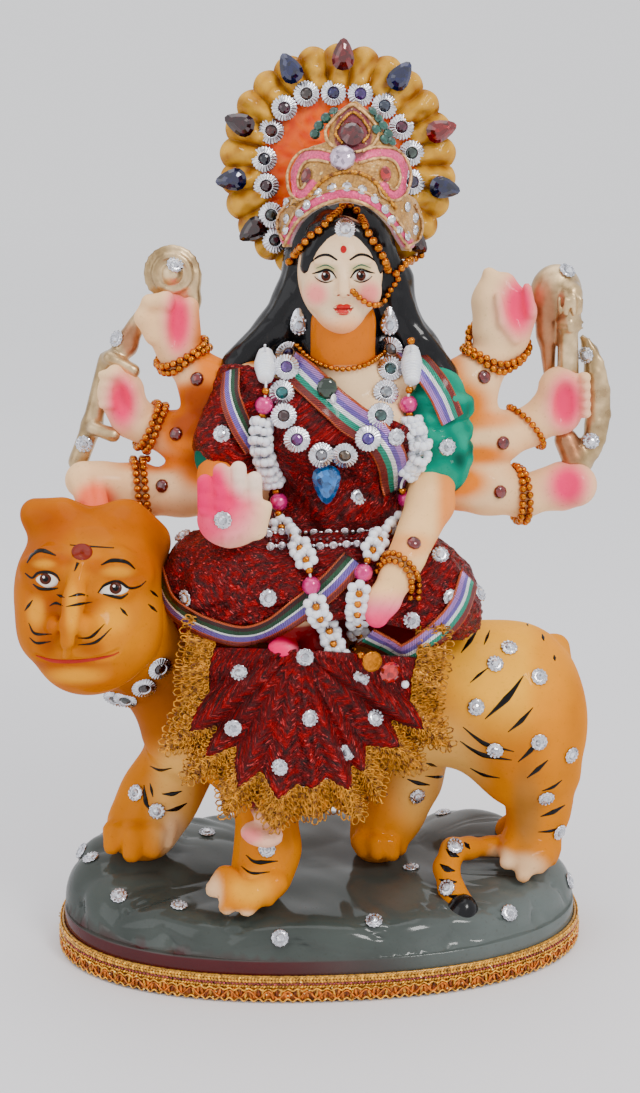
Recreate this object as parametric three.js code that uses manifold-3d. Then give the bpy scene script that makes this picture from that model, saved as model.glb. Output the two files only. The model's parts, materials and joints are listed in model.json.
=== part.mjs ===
// Painted plaster idol: an eight-armed goddess seated on a tiger, on an oval rocky plinth, with a
// fluted halo behind the head, dressed in cloth, bead strings and glued stones.
// Millimetres, +Z up. The origin is in the middle of the underside and the front faces -Y.
import * as THREE from "three";
import { mergeVertices } from "three/addons/utils/BufferGeometryUtils.js";
import Module from "manifold-3d";

const wasm = await Module();
wasm.setup();
const { Manifold, Mesh } = wasm;

// Driving sizes
const STANDING_HEIGHT = 280; // top of the plinth to the top of the halo
const PLINTH_HEIGHT = 13.5;
const BASE_LENGTH = 172;
const BASE_DEPTH = 105;
const ROCK_RISE = 10; // mean height of the rock above the plinth's edge
const HALO_RADIUS = 38;
const HALO_THICKNESS = 5;
const HALO_FLUTES = 26;
const CROWN_THICKNESS = 3.2;
const CLOTH_THICKNESS = 1.2;
const CLOTH_STANDOFF = 1.9; // air between the plaster and the cloth over it
const RIBBON_WIDTH = 9;
const RIBBON_THICKNESS = 0.8;
const PLEATS = 9;
const LACE_WIDTH = 12;
const TRIM_HEIGHT = 9;
const TRIM_THICKNESS = 1.6;
const DISC_DIAMETER = 8.3; // ribbed silver disc with a stone
const DISC_HEIGHT = 2;
const GOLD_BEAD = 3;
const STRAND_BEAD = 7; // widest beads of the garland
const STICKER_DIAMETER = 6;
const CABOCHON_DIAMETER = 5;
const JEWEL_LENGTH = 8;
const GAP = 0.44; // clearance between pieces that touch
const CLEARANCE = GAP * 1.5; // how far a piece is grown before its neighbours are cut by it
const SEAT = CLEARANCE * 1.2; // how far a piece that lies on another stands off it

// The figure is drawn with its plinth 13.5 tall and the halo's top 280 above it: U and place() turn
// drawn lengths and places into real ones.
const DRAWN_HEIGHT = 280;
const DRAWN_PLINTH = 13.5;
const U = STANDING_HEIGHT / DRAWN_HEIGHT;
const place = (x, y, z) => new THREE.Vector3(x * U, y * U, PLINTH_HEIGHT + (z - DRAWN_PLINTH) * U);

// Forms: each gives the distance from a point to its surface, its box, and how softly it blends
function ball(x, y, z, rx, ry, rz, soft = 4) {
  const c = place(x, y, z);
  const [a, b, d] = [rx * U, ry * U, rz * U];
  const half = new THREE.Vector3(a, b, d);
  return {
    soft: soft * U,
    box: new THREE.Box3(c.clone().sub(half), c.clone().add(half)),
    far(px, py, pz) {
      const [ex, ey, ez] = [(px - c.x) / a, (py - c.y) / b, (pz - c.z) / d];
      const k = Math.hypot(ex, ey, ez);
      return (k * (k - 1)) / (Math.hypot(ex / a, ey / b, ez / d) + 1e-9);
    },
  };
}

function limb([ax, ay, az, ar], [bx, by, bz, br], soft = 4) {
  const a = place(ax, ay, az);
  const b = place(bx, by, bz);
  const [dx, dy, dz] = [b.x - a.x, b.y - a.y, b.z - a.z];
  const square = dx * dx + dy * dy + dz * dz;
  const [ra, rb] = [ar * U, br * U];
  const box = new THREE.Box3().setFromPoints([a, b]).expandByScalar(Math.max(ra, rb));
  return {
    soft: soft * U,
    box,
    far(px, py, pz) {
      const [qx, qy, qz] = [px - a.x, py - a.y, pz - a.z];
      const t = Math.min(1, Math.max(0, (qx * dx + qy * dy + qz * dz) / square));
      return Math.hypot(qx - dx * t, qy - dy * t, qz - dz * t) - ra - (rb - ra) * t;
    },
  };
}

// A limb through several points, each x, y, z, radius
const chain = (points, soft) => points.slice(1).map((p, i) => limb(points[i], p, soft));

// An open hand seen from its palm: tilt turns the fingers from straight up towards +X
function hand(x, y, z, tilt, size, soft = 1.2) {
  const turn = THREE.MathUtils.degToRad(tilt);
  const at = (across, along, depth, r) => [
    x + size * (across * Math.cos(turn) + along * Math.sin(turn)),
    y + size * depth,
    z + size * (along * Math.cos(turn) - across * Math.sin(turn)),
    r * size,
  ];
  const palm = [-2.2, 2.2].map((s) => limb(at(s, -5, 0, 4), at(s, 1, 0, 4.2), soft * 2));
  const fingers = [-4.8, -1.6, 1.6, 4.8].map((s, i) => {
    const reach = [8.2, 9.8, 9.8, 8.6][i];
    return limb(at(s, 1, -1.2, 1.9), at(s * 0.95, reach, -0.6, 1.7), soft * 0.5);
  });
  const side = Math.sign(-x || 1);
  const thumb = limb(at(side * 5, -4, -1.5, 2), at(side * 7, 1.5, -2.2, 1.6), soft);
  return [...palm, ...fingers, thumb];
}

// The tiger, walking towards -X with its face turned to the front
const TIGER = [
  ...chain([[-34, 0, 87, 21.5], [0, -2, 84, 23], [45, -2, 84, 24]], 8),
  ball(63, -2, 81, 24.5, 25, 27, 8),
  ball(-45, -4, 80, 15, 18, 22, 8),
  limb([-52, -4, 99, 18], [-66, -18, 116, 20], 8),
  ...chain([[-44, 6, 74, 12], [-48, 6, 62, 11], [-57, 6, 48, 12]], 6),
  ball(-60, 5, 36, 13.5, 14, 9.5, 4),
  ...chain([[-32, -14, 74, 14], [-18, -24, 56, 10], [-18, -26, 43, 9]], 6),
  ball(-26, -31, 30, 14, 12, 8, 4),
  ...chain([[33, 8, 72, 15], [33, 8, 57, 12.5], [27, 8, 40, 10]], 6),
  ball(22, 6, 31.5, 11.5, 14, 8.5, 4),
  ball(67, -12, 73, 20, 15, 26, 6),
  ...chain([[75, -9, 58, 11], [72, -9, 46, 9.5], [71, -8, 35, 8]], 5),
  ball(63, -14, 30, 12, 12, 8, 4),
  ...chain([[80, 8, 96, 5], [84, 10, 70, 5], [83, 12, 40, 5], [66, 8, 31, 5]], 3),
  ...chain([[66, 8, 31, 5], [54, -5, 31, 5], [43, -12, 34, 5], [40, -20, 29, 4.6], [41, -30, 24, 4.6]], 3),
  ball(43, -38, 19.5, 5, 7, 8.5, 3),
];

const TIGER_HEAD = [
  ball(-73, -20, 132.5, 22, 24, 20, 6),
  ball(-74, -22, 115, 19.5, 24, 19, 10),
  limb([-90, -16, 150.5, 5.5], [-82.5, -18, 150.5, 5.5], 8),
  limb([-61.5, -16, 148.5, 6.5], [-55, -12, 140.5, 6.5], 8),
  ball(-91, -26, 125.5, 4.5, 12, 10.5, 8),
  ball(-59.5, -22, 115.5, 9.5, 16, 12.5, 8),
  ...chain([[-91.5, -35, 139.5, 2.2], [-85.5, -39, 142, 2.4], [-81, -41, 140, 2.2]], 5),
  ...chain([[-70, -42, 141, 2.4], [-64, -41, 141.5, 2.8], [-57, -35, 136, 2.4]], 5),
  ball(-86, -36.5, 134.5, 4.3, 5, 3, 1.5),
  ball(-65.5, -39, 132, 5.5, 5.5, 3, 1.5),
  ...chain([[-75.5, -43, 140.5, 3.3], [-77.5, -47, 131, 3.3], [-78.5, -50, 126, 3.6]], 6),
  ball(-83, -47, 124, 2.6, 5, 3, 3),
  ball(-75, -47.5, 124, 3, 5, 3.3, 3),
  ...chain([[-79, -53, 124, 2.5], [-79.5, -52.5, 119.5, 1.5], [-80, -49, 114.5, 0.8]], 2.5),
  ball(-87.5, -37, 116.5, 6, 11, 6.5, 8),
  ball(-70.5, -38, 117, 9, 12, 7.5, 8),
  ball(-73.5, -32, 106.5, 12, 13, 6.5, 8),
];

// The goddess: hips and legs, one folded and one hanging, then waist, bust, shoulders and neck
const BODY = [
  ball(3, -2, 124, 38, 24, 19),
  ball(-24, -7, 123, 24, 18, 17),
  ball(27, -6, 119, 20, 18, 16),
  ...chain([[-6, -8, 124, 14], [-36, -20, 122, 13], [-10, -30, 119, 7.5]]),
  ...chain([[12, -6, 124, 14], [34, -18, 119, 12]]),
  ...chain([[-2, -26, 108, 9], [-18, -35, 60, 7]]),
  ball(-21, -41, 53, 7, 9, 5, 3),
  ball(-15, -38.5, 112, 7, 3.5, 3.5, 2),
];
const LEFT_SHOULDER = limb([-21, -1, 186, 9.5], [-29, -5, 170, 9], 4);
const TORSO = [
  LEFT_SHOULDER,
  ball(5, -2, 146, 20, 14, 17),
  ball(6, -1, 172, 26, 15, 21),
  ball(-5, -11, 175, 10, 8, 10),
  ball(17, -11, 175, 10, 8, 10),
  limb([-20, 0, 186, 9.5], [33, 0, 186, 9.5]),
  limb([6.5, -2, 189, 10.5], [7, -3, 208, 10.5]),
];
const HEAD = [
  ball(6, -4, 224, 13.3, 13.5, 17.5, 2),
  ball(6, -9, 211, 7, 7, 6, 3),
  limb([6, -16.5, 227, 1.2], [6, -18.8, 218.5, 2], 1),
  ball(0.8, -14.5, 224.3, 3, 2.4, 1.9, 0.5),
  ball(11.2, -14.5, 224.3, 3, 2.4, 1.9, 0.5),
  limb([-3, -14.2, 228, 0.9], [2.5, -16.6, 228.6, 0.9], 1),
  limb([9.5, -16.6, 228.6, 0.9], [15, -14.2, 228, 0.9], 1),
  ball(6, -15.6, 213.9, 3.4, 2, 0.9, 0.4),
  ball(6, -15.4, 212.4, 2.8, 2, 0.9, 0.4),
  ball(-3, -11.5, 218, 3.5, 3, 4, 3),
  ball(15, -11.5, 218, 3.5, 3, 4, 3),
];
const HAIR = [
  ball(7, 7, 227, 18, 14, 20, 2),
  limb([6, 6, 224, 14], [6, 5, 197, 14], 3),
  ...chain([[-4, 5, 224, 7], [-7.5, 5, 215, 6.5], [-14, 4, 205, 6], [-26, 2, 194, 5.5]], 3),
  ...chain([[23, 5, 220, 7.5], [24.5, 5, 210, 6.5], [32, 2, 199, 6], [38.5, 0, 190, 6]], 3),
];

// Each back arm runs from the shoulder through the elbow to the wrist, and ends in a hand
const BACK_ARMS = [
  { points: [[-22, 4, 182, 9], [-36, 8, 187, 8.5], [-44, 12, 197, 6]], palm: [-48, 13, 206, -8] },
  { points: [[-22, 4, 170, 9], [-42, 9, 169, 9], [-55, 12, 173, 6]], palm: [-63, 13, 179, -35] },
  { points: [[-20, 2, 156, 9], [-44, 8, 153, 9], [-58, 10, 150, 6.5]], palm: [-69, 10, 150, -82] },
  { points: [[36, 4, 182, 9], [50, 9, 187, 8.5], [59, 12, 197, 6]], palm: [63, 13, 207, 6] },
  { points: [[36, 4, 170, 9], [57, 9, 168, 9], [70, 12, 171, 6]], palm: [78, 13, 178, 35] },
  { points: [[34, 2, 156, 9], [56, 8, 152, 9], [68, 10, 148, 6.5]], palm: [79, 10, 151, 78] },
];
const ARM_ROOTS = [ball(-32, 6, 171, 13, 7, 23, 4), ball(46, 6, 171, 13, 7, 22, 4)];
const HAND_SIZE = 1.15;
const SLEEVE = limb([36, -2, 184, 10.5], [38, -4, 162, 10], 3);
const RESTING_ARM = [
  ...chain([[36, -5, 160, 7.5], [34, -15, 152, 7.5], [24, -33, 138, 5.5]], 2),
  ball(16, -40, 127, 7, 5, 10, 3),
];
const RAISED_ARM = [
  ...chain([[-29, -5, 170, 8.5], [-31, -9, 160, 8], [-32, -16, 151, 7], [-30, -33, 149, 6]], 3),
  ...hand(-29.5, -40, 158, 0, 1.45, 1),
];

// Cast weapons behind the hands: a shell and a long sword at -X, a mace and a bow at +X
const WEAPONS = [
  ball(-46.5, 16, 222, 8.8, 5, 8.8, 2),
  limb([-40.5, 17, 220, 2.4], [-40.5, 17, 203, 2], 2),
  limb([-52, 17, 212, 3.3], [-80, 17, 158, 3.3], 2),
  limb([-66, 17, 195, 2.6], [-58, 17, 190.5, 2.6], 2),
  limb([-73, 17, 172, 2.6], [-65, 17, 168, 2.6], 2),
  ball(78.5, 17, 212, 8.8, 6, 12, 3),
  limb([83.2, 15, 213.5, 4.6], [83.2, 15, 206, 3.6], 2),
  limb([83, 17, 206, 3.4], [83.6, 17, 184, 3.6], 2),
  limb([77.5, 17, 204, 3.5], [79.5, 17, 186, 3], 2),
  ...chain([[83, 17, 202, 1.8], [89.5, 17, 192, 2.8], [94, 17, 179, 3.6]], 2),
  ...chain([[94, 17, 179, 3.6], [94, 17, 169, 3.6], [90.5, 15, 157, 3]], 2),
];
const TRUNKS = [
  ...TIGER,
  ...BODY,
  ...TORSO,
  ...HAIR,
  ...BACK_ARMS.flatMap(({ points, palm: [x, y, z, tilt] }) => [
    ...chain(points, 3),
    ...hand(x, y, z, tilt, HAND_SIZE),
  ]),
  ...ARM_ROOTS,
  SLEEVE,
  ...RESTING_ARM,
  ...RAISED_ARM,
  ...WEAPONS,
];
const FIGURE = [...TRUNKS, ...TIGER_HEAD, ...HEAD];

// The outer shape of the cloth over the lap: both knees and the seat between them
const LAP_CLOTH = [
  ball(-29, -17, 125, 23, 23, 22, 8),
  ball(2, -11, 125, 38, 27, 22, 8),
  ball(30, -15, 119, 21, 21, 22, 8),
];

// Soft union of two distances
function blend(a, b, soft) {
  const h = Math.max(soft - Math.abs(a - b), 0) / soft;
  return Math.min(a, b) - (h * h * soft) / 4;
}
const FAR_AWAY = 1e3;
function distance(forms, p) {
  return forms.reduce((d, f) => blend(d, f.far(p.x, p.y, p.z), f.soft), FAR_AWAY);
}

function gradient(field, p) {
  const step = 0.2;
  const g = new THREE.Vector3();
  for (const axis of ["x", "y", "z"]) {
    const [a, b] = [p.clone(), p.clone()];
    a[axis] += step;
    b[axis] -= step;
    g[axis] = field(a) - field(b);
  }
  return g.normalize();
}

// The point moved along the gradient until it lies at the level
function settle(field, start, level) {
  const p = start.clone();
  for (let i = 0; i < 24; i++) p.addScaledVector(gradient(field, p), 0.8 * (level - field(p)));
  return p;
}

// The point met from the front, at the level
function fromFront(field, x, z, level) {
  const p = new THREE.Vector3(x, -110 * U, z);
  for (let i = 0; i < 80; i++) p.y += Math.max(0.02, (field(p) - level) * 0.7);
  return p;
}

// The level set of the blended forms as a closed quad net, with one vertex in each cell it crosses
function netOf(forms, cell) {
  const box = forms.reduce((b, f) => b.union(f.box), new THREE.Box3()).expandByScalar(3 * cell);
  const size = box.getSize(new THREE.Vector3());
  const [nx, ny, nz] = [size.x, size.y, size.z].map((s) => Math.ceil(s / cell) + 1);
  const values = new Float32Array(nx * ny * nz).fill(FAR_AWAY);
  const index = (i, j, k) => (k * ny + j) * nx + i;
  for (const f of forms) {
    const lo = f.box.min.clone().subScalar(f.soft + 3 * cell).sub(box.min).divideScalar(cell);
    const hi = f.box.max.clone().addScalar(f.soft + 3 * cell).sub(box.min).divideScalar(cell);
    const [i0, j0, k0] = [lo.x, lo.y, lo.z].map((v) => Math.max(0, Math.floor(v)));
    const ends = [Math.min(nx - 1, hi.x), Math.min(ny - 1, hi.y), Math.min(nz - 1, hi.z)];
    for (let k = k0; k <= ends[2]; k++)
      for (let j = j0; j <= ends[1]; j++)
        for (let i = i0; i <= ends[0]; i++) {
          const at = index(i, j, k);
          const d = f.far(box.min.x + i * cell, box.min.y + j * cell, box.min.z + k * cell);
          values[at] = blend(values[at], d, f.soft);
        }
  }
  const vertices = [];
  const vertexOf = new Int32Array(nx * ny * nz).fill(-1);
  const corners = [0, 1, 2, 3, 4, 5, 6, 7].map((c) => [c & 1, (c >> 1) & 1, c >> 2]);
  const edges = corners.flatMap((_, a) => [1, 2, 4].filter((bit) => !(a & bit)).map((bit) => [a, a | bit]));
  for (let k = 0; k < nz - 1; k++)
    for (let j = 0; j < ny - 1; j++)
      for (let i = 0; i < nx - 1; i++) {
        const v = corners.map(([a, b, c]) => values[index(i + a, j + b, k + c)]);
        const inside = v.filter((d) => d < 0).length;
        if (inside === 0 || inside === 8) continue;
        const sum = [0, 0, 0];
        let count = 0;
        for (const [a, b] of edges) {
          if (v[a] < 0 === v[b] < 0) continue;
          const t = v[a] / (v[a] - v[b]);
          for (let n = 0; n < 3; n++) sum[n] += corners[a][n] + t * (corners[b][n] - corners[a][n]);
          count++;
        }
        vertexOf[index(i, j, k)] = vertices.length;
        vertices.push([
          box.min.x + (i + sum[0] / count) * cell,
          box.min.y + (j + sum[1] / count) * cell,
          box.min.z + (k + sum[2] / count) * cell,
        ]);
      }
  const faces = [];
  const quad = (a, b, c, d, flip) => {
    if (flip) faces.push([a, c, b], [a, d, c]);
    else faces.push([a, b, c], [a, c, d]);
  };
  for (let k = 1; k < nz - 1; k++)
    for (let j = 1; j < ny - 1; j++)
      for (let i = 1; i < nx - 1; i++) {
        const here = values[index(i, j, k)] < 0;
        const cellAt = (a, b, c) => vertexOf[index(i - a, j - b, k - c)];
        if (here !== values[index(i + 1, j, k)] < 0)
          quad(cellAt(0, 1, 1), cellAt(0, 0, 1), cellAt(0, 0, 0), cellAt(0, 1, 0), !here);
        if (here !== values[index(i, j + 1, k)] < 0)
          quad(cellAt(1, 0, 1), cellAt(1, 0, 0), cellAt(0, 0, 0), cellAt(0, 0, 1), !here);
        if (here !== values[index(i, j, k + 1)] < 0)
          quad(cellAt(1, 1, 0), cellAt(0, 1, 0), cellAt(0, 0, 0), cellAt(1, 0, 0), !here);
      }
  return { vertices, faces };
}

// Error quadric of a plane, as the ten entries of a symmetric matrix
function planeQuadric(n, d, weight) {
  const [a, b, c] = [n.x, n.y, n.z];
  return [a * a, a * b, a * c, a * d, b * b, b * c, b * d, c * c, c * d, d * d].map((v) => v * weight);
}
function quadricError(q, [x, y, z]) {
  return (
    q[0] * x * x + 2 * q[1] * x * y + 2 * q[2] * x * z + 2 * q[3] * x +
    q[4] * y * y + 2 * q[5] * y * z + 2 * q[6] * y + q[7] * z * z + 2 * q[8] * z + q[9]
  );
}
function bestPoint(q, a, b) {
  const m = new THREE.Matrix3().set(q[0], q[1], q[2], q[1], q[4], q[5], q[2], q[5], q[7]);
  const middle = a.map((v, i) => (v + b[i]) / 2);
  const span = Math.hypot(...a.map((v, i) => v - b[i]));
  if (Math.abs(m.determinant()) > 1e-4) {
    const p = new THREE.Vector3(-q[3], -q[6], -q[8]).applyMatrix3(m.invert()).toArray();
    if (Math.hypot(...p.map((v, i) => v - middle[i])) < span * 1.5) return p;
  }
  return [a, b, middle].reduce((best, p) => (quadricError(q, p) < quadricError(q, best) ? p : best));
}

const SLIVER = 1e-3; // a face with less than half this area may turn over as it collapses

// The closed net with its edges collapsed, cheapest first, until it has this many triangles or the
// next collapse costs more than the limit
function reduce({ vertices, faces }, target, limit = Infinity) {
  const point = vertices.map((v) => [...v]);
  const around = point.map(() => new Set());
  faces.forEach((f, i) => f.forEach((v) => around[v].add(i)));
  const normalOf = (a, b, c) => {
    const u = new THREE.Vector3(b[0] - a[0], b[1] - a[1], b[2] - a[2]);
    return u.cross(new THREE.Vector3(c[0] - a[0], c[1] - a[1], c[2] - a[2]));
  };
  const quadric = point.map(() => new Array(10).fill(0));
  for (const f of faces) {
    const n = normalOf(...f.map((v) => point[v]));
    const area = n.length() / 2;
    if (area < 1e-12) continue;
    n.normalize();
    const weight = limit === Infinity ? area : 1;
    const q = planeQuadric(n, -n.dot(new THREE.Vector3(...point[f[0]])), weight);
    for (const v of f) for (let i = 0; i < 10; i++) quadric[v][i] += q[i];
  }
  const alive = faces.map(() => true);
  const version = new Uint32Array(point.length);
  const heap = [];
  const swap = (i, j) => ([heap[i], heap[j]] = [heap[j], heap[i]]);
  function push(item) {
    let i = heap.push(item) - 1;
    while (i > 0 && heap[i].cost < heap[(i - 1) >> 1].cost) {
      swap(i, (i - 1) >> 1);
      i = (i - 1) >> 1;
    }
  }
  function pop() {
    const top = heap[0];
    const last = heap.pop();
    if (heap.length) {
      heap[0] = last;
      for (let i = 0; ; ) {
        let least = i;
        for (const child of [2 * i + 1, 2 * i + 2])
          if (child < heap.length && heap[child].cost < heap[least].cost) least = child;
        if (least === i) break;
        swap(i, least);
        i = least;
      }
    }
    return top;
  }
  function offer(a, b) {
    const q = quadric[a].map((v, i) => v + quadric[b][i]);
    const p = bestPoint(q, point[a], point[b]);
    const length = Math.hypot(...point[a].map((v, i) => v - point[b][i]));
    const cost = Math.max(0, quadricError(q, p)) + 1e-4 * length ** 2;
    if (cost < limit) push({ cost, a, b, p, q, va: version[a], vb: version[b] });
  }
  const neighbours = (v) => {
    const set = new Set();
    for (const f of around[v]) for (const w of faces[f]) if (w !== v) set.add(w);
    return set;
  };
  point.forEach((_, v) => neighbours(v).forEach((w) => v < w && offer(v, w)));
  const turnsOver = (v, other, p) => {
    for (const f of around[v]) {
      if (faces[f].includes(other)) continue;
      const before = normalOf(...faces[f].map((w) => point[w]));
      const after = normalOf(...faces[f].map((w) => (w === v ? p : point[w])));
      if (before.length() < SLIVER) continue;
      if (before.dot(after) <= 0.15 * before.length() * after.length()) return true;
    }
    return false;
  };
  let count = faces.length;
  while (count > target && heap.length) {
    const { a, b, p, q, va, vb } = pop();
    if (va !== version[a] || vb !== version[b] || !around[a].size || !around[b].size) continue;
    const [na, nb] = [neighbours(a), neighbours(b)];
    const shared = [...na].filter((v) => nb.has(v));
    if (shared.length !== 2 || turnsOver(a, b, p) || turnsOver(b, a, p)) continue;
    if (shared.some((v) => around[v].size <= 3)) continue;
    for (const f of [...around[b]]) {
      if (faces[f].includes(a)) {
        alive[f] = false;
        faces[f].forEach((v) => around[v].delete(f));
        count--;
      } else {
        faces[f] = faces[f].map((v) => (v === b ? a : v));
        around[a].add(f);
      }
    }
    around[b].clear();
    point[a] = p;
    quadric[a] = q;
    version[a]++;
    version[b]++;
    neighbours(a).forEach((v) => offer(a, v));
  }
  return { vertices: point, faces: faces.filter((_, i) => alive[i]) };
}

// Solids and geometries
function solidOf({ vertices, faces }) {
  return new Manifold(
    new Mesh({
      numProp: 3,
      vertProperties: new Float32Array(vertices.flat()),
      triVerts: new Uint32Array(faces.flat()),
    }),
  );
}
function solidFrom(geometry) {
  const bare = geometry.clone();
  bare.deleteAttribute("normal");
  bare.deleteAttribute("uv");
  const merged = mergeVertices(bare, 1e-4);
  return new Manifold(
    new Mesh({
      numProp: 3,
      vertProperties: merged.attributes.position.array,
      triVerts: new Uint32Array(merged.index.array),
    }),
  );
}
const outward = ({ vertices, faces }) => {
  const solid = solidOf({ vertices, faces });
  return solid.volume() > 0 ? solid : solidOf({ vertices, faces: faces.map(([a, b, c]) => [a, c, b]) });
};
function netFrom(solid) {
  const { vertProperties: p, triVerts: t } = solid.getMesh();
  const vertices = [];
  const faces = [];
  for (let i = 0; i < p.length; i += 3) vertices.push([p[i], p[i + 1], p[i + 2]]);
  for (let i = 0; i < t.length; i += 3) faces.push([t[i], t[i + 1], t[i + 2]]);
  return { vertices, faces };
}
function geometryOf(solid) {
  const { vertices, faces } = netFrom(solid);
  return new THREE.BufferGeometry()
    .setAttribute("position", new THREE.Float32BufferAttribute(vertices.flat(), 3))
    .setIndex(faces.flat())
    .toNonIndexed();
}

// The solid grown by pushing each vertex out along its mean normal
function grown(solid, by) {
  const { vertices, faces } = netFrom(solid);
  const normals = vertices.map(() => new THREE.Vector3());
  for (const f of faces) {
    const [a, b, c] = f.map((v) => new THREE.Vector3(...vertices[v]));
    const corners = [a, b, c];
    const n = b.clone().sub(a).cross(c.clone().sub(a)).normalize();
    f.forEach((v, i) => {
      const to = corners[(i + 1) % 3].clone().sub(corners[i]);
      normals[v].addScaledVector(n, to.angleTo(corners[(i + 2) % 3].clone().sub(corners[i])));
    });
  }
  return solidOf({
    vertices: vertices.map((p, i) => {
      return new THREE.Vector3(...p).addScaledVector(normals[i].normalize(), by).toArray();
    }),
    faces,
  });
}
const TIDY_ERROR = 0.02; // sum of squared distances that a merged vertex may move off its planes
const tidied = (solid) => solidOf(reduce(netFrom(solid), 0, TIDY_ERROR));
const largest = (solid) => solid.decompose().reduce((a, b) => (b.volume() > a.volume() ? b : a));

// A closed solid between two grids of points: rows of columns, closed round the columns if asked
function between(outer, inner, ring = false) {
  const rows = outer.length;
  const columns = outer[0].length;
  const vertices = [...outer.flat(), ...inner.flat()].map((p) => p.toArray());
  const at = (layer, r, c) => layer * rows * columns + r * columns + (c % columns);
  const faces = [];
  const quad = (a, b, c, d) => faces.push([a, b, c], [a, c, d]);
  const last = ring ? columns : columns - 1;
  for (let c = 0; c < last; c++) {
    for (let r = 0; r < rows - 1; r++) {
      quad(at(0, r, c), at(0, r + 1, c), at(0, r + 1, c + 1), at(0, r, c + 1));
      quad(at(1, r, c), at(1, r, c + 1), at(1, r + 1, c + 1), at(1, r + 1, c));
    }
    quad(at(0, 0, c), at(0, 0, c + 1), at(1, 0, c + 1), at(1, 0, c));
    quad(at(0, rows - 1, c), at(1, rows - 1, c), at(1, rows - 1, c + 1), at(0, rows - 1, c + 1));
  }
  if (!ring)
    for (let r = 0; r < rows - 1; r++) {
      quad(at(0, r, 0), at(1, r, 0), at(1, r + 1, 0), at(0, r + 1, 0));
      const c = columns - 1;
      quad(at(0, r, c), at(0, r + 1, c), at(1, r + 1, c), at(1, r, c));
    }
  return outward({ vertices, faces });
}
const grid = (rows, columns, point) =>
  Array.from({ length: rows + 1 }, (_, r) =>
    Array.from({ length: columns + 1 }, (_, c) => point(c / columns, r / rows)),
  );

// A round solid over an outline: rings of points from the middle out, then straight down to a floor
function mound(sides, rings, outline, top, floor) {
  const vertices = [top(0, 0), floor(0, 0)].map((p) => p.toArray());
  const faces = [];
  const first = (ring) => 2 + ring * sides;
  for (let r = 1; r <= rings + 1; r++)
    for (let s = 0; s < sides; s++) {
      const turn = (s / sides) * 2 * Math.PI;
      const [x, y] = outline(turn);
      const share = Math.min(r, rings) / rings;
      vertices.push((r > rings ? floor : top)(x * share, y * share).toArray());
    }
  for (let s = 0; s < sides; s++) {
    const t = (s + 1) % sides;
    faces.push([0, first(0) + s, first(0) + t], [1, first(rings) + t, first(rings) + s]);
    for (let r = 0; r < rings; r++)
      faces.push(
        [first(r) + s, first(r + 1) + s, first(r + 1) + t],
        [first(r) + s, first(r + 1) + t, first(r) + t],
      );
  }
  return outward({ vertices, faces });
}

// The plinth's oval, a little squarer than an ellipse
const OVAL_POWER = 2 / 2.25;
const rounded = (v) => Math.sign(v) * Math.abs(v) ** OVAL_POWER;
const oval = (turn, outset = 0) => [
  (BASE_LENGTH / 2 + outset) * rounded(Math.cos(turn)),
  (BASE_DEPTH / 2 + outset) * rounded(Math.sin(turn)),
];

// Rock over the plinth: boulders with creases between, each a place and a reach as shares of the
// half size, and a rise
const BOULDERS = [
  [-0.84, 0.22, 0.34, 8], [-0.8, -0.28, 0.3, 2.5], [-0.6, -0.6, 0.3, -0.5], [-0.38, -0.5, 0.32, -2],
  [-0.06, -0.66, 0.34, -2.5],
  [0.22, -0.5, 0.3, -1.5], [0.5, -0.62, 0.3, -2], [0.62, -0.15, 0.28, -1.5], [0.92, -0.1, 0.26, 2.5],
  [0.72, 0.42, 0.32, 6.5], [0.3, 0.5, 0.36, 1], [-0.1, 0.6, 0.4, 1.5], [-0.55, 0.55, 0.38, 3],
  [0.25, 0.05, 0.36, -1.5], [-0.15, 0, 0.4, -1], [-0.55, 0.1, 0.34, 3],
];
const BULGE = 9; // drawn height of a whole boulder's dome
const ROCK_EDGE = 16; // how squarely the rock rises from the plinth's edge
const BASE_TRIANGLES = 540;
function rockTop(x, y) {
  const [sx, sy] = [x / (BASE_LENGTH / 2), y / (BASE_DEPTH / 2)];
  const edge = 1 - Math.min(1, Math.hypot(sx, sy)) ** ROCK_EDGE;
  const lumps = BOULDERS.map(([bx, by, reach, rise]) => {
    const far = Math.hypot(sx - bx, (sy - by) * 0.7) / reach;
    return rise + BULGE * (Math.sqrt(Math.max(0, 1 - far ** 2)) - 1);
  });
  return PLINTH_HEIGHT + Math.sqrt(edge) * Math.max(0.5, ROCK_RISE + 2 + Math.max(...lumps) * U);
}
function makeBase() {
  const fine = mound(
    64,
    16,
    (turn) => oval(turn),
    (x, y) => new THREE.Vector3(x, y, rockTop(x, y)),
    (x, y) => new THREE.Vector3(x, y, 0),
  );
  return solidOf(reduce(netFrom(fine), BASE_TRIANGLES));
}

// The halo: a disc with a fluted, scalloped rim around a sunk field
const HALO_CENTRE = place(7, 19, DRAWN_PLINTH);
HALO_CENTRE.z = PLINTH_HEIGHT + STANDING_HEIGHT - HALO_RADIUS;
const HALO_FIELD = 0.64; // share of the radius that the sunk field takes
const HALO_TRIANGLES = 380;
function makeHalo() {
  const scallop = (turn) => Math.abs(Math.cos((turn * HALO_FLUTES) / 2));
  const outline = (turn) => {
    const r = HALO_RADIUS * (0.965 + 0.035 * scallop(turn));
    return [r * Math.sin(turn), r * Math.cos(turn)];
  };
  const front = (x, z) => {
    const share = Math.hypot(x, z) / HALO_RADIUS;
    const flute = 0.7 + 0.3 * scallop(Math.atan2(x, z));
    const rim = share > HALO_FIELD && share < 0.95 ? flute : 0.55;
    return new THREE.Vector3(x, -HALO_THICKNESS * rim, z).add(HALO_CENTRE);
  };
  const back = (x, z) => new THREE.Vector3(x, 0, z).add(HALO_CENTRE);
  return solidOf(reduce(netFrom(mound(HALO_FLUTES * 2, 8, outline, front, back)), HALO_TRIANGLES));
}

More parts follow.
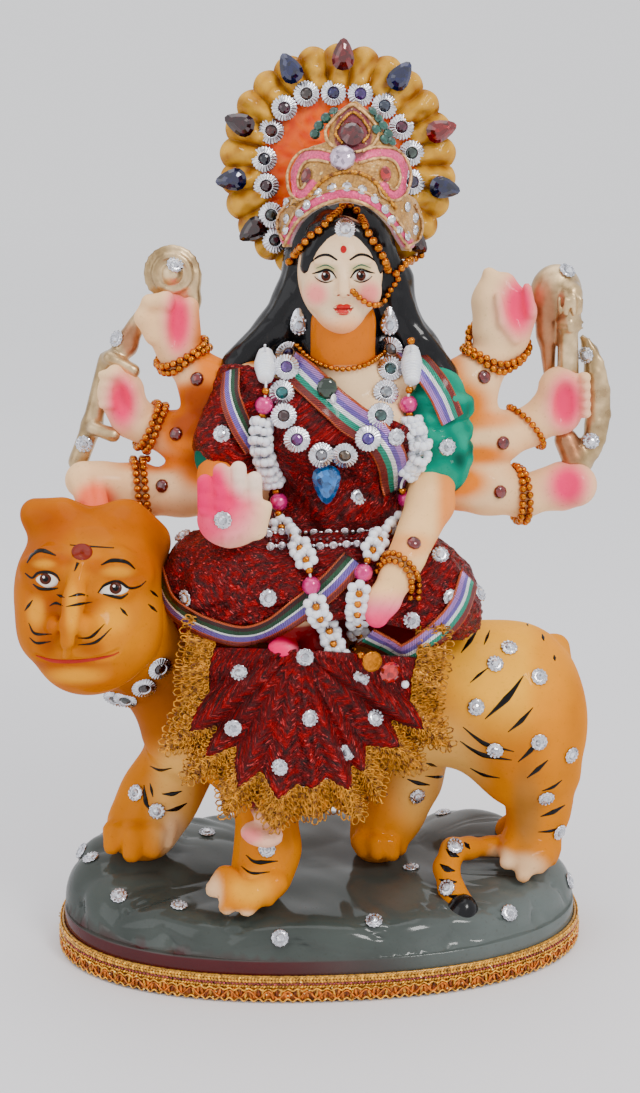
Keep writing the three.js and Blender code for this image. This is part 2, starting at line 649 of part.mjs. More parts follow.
// The cast: the two heads are netted finer than the rest, and all is joined
const CELL = 2 * U;
const FACE_CELL = U;
const TRUNK_TRIANGLES = 2100;
const HEAD_TRIANGLES = 440;
const sculpted = (forms, cell, triangles) => {
  const fine = largest(solidOf(netOf(forms, cell)));
  return solidOf(reduce(netFrom(fine), triangles));
};
const cast = Manifold.union([
  sculpted(TRUNKS, CELL, TRUNK_TRIANGLES),
  sculpted(TIGER_HEAD, FACE_CELL, HEAD_TRIANGLES),
  sculpted(HEAD, FACE_CELL, HEAD_TRIANGLES),
  makeBase(),
  makeHalo(),
]);

// Fields that the dress is laid on
const plaster = (p) => distance(FIGURE, p);
const torsoField = (p) => distance([...TORSO, SLEEVE], p);
const lapField = (p) => distance(LAP_CLOTH, p);
const CLOTH_OUT = CLOTH_STANDOFF + CLOTH_THICKNESS;
const dressed = (p) => Math.min(plaster(p), torsoField(p) - CLOTH_OUT, lapField(p));
const besideHand = FIGURE.filter((form) => !RAISED_ARM.includes(form));
const hung = (p) => Math.min(distance(besideHand, p), torsoField(p) - CLOTH_OUT, lapField(p));

// Pieces, each cut clear of the ones laid before it
const idol = new THREE.Group();
const laid = [];
function add(name, solid, { color, roughness = 0.5, metalness = 0 }) {
  const geometry = geometryOf(solid);
  const material = new THREE.MeshStandardMaterial({ color, roughness, metalness, flatShading: true });
  const mesh = new THREE.Mesh(geometry, material);
  mesh.name = name;
  idol.add(mesh);
  const box = new THREE.Box3().setFromBufferAttribute(geometry.attributes.position);
  laid.push({ clear: grown(solid, CLEARANCE), box });
}
function lay(name, solid, look) {
  const points = netFrom(solid).vertices.map((v) => new THREE.Vector3(...v));
  const box = new THREE.Box3().setFromPoints(points).expandByScalar(CLEARANCE);
  const near = laid.filter((piece) => piece.box.intersectsBox(box));
  const cut = near.reduce((s, piece) => s.subtract(piece.clear), solid);
  add(name, cut.numTri() === solid.numTri() ? solid : tidied(largest(cut)), look);
}

const PLASTER = { color: 0xf0a020, roughness: 0.25 };
const RED_CLOTH = { color: 0xa01020, roughness: 0.4, metalness: 0.4 };
const RIBBON = { color: 0x6050b0, roughness: 0.4, metalness: 0.3 };
const GOLD = { color: 0xd09030, roughness: 0.3, metalness: 0.9 };
const SILVER = { color: 0xd0d0d8, roughness: 0.2, metalness: 0.9 };
const WHITE_BEAD = { color: 0xf4f4f6, roughness: 0.3 };
const RED_STONE = { color: 0x900818, roughness: 0.1 };
const BLUE_STONE = { color: 0x1030a0, roughness: 0.1 };

add("plaster_idol", tidied(largest(cast)), PLASTER);

// Crown: a thick tapering wall round the brow, its lower edge arched over the forehead
const CROWN_SIDES = [[0, 23], [0.32, 22.5], [0.6, 19], [0.7, 15], [0.92, 7], [1, 2]];
function onProfile(profile, t) {
  const i = Math.max(1, profile.findIndex(([at]) => at >= t));
  const [[a, ra], [b, rb]] = [profile[i - 1], profile[i]];
  return ra + ((rb - ra) * (t - a)) / (b - a);
}
function crownPoint(u, v, inset) {
  const turn = (u - 0.5) * THREE.MathUtils.degToRad(230);
  const side = Math.abs(Math.sin(Math.min(Math.PI / 2, Math.abs(turn))));
  const low = 246 - 13 * side ** 1.3 - 1.5 * Math.cos(turn * 4);
  const z = low + (275 - low) * v;
  const share = (z - 232) / (275 - 232);
  const r = onProfile(CROWN_SIDES, Math.min(1, Math.max(0, share)));
  const depth = 0.86;
  const p = place(8 + 3 * share + r * Math.sin(turn), 3 - depth * r * Math.cos(turn), z);
  const out = new THREE.Vector3(Math.sin(turn), -Math.cos(turn), 0.5).normalize();
  return p.addScaledVector(out, -inset);
}
const crownThickness = (v) => CROWN_THICKNESS * (1 - 0.75 * v);
lay(
  "crown",
  between(
    grid(5, 12, (u, v) => crownPoint(u, v, 0)),
    grid(5, 12, (u, v) => crownPoint(u, v, crownThickness(v))),
  ),
  { color: 0xc08a30, roughness: 0.5, metalness: 0.4 },
);

// Cloth over the torso, from one shoulder round the front to a slanting edge at the other side
const WRAP_TOP = 203;
const WRAP_LOW = 141;
const WRAP_SIDE = -105; // degrees from the front, to -X
const slantTurn = (z) => Math.min(72, -44 + ((WRAP_TOP - z) / (WRAP_TOP - 168)) * 114);
function wrapStart(u, v) {
  const z = WRAP_TOP - (WRAP_TOP - WRAP_LOW) * v;
  const turn = THREE.MathUtils.degToRad(WRAP_SIDE + (slantTurn(z) - WRAP_SIDE) * u);
  const lower = 9 * (1 - u) * (1 - v);
  return place(4 + 36 * Math.sin(turn), -1 - 24 * Math.cos(turn), z - lower);
}
const clothSheet = (field, rows, columns, start, level) =>
  between(
    grid(rows, columns, (u, v) => settle(field, start(u, v), level)),
    grid(rows, columns, (u, v) => settle(field, start(u, v), level - CLOTH_THICKNESS)),
  );
lay("sari_wrap", clothSheet((p) => distance(TORSO, p), 7, 8, wrapStart, CLOTH_OUT), RED_CLOTH);

// Cloth over the lap, from the waist down to a hem that dips at each knee
const HEM = [
  [-104, 125], [-80, 118], [-48, 112], [-18, 116], [8, 118], [28, 113], [50, 107], [80, 112], [100, 122],
];
function hemHeight(turn) {
  const i = Math.min(HEM.length - 1, Math.max(1, HEM.findIndex(([at]) => at >= turn)));
  const [[a, za], [b, zb]] = [HEM[i - 1], HEM[i]];
  return za + (zb - za) * Math.min(1, Math.max(0, (turn - a) / (b - a)));
}
const LAP_TOP = 142;
function lapStart(u, v) {
  const degrees = HEM[0][0] + (HEM.at(-1)[0] - HEM[0][0]) * u;
  const turn = THREE.MathUtils.degToRad(degrees);
  const low = hemHeight(degrees);
  const reach = 0.45 + 0.65 * Math.min(1, v * 1.6);
  const fold = 1 + 0.02 * Math.cos(degrees / 4);
  return place(
    58 * reach * fold * Math.sin(turn),
    -8 - 36 * reach * fold * Math.cos(turn),
    LAP_TOP + 4 - (LAP_TOP + 4 - low) * v,
  );
}
lay("sari_lap", clothSheet(lapField, 4, 16, lapStart, 0), RED_CLOTH);

// Skirt: pleats fanned out from a gather at the front of the lap, with lace round the hem. Share 0
// is the top edge under the lap, 1 the hem, and more than 1 the lace.
const GATHER = [-7, -42, 116];
const FAN_HALF_WIDTH = 42;
const FAN_DROP = 54;
const SKIRT_HALF_TURN = 66; // degrees each way from straight down
const LACE_HALF_TURN = 88;
const PLEAT_DEPTH = 3;
const squarer = (v) => Math.sign(v) * Math.abs(v) ** 0.7;
function fanPoint(side, share, halfTurn, depth) {
  const turn = THREE.MathUtils.degToRad(side * halfTurn);
  const top = [38 * side ** 3, 8 * Math.abs(side), 10 * (1 - Math.abs(side)) ** 3];
  const hem = [FAN_HALF_WIDTH * squarer(Math.sin(turn)), -3, -FAN_DROP * squarer(Math.cos(turn))];
  const mix = (i) => top[i] + (hem[i] - top[i]) * Math.min(share, 1);
  const beyond = Math.max(0, share - 1);
  const folds = ((side + 1) / 2) * PLEATS;
  const pleat = Math.abs((folds % 1) - 0.5) * 2 * PLEAT_DEPTH * share;
  const [gx, gy, gz] = GATHER;
  return place(
    gx + mix(0) + Math.sin(turn) * FAN_DROP * beyond,
    gy + mix(1) - pleat - depth / U,
    gz + mix(2) - Math.cos(turn) * FAN_DROP * beyond,
  );
}
const fanSheet = (from, to, rows, halfTurn) => {
  const layer = (depth) =>
    grid(rows, PLEATS * 2, (u, v) => fanPoint(2 * u - 1, from + (to - from) * v, halfTurn, depth));
  return between(layer(CLOTH_THICKNESS), layer(0));
};
lay("pleated_skirt", fanSheet(0, 1, 2, SKIRT_HALF_TURN), RED_CLOTH);
const lacePart = fanSheet(1 + (CLEARANCE * 1.3) / FAN_DROP, 1 + LACE_WIDTH / FAN_DROP, 1, LACE_HALF_TURN);
lay("skirt_lace", lacePart, { color: 0xc88a20, roughness: 0.5, metalness: 0.5 });

// Ribbon borders: a strip on a field along a line of places, given from end to end
function ribbon(name, field, level, places, steps) {
  const curve = new THREE.CatmullRomCurve3(places.map((p) => place(...p)));
  const point = (u, v, height) => {
    const middle = settle(field, curve.getPoint(u), level);
    const out = gradient(field, middle);
    const across = curve.getTangent(u).cross(out).normalize();
    const start = middle.clone().addScaledVector(across, (v - 0.5) * RIBBON_WIDTH);
    return settle(field, start, level + height);
  };
  const strip = between(
    grid(1, steps, (u, v) => point(u, v, RIBBON_THICKNESS)),
    grid(1, steps, (u, v) => point(u, v, 0)),
  );
  lay(name, strip, RIBBON);
}
const OVER_WRAP = CLOTH_OUT + SEAT;
const OVER_RIBBON = SEAT + RIBBON_THICKNESS + CLEARANCE;
const DIAGONAL = [[-8, -14, 203], [6, -22, 189], [22, -24, 172], [31, -18, 156]];
const SIDE = [[-31, -10, 193], [-29, -16, 181], [-22, -20, 169]];
const SHOULDER = [[27, -12, 203], [36, -14, 193], [44, -12, 183], [47, -6, 173]];
const LAP_LEFT = [[-54, -14, 124], [-48, -30, 119], [-28, -40, 115], [-8, -40, 120], [5, -38, 132]];
const LAP_RIGHT = [[14, -36, 121], [26, -36, 113], [40, -28, 113], [50, -16, 120]];
ribbon("ribbon_diagonal", torsoField, OVER_WRAP, DIAGONAL, 7);
ribbon("ribbon_side", torsoField, OVER_WRAP, SIDE, 5);
ribbon("ribbon_shoulder", torsoField, CLOTH_STANDOFF, SHOULDER, 6);
ribbon("ribbon_lap_left", lapField, SEAT, LAP_LEFT, 12);
ribbon("ribbon_lap_right", lapField, SEAT, LAP_RIGHT, 8);

// Bead strings: a tube whose radius follows a profile at each bead, as shares of its length and
// radius. Each bead is a length and a radius. Flat is the tube's depth as a share of its width.
const ROUND = [[0, 0.62], [0.5, 1]];
const DISC = [[0, 0.45], [0.2, 0.95], [0.8, 0.95]];
function stringOf(path, beads, { sides = 4, profile = ROUND, flat = 1, ring = false } = {}) {
  const total = beads.reduce((sum, [length]) => sum + length, 0);
  const rows = [];
  let at = 0;
  for (const [length, radius] of beads) {
    rows.push(...profile.map(([share, swell]) => [(at + share * length) / total, radius * swell]));
    at += length;
  }
  if (!ring) rows.push([1, beads.at(-1)[1] * profile[0][1]]);
  const section = ([share, radius]) => {
    const { centre, tangent, out } = path(share);
    const side = tangent.clone().cross(out).normalize();
    return Array.from({ length: sides }, (_, s) => {
      const turn = ((s + 0.5) / sides) * 2 * Math.PI;
      return centre
        .clone()
        .addScaledVector(out, radius * flat * Math.cos(turn))
        .addScaledVector(side, radius * Math.sin(turn));
    });
  };
  return tube(rows.map(section), ring);
}

// A closed tube through sections of equal count, capped at both ends unless it is a ring
function tube(sections, ring) {
  const sides = sections[0].length;
  const vertices = sections.flat().map((p) => p.toArray());
  const faces = [];
  const links = ring ? sections.length : sections.length - 1;
  for (let r = 0; r < links; r++)
    for (let s = 0; s < sides; s++) {
      const t = (s + 1) % sides;
      const [a, b] = [r * sides, ((r + 1) % sections.length) * sides];
      faces.push([a + s, a + t, b + t], [a + s, b + t, b + s]);
    }
  if (!ring)
    for (let s = 1; s < sides - 1; s++) {
      const end = (sections.length - 1) * sides;
      faces.push([0, s + 1, s], [end, end + s, end + s + 1]);
    }
  return outward({ vertices, faces });
}

// A path over a field through places seen from the front, each x and z
function frontPath(places, level, field = dressed) {
  const points = places.map(([x, z]) => fromFront(field, place(x, 0, z).x, place(x, 0, z).z, level));
  const smooth = new THREE.CatmullRomCurve3(points);
  return (share) => ({
    centre: smooth.getPointAt(share),
    tangent: smooth.getTangentAt(share),
    out: new THREE.Vector3(0, -1, 0),
  });
}
const pathLength = (path) => {
  let length = 0;
  for (let i = 0; i < 40; i++) length += path(i / 40).centre.distanceTo(path((i + 1) / 40).centre);
  return length;
};
const evenBeads = (path, size) => Array(Math.round(pathLength(path) / size)).fill([size, size / 2]);

// Necklaces, belt, face chains
const CHOKER = [[-7, 205], [-4, 199], [2, 195.5], [10, 195.5], [16, 199], [19, 205]];
const choker = frontPath(CHOKER, GOLD_BEAD / 2 + OVER_RIBBON);
lay("choker", stringOf(choker, evenBeads(choker, GOLD_BEAD), { sides: 3 }), GOLD);
const belt = (z) => frontPath([[-18, z + 1], [-8, z], [8, z], [18, z + 0.5]], 1.6 + GAP);
const beltRows = [146, 142].map((z) => stringOf(belt(z), Array(8).fill([4.5, 1.5])));
const beltLink = stringOf(frontPath([[0, 147], [0, 144], [0, 141]], 1.6 + GAP), [[5, 1]], { sides: 3 });
lay("stone_belt", largest(Manifold.union([...beltRows, beltLink])), SILVER);
const forehead = [[-12, 225], [-8, 230], [-1, 237], [6, 240], [13, 237], [20, 230], [24, 225]];
const faceChains = { forehead_chain: forehead, nose_chain: [[9, 215], [14, 212.5], [20, 219], [26, 228]] };
for (const [name, places] of Object.entries(faceChains)) {
  const path = frontPath(places, GOLD_BEAD / 2 + GAP);
  lay(name, stringOf(path, evenBeads(path, GOLD_BEAD), { sides: 3 }), GOLD);
}

// A disc or stone standing on the surface: a tapered prism with its axis along the outward normal
function stud(centre, out, bottom, top, height, sides) {
  const shape = new THREE.CylinderGeometry(top, bottom, height, sides);
  shape.translate(0, height / 2, 0);
  const turn = new THREE.Quaternion().setFromUnitVectors(new THREE.Vector3(0, 1, 0), out);
  return solidFrom(shape.applyQuaternion(turn).translate(...centre.toArray()));
}

// Discs threaded side by side along a path, as one flat string
function discChain(path) {
  const count = Math.round(pathLength(path) / DISC_DIAMETER);
  const beads = Array(count).fill([DISC_DIAMETER, (DISC_DIAMETER / 2) * Math.SQRT2]);
  return stringOf(path, beads, { profile: DISC, flat: DISC_HEIGHT / DISC_DIAMETER });
}
const NECKLACE = [
  [-11.5, 204], [-13, 194], [-13, 185], [-9, 177], [-1, 171],
  [8, 170], [16, 176], [21, 186], [22, 195], [22, 204],
];
lay("disc_necklace", discChain(frontPath(NECKLACE, DISC_HEIGHT / 2 + OVER_RIBBON)), SILVER);

// A pear-shaped jewel, its point along the given direction in the plane that faces outward
function pear(centre, point, out, length, height) {
  const side = point.clone().cross(out).normalize();
  const along = out.clone().cross(side).normalize();
  const at = (s, a, h) => {
    const p = centre.clone().addScaledVector(side, s * length);
    return p.addScaledVector(along, a * length).addScaledVector(out, h);
  };
  const rim = [[0, 0.58], [0.24, 0.12], [0.34, -0.15], [0.22, -0.38], [0, -0.46]];
  const ring = [...rim, ...rim.slice(1, -1).reverse().map(([s, a]) => [-s, a])];
  const low = ring.map(([s, a]) => at(s, a, 0));
  const high = ring.map(([s, a]) => at(s * 0.5, a * 0.5, height));
  return tube([low, high], false);
}
const straightOut = new THREE.Vector3(0, -1, 0);
const frontPoint = (x, z, level) => fromFront(dressed, place(x, 0, z).x, place(x, 0, z).z, level);
const pendantAt = frontPoint(1.5, 161.5, OVER_RIBBON);
const pendant = pear(pendantAt, new THREE.Vector3(0, 0, -1), straightOut, 11.5, 3.5);
lay("pendant", pendant, { color: 0x1080b0, roughness: 0.1 });
const ovalAt = frontPoint(2, 192, OVER_RIBBON + CLEARANCE);
lay("oval_stone", stud(ovalAt, straightOut, 3, 1.8, 2.6, 8), { color: 0x104020, roughness: 0.1 });

// Garland: two strands of white beads with pearls and gold beads, meeting at a tassel
const garlandBeads = (scale) =>
  [
    ...Array(2).fill([6, 3.1]), [2.6, 1.5], [6, 3.4], [2.6, 1.5], ...Array(5).fill([4.4, 3.7]),
    [2.6, 1.5], [6, 3.4], ...Array(3).fill([6, 3.4]), [2.6, 1.5], [5.5, 3.2], ...Array(4).fill([6, 3.3]),
  ].map(([length, radius]) => [length, (radius * scale) / 3.5]);
const STRANDS = {
  garland_left: [
    [-18, 205], [-19, 196], [-18.5, 186], [-18, 172], [-14, 162],
    [-12, 156], [-8, 142], [-2, 129], [3, 119], [6, 113],
  ],
  garland_right: [
    [28, 205], [28, 196], [27.5, 186], [27, 172], [25.5, 160],
    [21, 150], [14, 139], [11, 128], [10, 119], [9, 112],
  ],
};
for (const [name, places] of Object.entries(STRANDS)) {
  const path = frontPath(places, STRAND_BEAD / 2 + OVER_RIBBON, hung);
  lay(name, stringOf(path, garlandBeads(STRAND_BEAD / 2)), WHITE_BEAD);
}
const tassel = frontPath([[9, 110.5], [13, 108.5], [17, 108]], 3 + GAP);
lay("garland_tassel", stringOf(tassel, [[2.5, 1.5], [7, 3.2]], { sides: 6 }), GOLD);

// Bracelets: beads round a wrist, from one turn to another, in degrees from its upper side
function bracelet(name, [x, y, z, r], toward, beads, scale, from = 0, to = 360) {
  const centre = place(x, y, z);
  const axis = place(...toward).sub(centre).normalize();
  const across = axis.clone().cross(new THREE.Vector3(0, 1, 0)).normalize();
  const front = axis.clone().cross(across);
  const reach = r * U + 2 * CLEARANCE + scale * GOLD_BEAD;
  const path = (share) => {
    const turn = THREE.MathUtils.degToRad(from + (to - from) * share);
    const out = across.clone().multiplyScalar(Math.cos(turn)).addScaledVector(front, Math.sin(turn));
    return { centre: centre.clone().addScaledVector(out, reach), out, tangent: axis.clone().cross(out) };
  };
  const row = Array(beads).fill([1, GOLD_BEAD * scale]);
  lay(name, stringOf(path, row, { sides: 3, ring: to - from === 360 }), GOLD);
}
BACK_ARMS.forEach(({ points, palm }, i) =>
  bracelet(`bracelet_${i + 1}`, points.at(-1), palm.slice(0, 3), 6, 0.8),
);
bracelet("bracelet_front", [27, -28, 142, 6.5], [24, -33, 138], 6, 0.5, 20, 200);

// Halo stones: a row of discs round the field and pear jewels round the rim
const STONE_RING = 0.63; // share of the halo's radius
const onHalo = (degrees, share, depth) => {
  const turn = THREE.MathUtils.degToRad(degrees);
  const r = HALO_RADIUS * share;
  const from = new THREE.Vector3(r * Math.sin(turn), -HALO_THICKNESS * depth, r * Math.cos(turn));
  return from.add(HALO_CENTRE);
};
const RING_END = 116; // degrees from the top to the last disc, each way
const overRim = straightOut.clone().multiplyScalar(CLEARANCE);
const ringPath = (share) => {
  const turn = RING_END * (2 * share - 1);
  const tangent = onHalo(turn + 90, 1, 0).sub(HALO_CENTRE).normalize();
  return { centre: onHalo(turn, STONE_RING, 1).addScaledVector(overRim, 2), tangent, out: straightOut };
};
lay("halo_stone_chain", discChain(ringPath), SILVER);
const JEWEL_TURNS = [-126, -97, -66, -28, 2, 35, 70, 102, 134]; // degrees from the top, unevenly glued
const BLUE_JEWELS = [-97, -28, 35, 102];
const JEWEL_SHARE = 0.89; // of the halo's radius
JEWEL_TURNS.forEach((turn, i) => {
  const centre = onHalo(turn, JEWEL_SHARE, 1).add(overRim);
  const point = centre.clone().sub(HALO_CENTRE).setY(0).normalize();
  const jewel = pear(centre, point, straightOut, JEWEL_LENGTH, 2.6);
  lay(`halo_jewel_${i + 1}`, jewel, BLUE_JEWELS.includes(turn) ? BLUE_STONE : RED_STONE);
});

// Earrings, crown stone, tiger's collar
for (const [name, x] of [["earring_left", -7.5], ["earring_right", 19.5]]) {
  const at = frontPoint(x, 211, 1.5 * SEAT);
  lay(name, pear(at, new THREE.Vector3(0, 0, 1), straightOut, 9, 2), SILVER);
}
const COLLAR = [[-50, 106], [-56, 100], [-62, 96], [-68, 93.5]];
lay("tiger_collar", discChain(frontPath(COLLAR, DISC_HEIGHT / 2 + CLEARANCE)), SILVER);

// Base trim: a braid round the foot of the plinth, waved along its lower edge
const TRIM_WAVES = 18;
function trimPoint(u, v, outset) {
  const turn = u * 2 * Math.PI;
  const [x, y] = oval(turn, outset);
  return new THREE.Vector3(x, y, v * TRIM_HEIGHT);
}
const TRIM_WAVE = 0.5;
const trimGrid = (outset, wave) =>
  [0, 1].map((v) =>
    Array.from({ length: TRIM_WAVES * 2 }, (_, c) =>
      trimPoint(c / (TRIM_WAVES * 2), v, outset + wave * (c % 2)),
    ),
  );
const chordSag = (BASE_LENGTH / 2) * (1 - Math.cos(Math.PI / (TRIM_WAVES * 2)));
const trimInside = SEAT + chordSag;
const trimFace = trimGrid(trimInside + TRIM_THICKNESS, TRIM_WAVE);
lay("base_trim", between(trimFace, trimGrid(trimInside, 0), true), GOLD);

// Glued stones: red cabochons on the arms and clear stones over the figure, each an x and z
function glued(name, places, diameter, look) {
  places.forEach(([x, z], i) => {
    const at = frontPoint(x, z, SEAT);
    const out = gradient(dressed, at);
    lay(`${name}_${i + 1}`, stud(at, out, diameter / 2, diameter / 4, diameter / 3, 6), look);
  });
}
const CABOCHONS = [[-38, 188], [-45, 171], [-50, 153], [53, 188], [61, 170], [61, 153], [27, 143]];
glued("cabochon", CABOCHONS, CABOCHON_DIAMETER, RED_STONE);
const STICKERS = [[-48, 222], [-62, 187], [-72, 166], [82, 221], [-32, 151], [68, 92], [76, 62], [74, 44]];
glued("sticker", STICKERS, STICKER_DIAMETER, SILVER);

export default idol;
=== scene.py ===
# Looks of the painted plaster goddess on a tiger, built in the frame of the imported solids.
# Lengths are millimetres until a mesh is made; places seen in the picture are pixels of 640 x 1093.
import json
import math

import bpy
import numpy as np
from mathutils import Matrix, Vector
from mathutils.bvhtree import BVHTree

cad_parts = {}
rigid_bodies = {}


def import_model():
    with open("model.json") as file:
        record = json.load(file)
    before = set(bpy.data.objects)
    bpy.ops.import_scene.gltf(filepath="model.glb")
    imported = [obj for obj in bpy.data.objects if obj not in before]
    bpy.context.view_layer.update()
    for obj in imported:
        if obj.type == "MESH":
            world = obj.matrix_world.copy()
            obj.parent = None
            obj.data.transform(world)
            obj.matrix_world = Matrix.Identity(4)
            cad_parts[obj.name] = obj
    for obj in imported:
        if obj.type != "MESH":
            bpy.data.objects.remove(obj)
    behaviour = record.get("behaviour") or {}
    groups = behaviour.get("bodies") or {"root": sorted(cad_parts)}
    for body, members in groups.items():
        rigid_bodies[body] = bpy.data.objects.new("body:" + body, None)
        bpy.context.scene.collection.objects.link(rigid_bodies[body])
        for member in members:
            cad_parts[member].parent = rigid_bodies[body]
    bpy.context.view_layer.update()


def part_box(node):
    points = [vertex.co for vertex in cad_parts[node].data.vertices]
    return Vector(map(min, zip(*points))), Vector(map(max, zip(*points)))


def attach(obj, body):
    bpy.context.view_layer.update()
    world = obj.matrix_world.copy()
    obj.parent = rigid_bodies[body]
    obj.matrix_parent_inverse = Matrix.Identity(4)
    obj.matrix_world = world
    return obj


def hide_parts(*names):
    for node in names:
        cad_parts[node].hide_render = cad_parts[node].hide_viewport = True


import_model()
MM = 0.001

# Camera
FOCAL = 1966.0  # pixels
FRAME_HIGH, SENSOR = 1093, 36  # pixels, mm
NEAR, FAR = 0.01, 20
MIDDLE = (320.0, 546.5)
EYE = np.array([-43.3, -619.3, 290.0])
TILT, TURN = math.radians(75.95), math.radians(-4)


def make_camera():
    data = bpy.data.cameras.new("camera")
    data.sensor_width = SENSOR
    data.lens = SENSOR * FOCAL / FRAME_HIGH
    data.clip_start, data.clip_end = NEAR, FAR
    camera = bpy.data.objects.new("camera", data)
    camera.location = Vector(EYE * MM)
    camera.rotation_euler = (TILT, 0, TURN)
    bpy.context.scene.collection.objects.link(camera)
    bpy.context.scene.camera = camera


make_camera()
_ct, _st, _cz, _sz = math.cos(TILT), math.sin(TILT), math.cos(TURN), math.sin(TURN)
LOOK = np.array([[_cz, -_sz * _ct, _sz * _st], [_sz, _cz * _ct, -_cz * _st], [0, _st, _ct]])


def ray(u, v):
    u, v = np.broadcast_arrays(np.asarray(u, float), np.asarray(v, float))
    c = np.stack([(u - MIDDLE[0]) / FOCAL, (MIDDLE[1] - v) / FOCAL, -np.ones(u.shape)], -1)
    d = c @ LOOK.T
    return d / np.linalg.norm(d, axis=-1, keepdims=True)


def at(u, v, y):
    """The point seen at a pixel, at a given depth."""
    d = ray(u, v)
    t = (np.asarray(y, float) - EYE[1]) / d[..., 1]
    return EYE + d * t[..., None]


# Forms: soft unions and cuts of ellipsoids and tapered limbs
class Form:
    def __init__(self, far, low, high, soft, cut):
        self.far, self.soft, self.cut = far, soft, cut
        self.low, self.high = np.array(low), np.array(high)

    def join(self, a, b):
        if self.cut:
            h = np.maximum(self.soft - np.abs(a + b), 0) / self.soft
            return np.maximum(a, -b) + h * h * self.soft / 4
        h = np.maximum(self.soft - np.abs(a - b), 0) / self.soft
        return np.minimum(a, b) - h * h * self.soft / 4


def ball(x, y, z, rx, ry, rz, soft=4, turn=0, cut=False):
    """An ellipsoid, turned clockwise in the picture by some degrees."""
    c, s = math.cos(math.radians(turn)), math.sin(math.radians(turn))

    def far(px_, py, pz):
        dx, dy, dz = px_ - x, py - y, pz - z
        ex, ey, ez = (dx * c - dz * s) / rx, dy / ry, (dx * s + dz * c) / rz
        k = np.sqrt(ex * ex + ey * ey + ez * ez)
        return k * (k - 1) / (np.sqrt((ex / rx) ** 2 + (ey / ry) ** 2 + (ez / rz) ** 2) + 1e-9)

    r = np.array([max(rx, rz), ry, max(rx, rz)]) if turn else np.array([rx, ry, rz])
    return Form(far, np.array([x, y, z]) - r, np.array([x, y, z]) + r, soft, cut)


def limb(a, b, soft=4, cut=False):
    a, b = np.array(a, float), np.array(b, float)
    d = b[:3] - a[:3]
    square = max(float(d @ d), 1e-9)

    def far(x, y, z):
        qx, qy, qz = x - a[0], y - a[1], z - a[2]
        t = np.clip((qx * d[0] + qy * d[1] + qz * d[2]) / square, 0, 1)
        long = np.sqrt((qx - d[0] * t) ** 2 + (qy - d[1] * t) ** 2 + (qz - d[2] * t) ** 2)
        return long - a[3] - (b[3] - a[3]) * t

    r = max(a[3], b[3])
    return Form(far, np.minimum(a[:3], b[:3]) - r, np.maximum(a[:3], b[:3]) + r, soft, cut)


def chain(points, soft=4, cut=False):
    return [limb(p, q, soft, cut) for p, q in zip(points, points[1:])]


def value(forms, p):
    """Distance of many points from the forms."""
    p = np.asarray(p, float)
    v = np.full(p.shape[:-1], 1e3)
    for f in forms:
        v = f.join(v, f.far(p[..., 0], p[..., 1], p[..., 2]))
    return v


def slope(forms, p, step=0.2):
    g = np.zeros(p.shape)
    for i in range(3):
        e = np.zeros(3)
        e[i] = step
        g[..., i] = value(forms, p + e) - value(forms, p - e)
    return g / (np.linalg.norm(g, axis=-1, keepdims=True) + 1e-12)


def settle(forms, p, level, rounds=12):
    p = p.copy()
    for _ in range(rounds):
        p += slope(forms, p) * (0.8 * (level - value(forms, p)))[..., None]
    return p


def meet(forms, u, v, level=0.0):
    """Where the rays of pixels first meet the forms."""
    d = ray(u, v)
    t = np.full(d.shape[:-1], 470.0)
    for _ in range(40):
        t = t + np.clip(value(forms, EYE + d * t[..., None]) - level, -2, 40) * 0.8
        t = np.minimum(t, 700)
    return settle(forms, EYE + d * t[..., None], level, 8)


def scored(forms, pixels, radius, depth, soft=0.6):
    """A groove cut along pixels over the forms."""
    p = np.array(pixels, float)
    s = meet(forms, p[:, 0], p[:, 1])
    s += slope(forms, s) * (radius - depth)
    return chain([[*q, radius] for q in s], soft, True)


def raised(forms, pixels, radius, height, soft=1.2):
    """A ridge laid along pixels over the forms."""
    p = np.array(pixels, float)
    s = meet(forms, p[:, 0], p[:, 1])
    s -= slope(forms, s) * (radius - height)
    return chain([[*q, radius] for q in s], soft)


